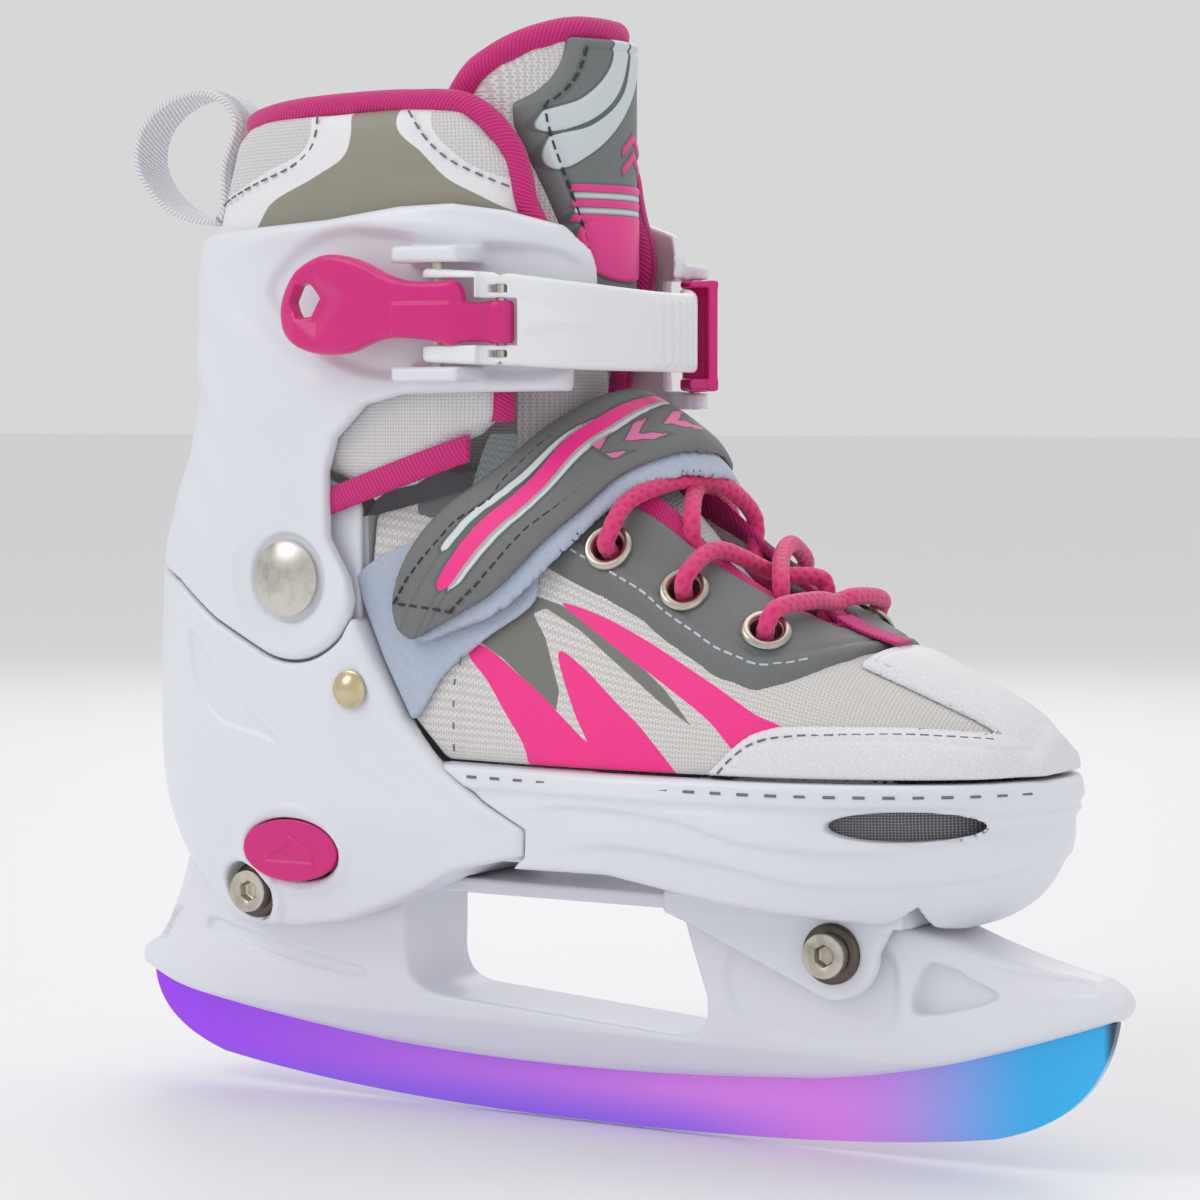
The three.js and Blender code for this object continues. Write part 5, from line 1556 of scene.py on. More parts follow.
        wall = wall - (block((-130, -17, 156), (-95, 17, 178)))
        wall = wall - block((2.5, 10, 178.3), (30, 50, 206))
        lugs = None
        for low, high in ((180.4, 183.8), (208.2, 212)):
            cheek = block((-29, GATE_PIN[1] - 4, low), (-11, -34, high)).soft(1.0)
            lugs = cheek if lugs is None else lugs | cheek
        for low, high in ((174.2, 178), (206.2, 209.4)):
            lugs = lugs | post(CATCH_PIN[0], CATCH_PIN[1], 3.4, low, high)
            lugs = lugs | block((-8, 27, low), (CATCH_PIN[0], 33.6, high))
        lugs = lugs | block((-8, 27, 174.2), (1.5, 33.6, 181)) | block((-8, 27, 178), (1.5, 33.6, 209.4))
        lugs = lugs.soft(0.5) - CUFF.form().grown(-2.5)
        made = (wall.soft(1.4) | lugs.soft(1.4)).soft(0.4)
        made = made - rod(PIVOT[0], PIVOT[2], 4.3)
        made = made - post(GATE_PIN[0], GATE_PIN[1], 1.45)
        return made - post(CATCH_PIN[0], CATCH_PIN[1], 1.45)

    def rivet(self, node: str, at: Array, radius: float, bore: float, sign: int, finish) -> None:
        """A domed rivet on one side."""
        low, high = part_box(node)
        outer = (low.y if sign < 0 else high.y) / MM
        cap = outer - sign * 2.4
        inner = (high.y if sign < 0 else low.y) / MM
        rise = (radius ** 2 + 2.4 ** 2) / 4.8
        angles = np.linspace(0, math.asin(radius / rise), 12)
        dome = [(rise * math.sin(a), 2.4 - rise * (1 - math.cos(a))) for a in angles[::-1]]
        depth = abs(cap - inner)
        clench = min(bore * 1.75, radius)
        profile = [(0, -depth), (clench, -depth), (clench, -depth + 1.1), (bore, -depth + 1.1), (bore, 0),
            (radius - 0.3, 0), (radius, 0.25), *dome[1:]]
        made = SHOP.lathe(node.replace("rivet", "stud"), profile, np.array([at[0], cap, at[2]]),
            (0, sign, 0), finish)
        SHOP.place(made, "chassis", [node], "steel")

    def button(self) -> None:
        """The oval push button, with a plain raised bar pattern."""
        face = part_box("push_button")[0].y / MM
        rise = lambda x, y, z: 0.45 * smoothstep(0.4, -0.4, np.abs(z - BUTTON[2] + 3.3) - 0.5) * smoothstep(
            7.4, 6.8, np.abs(x - BUTTON[0]))
        chevron = lambda x, y, z: 0.45 * smoothstep(0.45, -0.45, np.abs(
            np.abs(x - BUTTON[0]) * 0.6 + (z - BUTTON[2] - 2.6)) - 0.9) * smoothstep(
            7.4, 6.8, np.abs(x - BUTTON[0]))
        oval = self.oval(BUTTON[0], BUTTON[2], 13.8, 7.6)
        pill = Form(lambda x, y, z: np.maximum(oval.at(x, y, z), face + 0.6 - y - rise(x, y, z)
            - chevron(x, y, z)), 2.2)
        made = Form(pill.at, 2.4) & where(lambda x, y, z: y + 32.6).soft(2.4)
        made = made.soft(0.5) | block(
            (BUTTON[0] - 3, -32.7, BUTTON[2] + 5.2), (BUTTON[0] + 3, -21.8, BUTTON[2] + 8))
        made = made | block((BUTTON[0] - 3, -24.3, BUTTON[2] + 1.4), (BUTTON[0] + 3, -21.8, BUTTON[2] + 6.6))
        obj = SHOP.solid("release_button", made, (BUTTON[0] - 17, face - 3, BUTTON[2] - 11),
            (BUTTON[0] + 17, -19, BUTTON[2] + 11), 0.35, PINK)
        SHOP.place(obj, "button", ["push_button"], "pink_plastic")

    def vents(self) -> None:
        """The mesh behind each vent."""
        band = SHELL.form().grown(-4.5) - SHELL.form().grown(-5.5)
        for name, sign in (("lateral", -1), ("medial", 1)):
            made = band & self.oval(94, 80.5, 17.4, 5.3) & where(lambda x, y, z: 8 - sign * y)
            obj = SHOP.solid(f"vent_net_{name}", made, (72, -50, 72), (118, 58, 89), 0.6, MESH_GREY,
                {"warp": lambda x, y, z: x, "weft": lambda x, y, z: z})
            SHOP.place(obj, "toe_section", [f"vent_mesh_{name}"], "grey_mesh")

    def dress(self) -> None:
        """Builds and places the shells."""
        heel = SHOP.solid("heel_moulding", self.heel(), (-130, -44, 40), (8, 44, 162), 0.84, WHITE)
        SHOP.place(heel, "chassis", ["heel_shell"], "white_plastic")
        toe = SHOP.solid("toe_moulding", self.toe(), (-90, -50, 50), (128, 58, 94), 0.8, WHITE)
        SHOP.place(toe, "toe_section", ["toe_shell"], "white_plastic")
        cuff = SHOP.solid("cuff_moulding", self.cuff(), (-130, -52, 108), (26, 46, 226), 0.8, WHITE)
        SHOP.place(cuff, "cuff", ["cuff_shell"], "white_plastic")
        self.vents()
        self.button()
        for where_, sign in (("lateral", -1), ("medial", 1)):
            self.rivet(f"ankle_rivet_{where_}", PIVOT, 9.2, 4.1, sign, SATIN)
            self.rivet(f"stay_rivet_{where_}", STAY, 4.6, 2.2, sign, BRASS)
        for sign, name in ((-1, "lateral"), (1, "medial")):
            row = np.stack([np.linspace(-12, 116, 180), np.full(180, 87.4)], axis=1)
            line = on_skin(SHELL.form().grown(0.9), row, sign)
            thread = SEWING.sew(f"rim_stitch_{name}", [even(line, 0.8)], THREAD_GREY, 6.4, 2.6, 0.35)
            SHOP.place(thread, "toe_section")


# ---------------------------------------------------------------- soft boot
PINK_FLASHES = (
    ((-16, 116.5), (-13, 118.4), (0, 111), (9, 104.5), (21, 92.8), (15, 88), (4, 88), (1, 95.5), (-5, 103.5),
    (-10, 110)),
    ((9, 117.6), (16, 114), (26, 106.2), (34, 99.6), (43, 88), (20, 88), (19.4, 95.5), (14.6, 104)),
    ((8, 128.6), (18, 126.2), (29, 121.6), (41, 115.6), (51, 110.2), (60, 105), (68, 101), (60, 94.5),
    (49, 103.4), (38, 110.4), (26, 117.4), (15, 124)),
    ((-55, 131), (-50, 130), (-45, 126), (-44, 122.6)),
    )
GREY_FLASHES = (
    ((-14, 119.5), (-6, 115.4), (2, 109.4), (9.8, 103.4), (10.2, 108.5), (7.4, 115), (5, 120.6), (1, 126),
    (4, 127.4), (14, 122.4), (24, 115.6), (36, 107.4), (46, 101.2), (38, 109.4), (28, 117), (18, 123.4),
    (8, 128.2), (-2, 131)),
    )
EYESTAY_HALF = Table([(-34, 29), (-10, 29.5), (13, 30), (27, 31), (35, 32.6), (43, 34), (51, 35), (58, 35),
    (64, 33), (70, 28.5), (74, 21), (76, 11), (76.6, 0)])
CAP_TOP = Table([(48, 89.5), (51, 92), (57, 98), (61, 100.8), (67, 102.4), (74, 102.8), (90, 102.6),
    (104, 101.4), (117, 99)])
CAP_HALF = Table([(70, 21), (82, 19), (95, 16.5), (108, 14), (118, 12)])


def plane_under_collar(x: Array) -> Array:
    """The height of the line where the collar meets the boot."""
    return np.interp(x, [-140, -66, 14, 160], [128.5, 143.5, 163.5, 163.5])


class StrapPlan:
    """Where the instep strap lies: its edges along the foot for each place u round it."""

    def __init__(self, out: float = 0.0):
        rows = ((1.3, -46, -19), (1.4, -42, -16), (1.6, -35, -6), (1.8, -25, 2), (2, -14, 9), (2.4, -4, 18),
            (2.7, 4, 26), (3, 9.5, 31), (3.3, 10, 29.5), (3.6, 2, 20), (4, -12, 6), (4.3, -22, 2),
            (4.6, -38, -12), (4.7, -43, -17))
        self.edges = Table(rows)
        self.out = out

    def slant(self, u: Array, column: int) -> Array:
        """How much longer the x distance to an edge is than the true distance."""
        rate = (self.edges(u + 0.02, column) - self.edges(u - 0.02, column)) / 0.04
        return np.sqrt(1 + (rate / 24) ** 2)

    def reach(self, x: Array, u: Array) -> tuple[Array, Array, Array]:
        """Distances inside the rear edge, the front edge and the ends, in millimetres."""
        rear = (x - self.edges(u, 0)) / self.slant(u, 0)
        front = (self.edges(u, 1) - x) / self.slant(u, 1)
        ends = np.minimum(u - 1.4, 4.6 - u) * 24
        return rear, front, ends

    def share(self, x: Array, u: Array) -> Array:
        """The place across the strap, 0 at its rear edge and 1 at its front."""
        rear, front = self.edges(u, 0), self.edges(u, 1)
        return (x - rear) / (front - rear)

    def form(self, low: float, high: float, grow_front: float = 0.0, grow_rear: float = 0.0) -> Form:
        """The strap's layer between two distances from the boot, with rounded corners."""
        def outline(x: Array, y: Array, z: Array) -> Array:
            u = VAMP.around(x, y, z)
            rear, front, ends = self.reach(x, u)
            a, b, c = -(rear + grow_rear), -(front + grow_front), -ends
            h = np.maximum(9 - np.abs(np.maximum(a, b) - c), 0) / 9
            return np.maximum(np.maximum(a, b), c) + h * h * 9 * 0.25
        crown = lambda x, y, z: -0.5 * smoothstep(-2.4, 0.0, outline(x, y, z))
        return VAMP.band(low, high, crown).soft(1.0) & Form(outline, 1.0)


STRAP = StrapPlan()


def strap_mark(centre: Table, half: Table) -> FieldFn:
    """A stripe along the strap, as a stored distance."""
    def at(x: Array, y: Array, z: Array) -> Array:
        u = VAMP.around(x, y, z)
        return (np.abs(STRAP.share(x, u) - centre(u)) - half(u)) * 17.0
    return at


def chevrons(x: Array, y: Array, z: Array) -> Array:
    """Plain chevrons near the strap's crest, as a stored distance."""
    u = VAMP.around(x, y, z)
    t = STRAP.share(x, u) - 0.70
    wave = np.abs((u * 24 - np.abs(t) * 22) % 6.0 - 3.0) - 1.0
    box = np.maximum((np.abs(t) - 0.14) * 17, np.maximum(2.45 - u, u - 3.3) * 24)
    return np.maximum(wave, box)


@dataclass
class SoftBoot:
    """The laced soft boot: cloth upper, eyestay, toe cap, strap, tongue, eyelets and lace.

    Attributes:
        cloth: The upper's thickness.
        lace_radius: The lace's radius.
        eyelet_hole: The eyelets' hole radius.
    """

    cloth: float = 3.0
    lace_radius: float = 2.1
    eyelet_hole: float = 3.3
    eyelet_x: tuple[float, float, float] = (18.0, 38.0, 58.5)

    def wing(self, inside: float) -> Form:
        """The space that the heel shell's front edge takes."""
        area = Outline([(-80, 60), (-80, 160), (-56, 160), *seam_line(1.2)[:-2], (1, 60)])
        return Form(lambda x, y, z: np.maximum(-(SHELL.distance(x, y, z) + inside), area(x, z)))

    def below_collar(self) -> Form:
        """Everything under the collar."""
        return Form(lambda x, y, z: z - plane_under_collar(x))

    def upper(self) -> None:
        """The cloth upper with its printed flashes."""
        body = VAMP.form() & where(lambda x, y, z: -45.7 - x) & self.below_collar()
        rim = where(lambda x, y, z: np.maximum(z - 90.8, -(SHELL.distance(x, y, z) + 6.6)))
        made = body - rim - self.wing(8.4)
        made = made - VAMP.form().grown(-self.cloth) - plan(THROAT)
        for sign in (-1, 1):
            made = made - where(lambda x, y, z: np.maximum(
                np.hypot(x - STAY[0], z - STAY[2]) - 6, 28 - sign * y))
            for x in self.eyelet_x:
                made = made - self._bore(x, 2.0 if sign < 0 else 4.0)
        pink = [drawn(p) if len(p) > 5 else Outline(p, step=0.4) for p in PINK_FLASHES]
        grey = [Outline(p, step=0.4) for p in GREY_FLASHES]
        marks = {
            "warp": lambda x, y, z: x, "weft": lambda x, y, z: VAMP.around(x, y, z) * 24,
            "pink_flash": lambda x, y, z: lowest([f(x, z) for f in pink]),
            "grey_flash": lambda x, y, z: lowest([f(x, z) for f in grey])}
        obj = SHOP.solid("cloth_upper", made, (-50, -46, 70), (122, 58, 170), 1.0, VAMP_CLOTH, marks)
        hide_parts("soft_boot_vamp")
        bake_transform(obj)

    def _bore(self, x: float, u: float) -> Form:
        """The hole for an eyelet."""
        c, n = VAMP.point(x, u, 2.1), VAMP.normal(x, u)

        def at(px: Array, py: Array, pz: Array) -> Array:
            along = (px - c[0]) * n[0] + (py - c[1]) * n[1] + (pz - c[2]) * n[2]
            far = (px - c[0]) ** 2 + (py - c[1]) ** 2 + (pz - c[2]) ** 2
            return np.maximum(np.sqrt(np.maximum(far - along ** 2, 1e-9)) - 4.2, np.abs(along) - 9)
        return Form(at, 0.4)

    def _bored(self, made: Form) -> Form:
        for x in self.eyelet_x:
            made = made.soft(0.4) - self._bore(x, 2.0) - self._bore(x, 4.0)
        return made

    def eyestay(self) -> None:
        """The leatherette horseshoe round the throat, with its stitching and tape."""
        xs = np.linspace(-34, 76.6, 60)
        ring = [(x, float(toe_shift(x) - EYESTAY_HALF(x))) for x in xs]
        ring += [(x, float(toe_shift(x) + EYESTAY_HALF(x))) for x in xs[::-1][1:]]
        area = Outline(ring)
        swell = lambda x, y, z: (-0.3 * smoothstep(-1.6, 0, area(x, y)) - 0.4 * smoothstep(1.6, 0, THROAT(x, y))
            - 0.35 * np.exp(-((area(x, y) + 2.6) / 0.7) ** 2))
        made = VAMP.band(-0.6, 2.1, swell).soft(0.7) & plan(area).soft(0.7)
        made = made - plan(THROAT) - self.wing(8.4)
        made = self._bored(made & self.below_collar())
        obj = SHOP.solid("eyestay_leather", made, (-38, -46, 86), (82, 58, 182), 0.6, GREY_LEATHER)
        SHOP.place(obj, "toe_section", ["eyestay"], "grey_leather")
        tape = VAMP.band(-1.4, 0.7) & where(
            lambda x, y, z: np.maximum(THROAT(x, y) - 0.4, -THROAT(x, y) - 5.0))
        tape = tape & where(lambda x, y, z: np.maximum(x - 64, 4 - x)) - plan(
            Outline([(-80, -4), (52, -2), (60, 3), (52, 7), (-80, 4)]))
        marks = {"warp": lambda x, y, z: x + z, "weft": lambda x, y, z: y * 1.4 - z}
        obj = SHOP.solid("throat_tape", tape, (-4, -32, 100), (76, 36, 180), 0.7, WEB_PINK, marks)
        SHOP.place(obj, "toe_section")
        tab = VAMP.band(2.2, 3.3) & where(lambda x, y, z: np.maximum(
            np.abs(y - toe_shift(x)) - 4.6, np.abs(x - 72) - 8.0))
        obj = SHOP.solid("toe_tab", tab, (60, -8, 100), (84, 18, 140), 0.5, WEB_PINK, marks)
        SHOP.place(obj, "toe_section")
        lines = []
        for sign in (-1, 1):
            rows = [VAMP.beside(x, sign, float(EYESTAY_HALF(x)) - 2.6, 1.9) for x in np.linspace(-4, 68, 60)]
            lines.append(even(np.array(rows), 0.8))
        SHOP.place(SEWING.sew("eyestay_stitch", lines, THREAD_PALE, 3.0, 2.0, 0.3), "toe_section")

    def toe_cap(self) -> None:
        """The leather toe cap: a low band round the toe and a panel over the toes."""
        def area(x: Array, y: Array, z: Array) -> Array:
            band = np.maximum(z - CAP_TOP(x), 48 - x)
            middle = np.maximum(np.abs(y - toe_shift(x)) - CAP_HALF(x), 77.6 - x)
            return np.minimum(band, middle)
        swell = lambda x, y, z: (-0.8 * smoothstep(-2.2, 0, area(x, y, z))
            - 0.3 * np.exp(-((area(x, y, z) + 2.8) / 0.6) ** 2))
        made = VAMP.band(0.2, 2.2, swell) & where(area)
        made = made & where(lambda x, y, z: 91.0 - z)
        obj = SHOP.solid("toe_leather", made, (44, -48, 86), (124, 58, 124), 0.7, WHITE_LEATHER)
        SHOP.place(obj, "toe_section", ["toe_cap"], "white_leather")
        rows = []
        for sign in (-1, 1):
            line = np.array([self.at_height(x, float(CAP_TOP(x)) - 2.8, sign, 2.0)
                for x in np.linspace(54, 108, 60)])
            rows.append(even(line, 0.8))
            edge = np.array([VAMP.beside(x, sign, float(CAP_HALF(x)) - 2.8, 2.0)
                for x in np.linspace(80, 99, 24)])
            rows.append(even(edge, 0.8))
        SHOP.place(SEWING.sew("toe_stitch", rows, THREAD_GREY, 3.0, 1.9, 0.28), "toe_section")

    def at_height(self, x: float, z: float, sign: int, out: float) -> Array:
        """The point of the upper at a height, on one side."""
        low, high = 0.2, 3.0
        for _ in range(20):
            u = (low + high) / 2
            if VAMP.point(x, u if sign < 0 else 6 - u)[2] < z:
                low = u
            else:
                high = u
        return VAMP.point(x, low if sign < 0 else 6 - low, out)

    def strap(self) -> None:
        """The instep strap, its felt lining, base tab and stitching."""
        made = STRAP.form(5.5, 7.6) - self.wing(9.2)
        bands = {
            "pink_band": strap_mark(Table([(1.58, 0.54), (2.0, 0.50), (2.5, 0.40), (3.0, 0.30),
            (3.4, 0.22)]),
            Table([(1.56, -0.02), (1.6, 0.07), (2.0, 0.085), (2.6, 0.08),
            (3.1, 0.045), (3.4, -0.02)])),
            "pale_band": self._pale_band(),
            "chevrons": chevrons}
        obj = SHOP.solid("strap_leather", made, (-52, -54, 98), (40, 54, 192), 0.7, STRAP_LEATHER, bands)
        SHOP.place(obj, "toe_section", ["instep_strap"], "grey_leather")
        felt = STRAP.form(3.7, 5.3, 2.4, -0.6) - self.wing(9.2)
        obj = SHOP.solid("strap_felt", felt, (-52, -54, 98), (44, 54, 192), 0.8, FELT_BLUE)
        SHOP.place(obj, "toe_section")
        tab = drawn([(-52, 130), (-45, 114), (-37, 101), (-31, 100), (-22, 111), (-11, 119.5), (2, 130),
            (-4, 140), (-34, 142)])
        base = VAMP.band(0.3, 1.9) & side(tab) - self.wing(8.6)
        base = base & where(lambda x, y, z: y + 5)
        obj = SHOP.solid("strap_base", base, (-54, -48, 94), (6, 0, 146), 0.7, FELT_BLUE)
        SHOP.place(obj, "toe_section")
        lines = []
        for column, sign in ((0, 1), (1, -1)):
            us = np.linspace(1.52, 4.48, 110)
            rows = [VAMP.point(float(STRAP.edges(u, column) + sign * 2.7 * STRAP.slant(u, column)), u, 7.55)
                for u in us]
            lines.append(even(np.array(rows), 0.8))
        for u in (1.51, 4.49):
            a, b = float(STRAP.edges(u, 0)) + 7, float(STRAP.edges(u, 1)) - 7
            lines.append(np.array([VAMP.point(x, u, 7.55) for x in np.linspace(a, b, 20)]))
        SHOP.place(SEWING.sew("strap_stitch", lines, THREAD_DARK, 2.9, 1.9, 0.3), "toe_section")
        edge = [VAMP.point(float(STRAP.edges(u, 1)) + 0.5, u, 1.95)
            for u in np.linspace(1.02, 1.36, 8)]
        SHOP.place(SEWING.sew("tab_stitch", [even(np.array(edge), 0.8)], THREAD_GREY, 4.2, 1.6, 0.26),
            "toe_section")

    def _pale_band(self) -> FieldFn:
        """The pale stripe beside the pink one, and a short one behind it."""
        long_one = strap_mark(
            Table([(1.58, 0.62), (2.0, 0.55), (2.5, 0.45), (3.0, 0.33), (3.4, 0.24)]),
            Table([(1.56, -0.02), (1.62, 0.06), (2.0, 0.10), (2.6, 0.115), (3.1, 0.07), (3.4, -0.02)]))
        short_one = strap_mark(Table([(1.7, 0.34), (2.1, 0.32), (2.4, 0.30)]),
            Table([(1.68, -0.02), (1.71, 0.035), (2.1, 0.035), (2.5, 0.02), (2.7, -0.02)]))
        return lambda x, y, z: np.minimum(long_one(x, y, z), short_one(x, y, z))

    def tongue(self) -> None:
        """The mesh tongue under the laces, and its neck up to the padded part."""
        puff = lambda x, y, z: 2.4 * smoothstep(20, 6, np.abs(y - toe_shift(x)))
        made = VAMP.band(-13.4, -10.0, puff) & where(lambda x, y, z: highest([
            np.abs(y - toe_shift(x)) - 19, x - 71, -27 - x,
            z - 168]))
        marks = {"warp": lambda x, y, z: x - z * 0.4, "weft": lambda x, y, z: y}
        obj = SHOP.solid("tongue_mesh", made, (-30, -26, 90), (76, 32, 172), 0.9, LINING, marks)
        SHOP.place(obj, "toe_section", ["tongue_lower"], "white_fabric")

        def neck(x: Array, y: Array, z: Array) -> Array:
            oval = (np.hypot((x + 33) / 30.5, y / 18.5) - 1) * 18.5
            return highest([np.abs(oval) - 1.6, -14 - x, 154 - z,
                z - 188])
        marks = {"warp": lambda x, y, z: y, "weft": lambda x, y, z: z}
        obj = SHOP.solid("tongue_neck", Form(neck), (-18, -24, 150), (2, 24, 192), 0.8, COLLAR_CLOTH, {
            **marks, "white_panel": lambda x, y, z: 9.0 + 0 * x, "taupe_panel": lambda x, y, z: 9.0 + 0 * x})
        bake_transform(obj)

    def eyelet(self, i: int, sign: int) -> None:
        """One rolled metal eyelet."""
        u = 2.0 if sign < 0 else 4.0
        x = self.eyelet_x[i]
        hole = self.eyelet_hole
        roll = [(4.75 + 1.15 * math.cos(a), 0.45 + 1.0 * math.sin(a)) for a in np.linspace(0, math.pi, 10)]
        profile = [(4.0, -4.6), (4.0, 0.15), (5.7, 0.2), *roll, (hole + 0.1, -0.2), (hole, -1.0),
            (hole, -4.6)]
        place = f"{'lateral' if sign < 0 else 'medial'}_{i + 1}"
        obj = SHOP.lathe(f"eyelet_ring_{place}", profile,
            VAMP.point(x, u, 2.1), VAMP.normal(x, u), NICKEL)
        SHOP.place(obj, "toe_section", [f"eyelet_{place}"], "dark_steel")

    def _through(self, i: int, sign: int) -> list[Array]:
        x, u = self.eyelet_x[i], 2.0 if sign < 0 else 4.0
        c, n = VAMP.point(x, u, 2.1), VAMP.normal(x, u)
        half = abs(c[1] - float(toe_shift(x)))
        return [c - n * 7.6, c - n * 3.5, c + n * 2.4, VAMP.beside(x + 2, sign, half - 2.8, 7.2),
            VAMP.beside(x + 3.6, sign, float(np.interp(x + 3, *zip(*THROAT_ROWS))) - 0.5, 6.2)]

    def _under(self, i: int, sign: int) -> list[Array]:
        x, u = self.eyelet_x[i], 2.0 if sign < 0 else 4.0
        edge = lambda at: float(np.interp(at, *zip(*THROAT_ROWS)))
        eye = abs(VAMP.point(x, u)[1] - float(toe_shift(x)))
        by = lambda at, dz: VAMP.beside(at, sign, edge(at) - self.lace_radius - 0.9) + [0, 0, dz]
        return [by(x - 4.5, 4.6), by(x - 4, -1.5), VAMP.beside(x - 3, sign, edge(x - 3) - 1.4, -6.3),
            VAMP.beside(x - 2.5, sign, (edge(x) + eye) / 2, -7),
            VAMP.beside(x - 1.6, sign, eye - 2.2, -8.2)]

    def lace(self) -> None:
        """The whole braided lace, along the same route as the CAD lace."""
        over = lambda x, y, h: VAMP.point(x, 3, h) + [0, y, 0]
        out, back = -1, 1
        route = [over(8.5, -5, -2.4), over(12, -11, -4), *self._under(0, out), *self._through(0, out),
            over(30, 0, 2), *self._under(1, back), *self._through(1, back), over(48, 1, 5.2),
            *self._under(2, out), *self._through(2, out), over(61, 3, 4.6),
            *self._through(2, back)[::-1], *self._under(2, back)[::-1], over(47, 1, 0.4),
            *self._through(1, out)[::-1], *self._under(1, out)[::-1], over(27, 0, -3.2),
            *self._through(0, back)[::-1], *self._under(0, back)[::-1], over(12, 11, -4),
            over(8.5, 5, -2.4)]
        path = even(catmull(np.array(route), per_span=14), 0.55)
        radius = self.lace_radius
        braid = lambda s, a: 1 + 0.07 * np.maximum(np.sin(4 * a + s * 2.1), np.sin(4 * a - s * 2.1))
        section = lambda a: np.stack([radius * 0.95 * np.cos(a), radius * 0.95 * np.sin(a)], axis=1)
        obj = SHOP.sweep("braided_lace", path, section, 26, Braid(), relief=braid)
        LOG.info("lace route %.0f mm", float(np.linalg.norm(np.diff(path, axis=0), axis=1).sum()))
        SHOP.place(obj, "toe_section", ["lace"], "pink_cord")

    def dress(self) -> None:
        """Builds and places the soft boot."""
        self.upper()
        self.eyestay()
        self.toe_cap()
        self.strap()
        self.tongue()
        for i in range(3):
            for sign in (-1, 1):
                self.eyelet(i, sign)
        self.lace()
        SHOP.dress("soft_boot_heel", Plastic("lining_foam", (178, 178, 182), 0.9, 0.0))


# ---------------------------------------------------------------- collar and upper tongue
def padded_by_cloth(obj: bpy.types.Object, hold: Callable[[Array], Array], voxel: float = 4.5,
    pressure: float = 4.0, cap: float = 2.2) -> None:
    """Swells a piece as stuffed cloth: remeshed, blown up by a short simulation, capped and subdivided.

    Args:
        obj: The piece, changed in place.
        hold: For points in millimetres, how firmly each is held, 0 free to 1 fixed.
        voxel: The remesh size in millimetres.
        pressure: The cloth's inner pressure.
        cap: How far a point may move, in millimetres.
    """
    mod = obj.modifiers.new("Remesh", "REMESH")
    mod.mode, mod.voxel_size, mod.use_smooth_shade = "VOXEL", voxel * MM, True
    graph = bpy.context.evaluated_depsgraph_get()
    mesh = bpy.data.meshes.new_from_object(obj.evaluated_get(graph))
    obj.modifiers.clear()
    materials = list(obj.data.materials)
    obj.data = mesh
    mesh.materials.clear()
    for material in materials:
        mesh.materials.append(material)
    rest = np.empty(len(mesh.vertices) * 3)
    mesh.vertices.foreach_get("co", rest)
    rest = rest.reshape(-1, 3)
    firm = np.clip(hold(rest / MM), 0, 1)
    pins = obj.vertex_groups.new(name="hold")
    for level in np.unique(np.round(firm, 1)):
        chosen = np.flatnonzero(np.round(firm, 1) == level).tolist()
        pins.add(chosen, float(level), "REPLACE")
    cloth = obj.modifiers.new("Cloth", "CLOTH")
    cloth.settings.use_pressure = True
    cloth.settings.uniform_pressure_force = pressure
    cloth.settings.effector_weights.gravity = 0
    cloth.settings.vertex_group_mass = "hold"
    cloth.settings.mass = CLOTH_MASS
    cloth.settings.tension_stiffness = cloth.settings.compression_stiffness = CLOTH_STIFFNESS
    cloth.settings.shear_stiffness = CLOTH_STIFFNESS
    cloth.settings.quality = 4
    scene = bpy.context.scene
    scene.frame_start, scene.frame_end = 1, 20
    for number in range(1, 21):
        scene.frame_set(number)
    done = np.empty(len(rest) * 3)
    swollen = bpy.data.meshes.new_from_object(obj.evaluated_get(bpy.context.evaluated_depsgraph_get()))
    swollen.vertices.foreach_get("co", done)
    move = done.reshape(-1, 3) - rest
    size = np.maximum(np.linalg.norm(move, axis=1), 1e-9)
    move *= (np.minimum(1, cap * MM / size) * (1 - firm))[:, None]
    obj.modifiers.clear()
    mesh.vertices.foreach_set("co", (rest + move).reshape(-1))
    mesh.update()
    scene.frame_set(1)
    subdivide = obj.modifiers.new("Subdivision", "SUBSURF")
    subdivide.levels = subdivide.render_levels = 2
    final = bpy.data.meshes.new_from_object(obj.evaluated_get(bpy.context.evaluated_depsgraph_get()))
    obj.modifiers.clear()
    obj.vertex_groups.clear()
    obj.data = final
    final.polygons.foreach_set("use_smooth", [True] * len(final.polygons))
    kept = np.linalg.norm(move, axis=1) / MM
    LOG.info("%s: padded, mean swell %.2f mm where free, most %.2f mm", obj.name,
        float(kept[firm < 0.05].mean()), float(kept.max()))


def store_marks(obj: bpy.types.Object, marks: dict[str, FieldFn]) -> None:
    """Stores numbers on a piece's points, worked out from their places."""
    mesh = obj.data
    points = np.empty(len(mesh.vertices) * 3)
    mesh.vertices.foreach_get("co", points)
    x, y, z = (points.reshape(-1, 3) / MM).T
    for key, at in marks.items():
        layer = mesh.attributes.get(key) or mesh.attributes.new(key, "FLOAT", "POINT")
        layer.data.foreach_set("value", np.broadcast_to(at(x, y, z), x.shape).astype(np.float32))


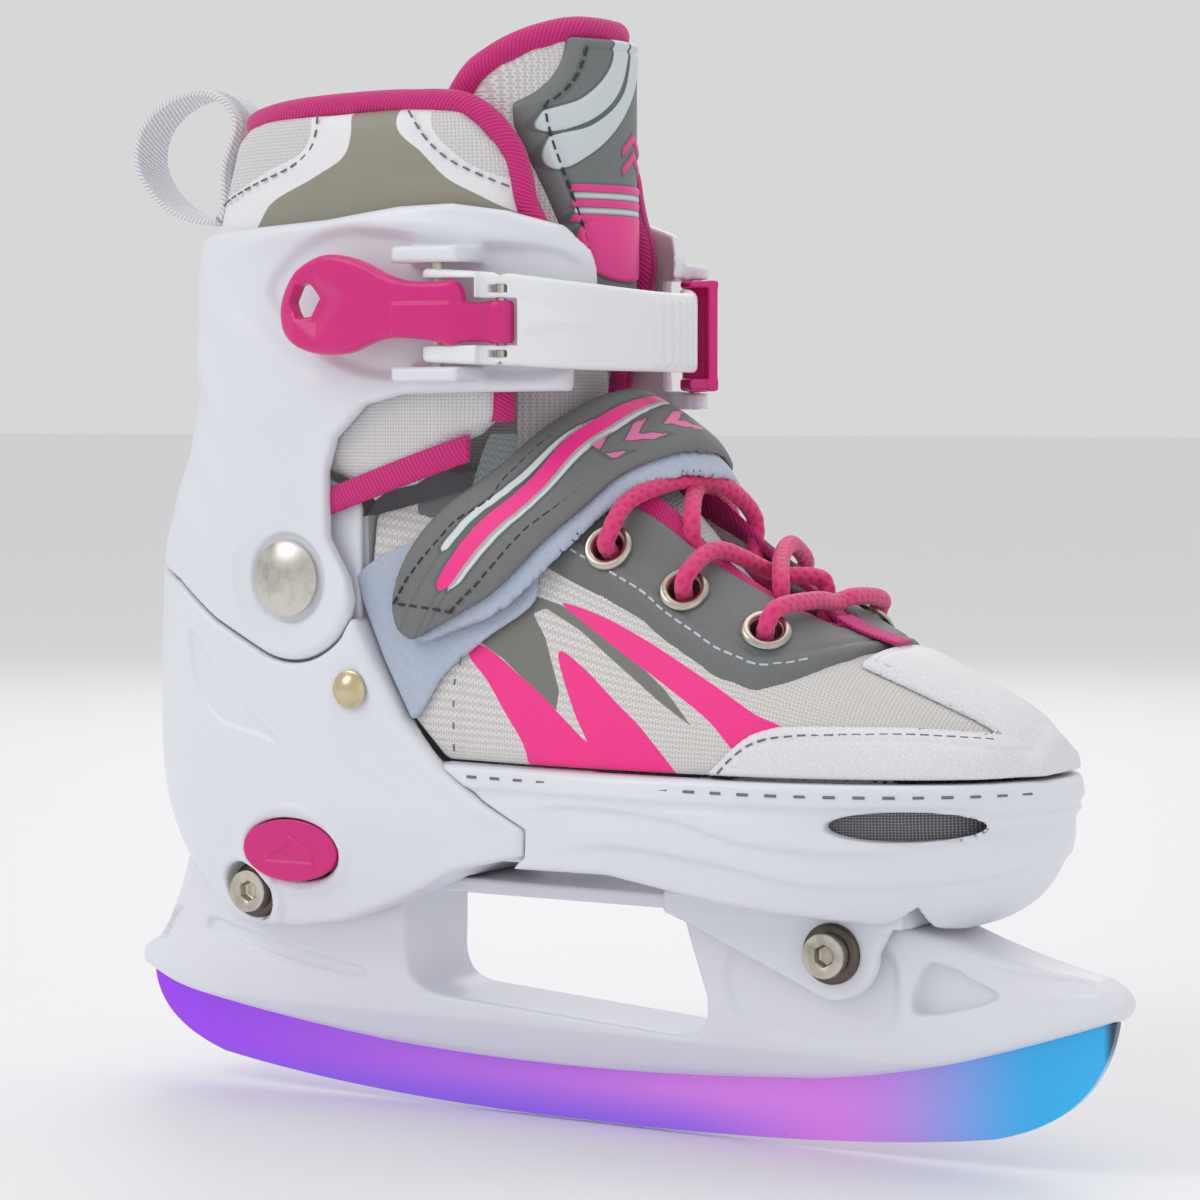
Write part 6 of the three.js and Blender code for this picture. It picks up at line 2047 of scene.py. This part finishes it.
@dataclass
class PaddedTop:
    """The padded collar, the upper tongue with its panel, the piping and the pull loop.

    Attributes:
        inset: How far the collar lies inside the cuff's outer face.
        thickness: The collar's thickness.
        piping: The piping's radius.
    """

    inset: float = 3.6
    thickness: float = 7.0
    piping: float = 3.0

    def collar(self) -> None:
        """The collar."""
        edge = [(-140, 120), (-24, 120), (-24, 163.5), (-10, 170.5), (-10, 180), (-3, 200), (0, 211),
            (-5, 221), (-8, 235), (-18.5, 245), (-34, 247), (-68.5, 246.6), (-97, 243.6), (-140, 242)]
        above = where(lambda x, y, z: plane_under_collar(x) + 1 + np.maximum(0, x - PIVOT[0]) * 0.085 - z)
        made = CUFF.form().grown(-self.inset).soft(3.5) & side(Outline(edge)).soft(3.5) & above
        made = made.soft(3.0) - CUFF.form().grown(-self.inset - self.thickness).soft(3.0)
        made = made.soft(1.0) - rod(PIVOT[0], PIVOT[2], 27)
        made = made - block((-140, -60, 100), (-98, 60, 137.6)) - block((-60, -60, 100), (40, 60, 150))
        obj = SHOP.solid("collar_padding", made, (-128, -44, 124), (6, 44, 252), 1.6, COLLAR_CLOTH)
        padded_by_cloth(obj, lambda p: smoothstep(226, 214, p[:, 2]), voxel=4.0, cap=1.6)
        taupe = drawn([(-104, 214), (-81, 216.5), (-74, 224), (-60, 230), (-51, 235), (-49.4, 240), (-51, 252),
            (-37, 252), (-36, 241), (-29, 235), (-22, 228.6), (-12, 223.4), (0, 216), (2, 206),
            (-104, 204)])
        white = drawn([(-68, 254), (-62, 243), (-63.5, 237), (-75, 232.4), (-92, 227), (-128, 224), (-128, 200),
            (8, 200), (2, 225), (-7, 228), (-15, 231), (-21, 235), (-26.5, 241), (-30, 254)])
        fold = lambda x, y, z: np.where(CUFF.distance(x, y, z) > -8.0, 0, 20.0)
        store_marks(obj, {
            "warp": lambda x, y, z: np.arctan2(y, x + 50) * 44, "weft": lambda x, y, z: z,
            "taupe_panel": lambda x, y, z: taupe(x, z) + fold(x, y, z),
            "white_panel": lambda x, y, z: white(x, z) + fold(x, y, z)})
        SHOP.place(obj, "cuff", ["collar"], "grey_leather")
        skin_form = CUFF.form().grown(-self.inset + 0.35)
        seams = []
        for sign in (-1, 1):
            for points in (((-60, 244), (-61, 238), (-66, 233.6), (-80, 229), (-94, 225)),
                ((-32, 244), (-28, 238.6), (-22, 233.4), (-14, 229.4), (-7.4, 226.6))):
                seams.append(on_skin(skin_form, inset_line(points), sign))
        SHOP.place(SEWING.sew("collar_stitch", seams, THREAD_GREY, 3.4, 1.9, 0.28), "cuff")

    def rim(self) -> None:
        """The pink piping over the collar's top and down its front edges, and the ankle trim."""
        middle = CUFF.form().grown(-self.inset - self.thickness / 2)
        front = ((-10.5, 171), (-10, 181), (-3.4, 200), (-0.8, 211), (-5, 222), (-8.4, 235), (-18.5, 245.4),
            (-34, 247.4), (-68.5, 247), (-90, 244.8))
        line = inset_line(front, 1.0)
        near = on_skin(middle, line, -1, 45)
        far = on_skin(middle, line, 1, 45)
        back = []
        for angle in np.radians(np.linspace(232, 128, 40)):
            low, high = 5.0, 80.0
            for _ in range(24):
                r = (low + high) / 2
                x, y = -70 + r * math.cos(angle), r * math.sin(angle)
                z = float(np.interp(x, [-124, -97, -90], [243.6, 244, 244.8]))
                if float(middle.at(np.array(x), np.array(y), np.array(z))) < 0:
                    low = r
                else:
                    high = r
            back.append((x, y, z))
        back = np.array([p for p in back if p[0] < -91.5])
        path = even(catmull(np.concatenate([near[::6], near[-1:], back[::3], far[-1:], far[::-6]]),
            per_span=8), 0.8)
        r = self.piping
        section = lambda a: np.stack([r * np.cos(a), r * np.sin(a)], axis=1)
        SHOP.place(SHOP.sweep("collar_piping", path, section, 22, WEB_PINK), "cuff")

        def tape(x: Array, y: Array, z: Array) -> Array:
            d = CUFF.distance(x, y, z)
            h = z - plane_under_collar(x) - 1.2 - np.maximum(0, x - PIVOT[0]) * 0.085
            return highest([d + 2.2 + 0.6 * ((h - 3.4) / 3.4) ** 2, -3.6 - d, np.abs(h - 3.4) - 3.4,
                x + 16, -58 - x])
        marks = {"warp": lambda x, y, z: x, "weft": lambda x, y, z: z - x * 0.25}
        for sign, name in ((-1, "lateral"), (1, "medial")):
            half = Form(tape) & where(lambda x, y, z: 12 - sign * y)
            obj = SHOP.solid(f"ankle_trim_{name}", half, (-62, -46, 140), (-12, 46, 172), 0.6, WEB_PINK,
                marks)
            SHOP.place(obj, "cuff")

    def tongue(self) -> None:
        """The padded upper tongue."""
        oval = lambda x, y, grow: (np.hypot((x + 33) / (38 + grow), y / (25.6 + grow)) - 1) * (27 + grow)
        top = Table([(-26, 250), (-20, 256), (-8, 262.5), (0, 264.6), (6, 264)])
        made = Form(lambda x, y, z: np.maximum(oval(x, y, 0.0), -oval(x, y, -6.0)), 3.0)
        made = made & where(lambda x, y, z: -26 - x).soft(3.0)
        made = made & where(lambda x, y, z: np.maximum(z - top(x), 183.6 - z)).soft(3.0)
        obj = SHOP.solid("tongue_padding", made, (-30, -30, 178), (10, 30, 270), 1.4, COLLAR_CLOTH)
        padded_by_cloth(obj, lambda p: smoothstep(212, 200, p[:, 2]), voxel=3.6, cap=1.3)
        store_marks(obj, {"warp": lambda x, y, z: y * 1.1, "weft": lambda x, y, z: z,
            "taupe_panel": lambda x, y, z: 9.0 + 0 * x,
            "white_panel": lambda x, y, z: 9.0 + 0 * x})
        SHOP.place(obj, "cuff", ["tongue_upper"], "grey_leather")
        half = Table([(184, 9), (196, 10.5), (204, 12.5), (215, 14.5), (226, 17.5), (239, 20.8), (246, 21.6),
            (249, 19), (255, 15.6), (262, 14), (268, 13.6)])
        ring = [(-float(half(z)), z) for z in np.linspace(186, 262.4, 60)]
        ring += [(-y, z) for y, z in ring[::-1]]
        area = Outline(ring)
        bands = [drawn(p) for p in (
            [(-20, 244), (-13, 248), (-6, 256), (-3, 268), (1.4, 268), (-2, 252), (-11, 243), (-20, 240)],
            [(-19, 238), (-11, 241.6), (-1, 250.4), (5, 268), (9.6, 268), (7, 255), (-1, 244.5), (-11, 235),
            (-18, 231)])]
        stripes = [Outline([(-15, z), (15, z), (15, z + 1.7), (-15, z + 1.7)], step=0.3)
            for z in (225.8, 222.2, 218.6)]
        pale = [Outline([(-14.6, z), (14.6, z), (14.6, z + 1.5), (-14.6, z + 1.5)], step=0.3)
            for z in (224.1, 220.5)]
        badge = drawn([(-13.4, 217.4), (13.4, 217.4), (12, 209), (8, 205.6), (-8, 205.6), (-12, 209)])
        zigs = [Outline([(-2, z), (3.5, z + 4), (9, z), (9, z + 2), (3.5, z + 6), (-2, z + 2)], step=0.3)
            for z in (230, 234.5)]
        pink = lambda x, y, z: lowest([f(y, z) for f in (*stripes, badge, *zigs)])
        light = lambda x, y, z: lowest([f(y, z) for f in (*bands, *pale)])
        relief = lambda x, y, z: (0.45 * smoothstep(0.5, -0.5, pink(x, y, z)) + 0.35 * smoothstep(
            0.5, -0.5, light(x, y, z)) - 0.45 * np.exp(-((area(y, z) + 2.4) / 0.6) ** 2)
            - 0.6 * smoothstep(-1.2, 0, area(y, z)))
        swell = 1.0
        made = Form(lambda x, y, z: np.maximum(oval(x, y, 1.3 + swell) - relief(x, y, z), -oval(x, y, -0.6)))
        made = made & Form(lambda x, y, z: area(y, z)) & where(lambda x, y, z: -12 - x)
        obj = SHOP.solid("tongue_panel", made, (-16, -27, 182), (12, 27, 268), 0.55, TONGUE_LEATHER,
            {"pink_shapes": pink, "pale_bands": light})
        SHOP.place(obj, "cuff")
        rows = []
        for sign in (-1, 1):
            zs = np.linspace(189, 259, 90)
            ys = np.array([sign * (float(half(z)) - 2.4) for z in zs])
            xs = -33 + (38 + 1.3 + swell) * np.sqrt(1 - (ys / (25.6 + 1.3 + swell)) ** 2) - 0.1
            rows.append(even(np.stack([xs, ys, zs], axis=1), 0.8))
        SHOP.place(SEWING.sew("tongue_stitch", rows, THREAD_DARK, 3.2, 2.1, 0.28), "cuff")
        turns = np.radians(np.linspace(-80, 80, 60))
        xs, ys = -33 + 35 * np.cos(turns), 22.8 * np.sin(turns)
        arc = np.stack([xs, ys, top(xs) - 0.2], axis=1)
        down = np.array([[xs[0], ys[0], z] for z in np.linspace(188, float(top(xs[0])) - 4, 18)])
        up = down[::-1] * [1, -1, 1]
        path = even(catmull(np.concatenate([down, arc[3:-3:3], up]), per_span=8), 0.8)
        section = lambda a: np.stack([3.4 * np.cos(a), 3.4 * np.sin(a)], axis=1)
        SHOP.place(SHOP.sweep("tongue_piping", path, section, 22, WEB_PINK), "cuff")

    def loop(self) -> None:
        """The webbing pull loop at the heel."""
        ring = catmull([(-109, 223), (-107.4, 236), (-104, 248), (-112, 254.8), (-125.4, 253), (-134, 245.6),
            (-134.8, 236.4), (-125, 225.6)], closed=True, per_span=14)
        ring = even(np.concatenate([ring, ring[:1]]), 0.8)[:-1]
        path = np.stack([ring[:, 0], np.zeros(len(ring)), ring[:, 1]], axis=1)

        def section(a: Array) -> Array:
            c, s = np.cos(a), np.sin(a)
            thick, wide = np.sign(c) * np.abs(c) ** 0.25 * 0.85, np.sign(s) * np.abs(s) ** 0.25 * 6.4
            return np.stack([thick, wide], axis=1)
        obj = SHOP.sweep("pull_loop_webbing", path, section, 40, WEB_WHITE, up=np.array([0.0, 1.0, 0.0]),
            closed=True)
        SHOP.place(obj, "cuff", ["pull_loop"], "white_fabric")

    def dress(self) -> None:
        """Builds and places the padded top."""
        self.collar()
        self.rim()
        self.tongue()
        self.loop()


# ---------------------------------------------------------------- buckle
@dataclass
class Buckle:
    """The gate across the front, its lever, the medial catch and their pins.

    Attributes:
        wall: The gate's thickness.
    """

    wall: float = 3.6

    def gate(self) -> Form:
        """The gate."""
        outer = catmull([(-8, -45.6), (0, -42.6), (8, -37), (15, -28), (20, -15), (22.3, -2), (20.8, 10),
            (17, 18), (13, 23.6)], per_span=8)
        tangent = np.gradient(outer, axis=0)
        tangent /= np.linalg.norm(tangent, axis=1, keepdims=True)
        inner = outer - np.stack([tangent[:, 1], -tangent[:, 0]], axis=1) * self.wall
        band = plan(Outline(np.concatenate([outer, inner[::-1]])))
        shape = side(Outline([(-30, 185.2), (0, 184), (14, 183), (30, 182.6), (30, 200), (22, 201.4),
            (14, 203.2), (0, 205.4), (-30, 207.6)]))
        arm = post(GATE_PIN[0], GATE_PIN[1], 3.4, 180, 210) | block(
            (GATE_PIN[0], GATE_PIN[1] - 3.4, 180), (-6, GATE_PIN[1] + 2.2, 210))
        facet = Outline([(1.5, 190), (18, 193.6), (1.5, 200)])
        lift = lambda x, y, z: 0.9 * smoothstep(0, -3.2, facet(x, z)) * (y < -10)
        ribs = lambda x, y, z: (0.9 * smoothstep(-0.3, 0.6, np.sin(y * 2 * np.pi / 3.5 + 0.6))
            * smoothstep(10.8, 10.2, np.abs(y)) * smoothstep(183.5, 184.6, z)
            * smoothstep(200.4, 199.4, z) * (x > 10))
        body = (band.raised(total(lift, ribs)).soft(1.2) | arm.soft(1.2)).soft(1.6) & shape.soft(1.6)
        made = body.soft(0.5) - block((-30, -60, 189.4), (-6.5, -30, 204.4))
        made = made - block((-30, -60, 188.8), (1.6, -30, 199.6))
        made = made - block((-4.6, -60, 201.0), (-0.4, -41, 202.8))
        made = made - block((-4.6, -60, 186), (-0.4, -41, 187.6))
        made = made - post(GATE_PIN[0], GATE_PIN[1], 1.45)
        return made - post(LEVER_PIN[0], LEVER_PIN[1], 1.35, 184.5, 205.5)

    def lever(self) -> Form:
        """The lever."""
        face = drawn([(-61.8, 198.5), (-57, 206), (-47.5, 210.4), (-38, 209.2), (-29, 205.4), (-24, 204),
            (-17, 203.6), (-10.6, 203.2), (-10.6, 189.5), (-20, 190.2), (-30, 190.4), (-42, 187),
            (-53, 187.8), (-60.5, 192)])
        neck = Outline([(-14, 198.8), (0.8, 198.8), (0.8, 189.4), (-14, 189.6)])
        above = Outline([(0.6, -40), (-2, -39), (-6, -42.4), (-12, -45.8), (-26, -46.4), (-45, -45.2),
            (-62, -43.6), (-63, -46.4), (-56, -49.2), (-42, -50.8), (-26, -50.8), (-12, -49),
            (-8.4, -47.4), (-4, -45.1), (-1, -44.3), (0.8, -42.6)], step=0.3)
        diamond = Outline([(-60, 197), (-50, 206.6), (-39.4, 201), (-49, 189.6)])
        dish = lambda x, y, z: -1.5 * smoothstep(0.3, -4.5, diamond(x, z)) * smoothstep(
            2.0, 9.0, np.hypot(x + 53, z - 199.6) + 3) * (y < -44)
        tongue = Outline([(-27, 198.6), (-5, 198.6), (-5, 190.8), (-27, 190.8)])
        lift = lambda x, y, z: 0.5 * smoothstep(0.4, -0.4, tongue(x, z))
        eye = Outline([(-57.6, 199.4), (-55.5, 203.4), (-51.4, 203.9), (-48.8, 200.2), (-51.4, 196),
            (-55.4, 195.6)])
        plate = plan(above).raised(total(dish, lift)).soft(1.8) & (side(face) | side(neck)).soft(1.8)
        made = plate.soft(0.8) | post(LEVER_PIN[0], LEVER_PIN[1], 2.6, 189.3, 199)
        made = made.soft(0.8) - side(eye)
        return made.soft(0.3) - post(LEVER_PIN[0], LEVER_PIN[1], 1.35)

    def catch(self) -> Form:
        """The medial catch."""
        plate = plan(Outline([(7.6, 33.4), (11, 33.8), (18.4, 26.2), (17, 24.2), (14.4, 26.8), (9.5, 28.2)],
            step=0.3)) & where(lambda x, y, z: np.abs(z - 192.1) - 13.5)
        wing = plan(Outline([(7, 32.4), (11, 33.6), (18.4, 26.2), (17, 24.2), (13.5, 20.8), (9, 24)],
            step=0.3))
        low = wing & where(lambda x, y, z: np.abs(z - 180.1) - 1.5)
        high = wing & where(lambda x, y, z: np.abs(z - 204.7) - 0.9)
        made = plate.soft(0.6) | low | high | post(CATCH_PIN[0], CATCH_PIN[1], 3, 178.6, 205.6)
        return made.soft(0.3) - post(CATCH_PIN[0], CATCH_PIN[1], 1.45)

    def dress(self) -> None:
        """Builds and places the buckle."""
        gate = SHOP.solid("gate_moulding", self.gate(), (-26, -50, 178), (28, 28, 212), 0.45, GATE_WHITE)
        SHOP.place(gate, "gate", ["buckle_gate"], "white_plastic")
        lever = SHOP.solid("lever_moulding", self.lever(), (-67, -55, 184), (5, -34, 214), 0.42, PINK)
        SHOP.place(lever, "lever", ["buckle_lever"], "pink_plastic")
        catch = SHOP.solid("catch_moulding", self.catch(), (4, 16, 176), (22, 38, 208), 0.4, PINK)
        SHOP.place(catch, "catch", ["gate_catch"], "pink_plastic")
        for node in ("gate_pin", "lever_pin", "catch_pin"):
            SHOP.dress(node, NICKEL)


# ---------------------------------------------------------------- assembly
def set_camera() -> None:
    """The camera of the catalogue view."""
    camera = bpy.data.cameras.new("camera")
    camera.lens, camera.sensor_width = 103.785, 36.0
    holder = bpy.data.objects.new("camera", camera)
    holder.location = (0.42017, -0.72776, 0.17174)
    aim = Vector((0.0, 0.0, 0.1277)) - holder.location
    holder.rotation_euler = aim.to_track_quat("-Z", "Y").to_euler()
    bpy.context.scene.collection.objects.link(holder)
    bpy.context.scene.camera = holder


def set_stage() -> None:
    """A pale floor under the blade and soft studio lights round the skate."""
    floor_mesh = bpy.data.meshes.new("floor")
    edge = 30.0
    floor_mesh.from_pydata([(-edge, -edge, -0.0006), (edge, -edge, -0.0006), (edge, edge, -0.0006),
        (-edge, edge, -0.0006)], [], [(0, 1, 2, 3)])
    g = Graph("floor")
    g.set("Base Color", (244, 244, 246))
    g.set("Roughness", 0.6)
    floor_mesh.materials.append(g.material)
    floor = bpy.data.objects.new("floor", floor_mesh)
    bpy.context.scene.collection.objects.link(floor)
    lamps = (("key", (-0.75, -1.0, 1.15), 0.8, 4.8), ("fill", (1.25, -0.75, 0.55), 1.0, 1.0),
        ("top", (0.1, 0.25, 1.5), 1.0, 3.0), ("rim", (-0.6, 1.1, 0.8), 0.8, 2.5))
    for name, at, size, power in lamps:
        lamp = bpy.data.lights.new(name, "AREA")
        lamp.size, lamp.energy = size, power
        obj = bpy.data.objects.new(name, lamp)
        obj.location = at
        obj.rotation_euler = (Vector((0, 0, 0.12)) - obj.location).to_track_quat("-Z", "Y").to_euler()
        bpy.context.scene.collection.objects.link(obj)
    world = bpy.data.worlds.new("studio")
    world.use_nodes = True
    world.node_tree.nodes["Background"].inputs["Color"].default_value = (1.0, 1.0, 1.0, 1.0)
    world.node_tree.nodes["Background"].inputs["Strength"].default_value = 0.68
    bpy.context.scene.world = world
    bpy.context.scene.view_settings.view_transform = "Standard"


def clear_default_scene() -> None:
    """Removes what Blender starts with."""
    for name in ("Cube", "Light", "Camera"):
        if name in bpy.data.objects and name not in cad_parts:
            bpy.data.objects.remove(bpy.data.objects[name], do_unlink=True)


def main() -> None:
    """Builds the whole scene."""
    clear_default_scene()
    set_camera()
    set_stage()
    for part in (BladeSet(), HardShell(), SoftBoot(), PaddedTop(), Buckle()):
        part.dress()


if __name__ == "__main__":
    main()
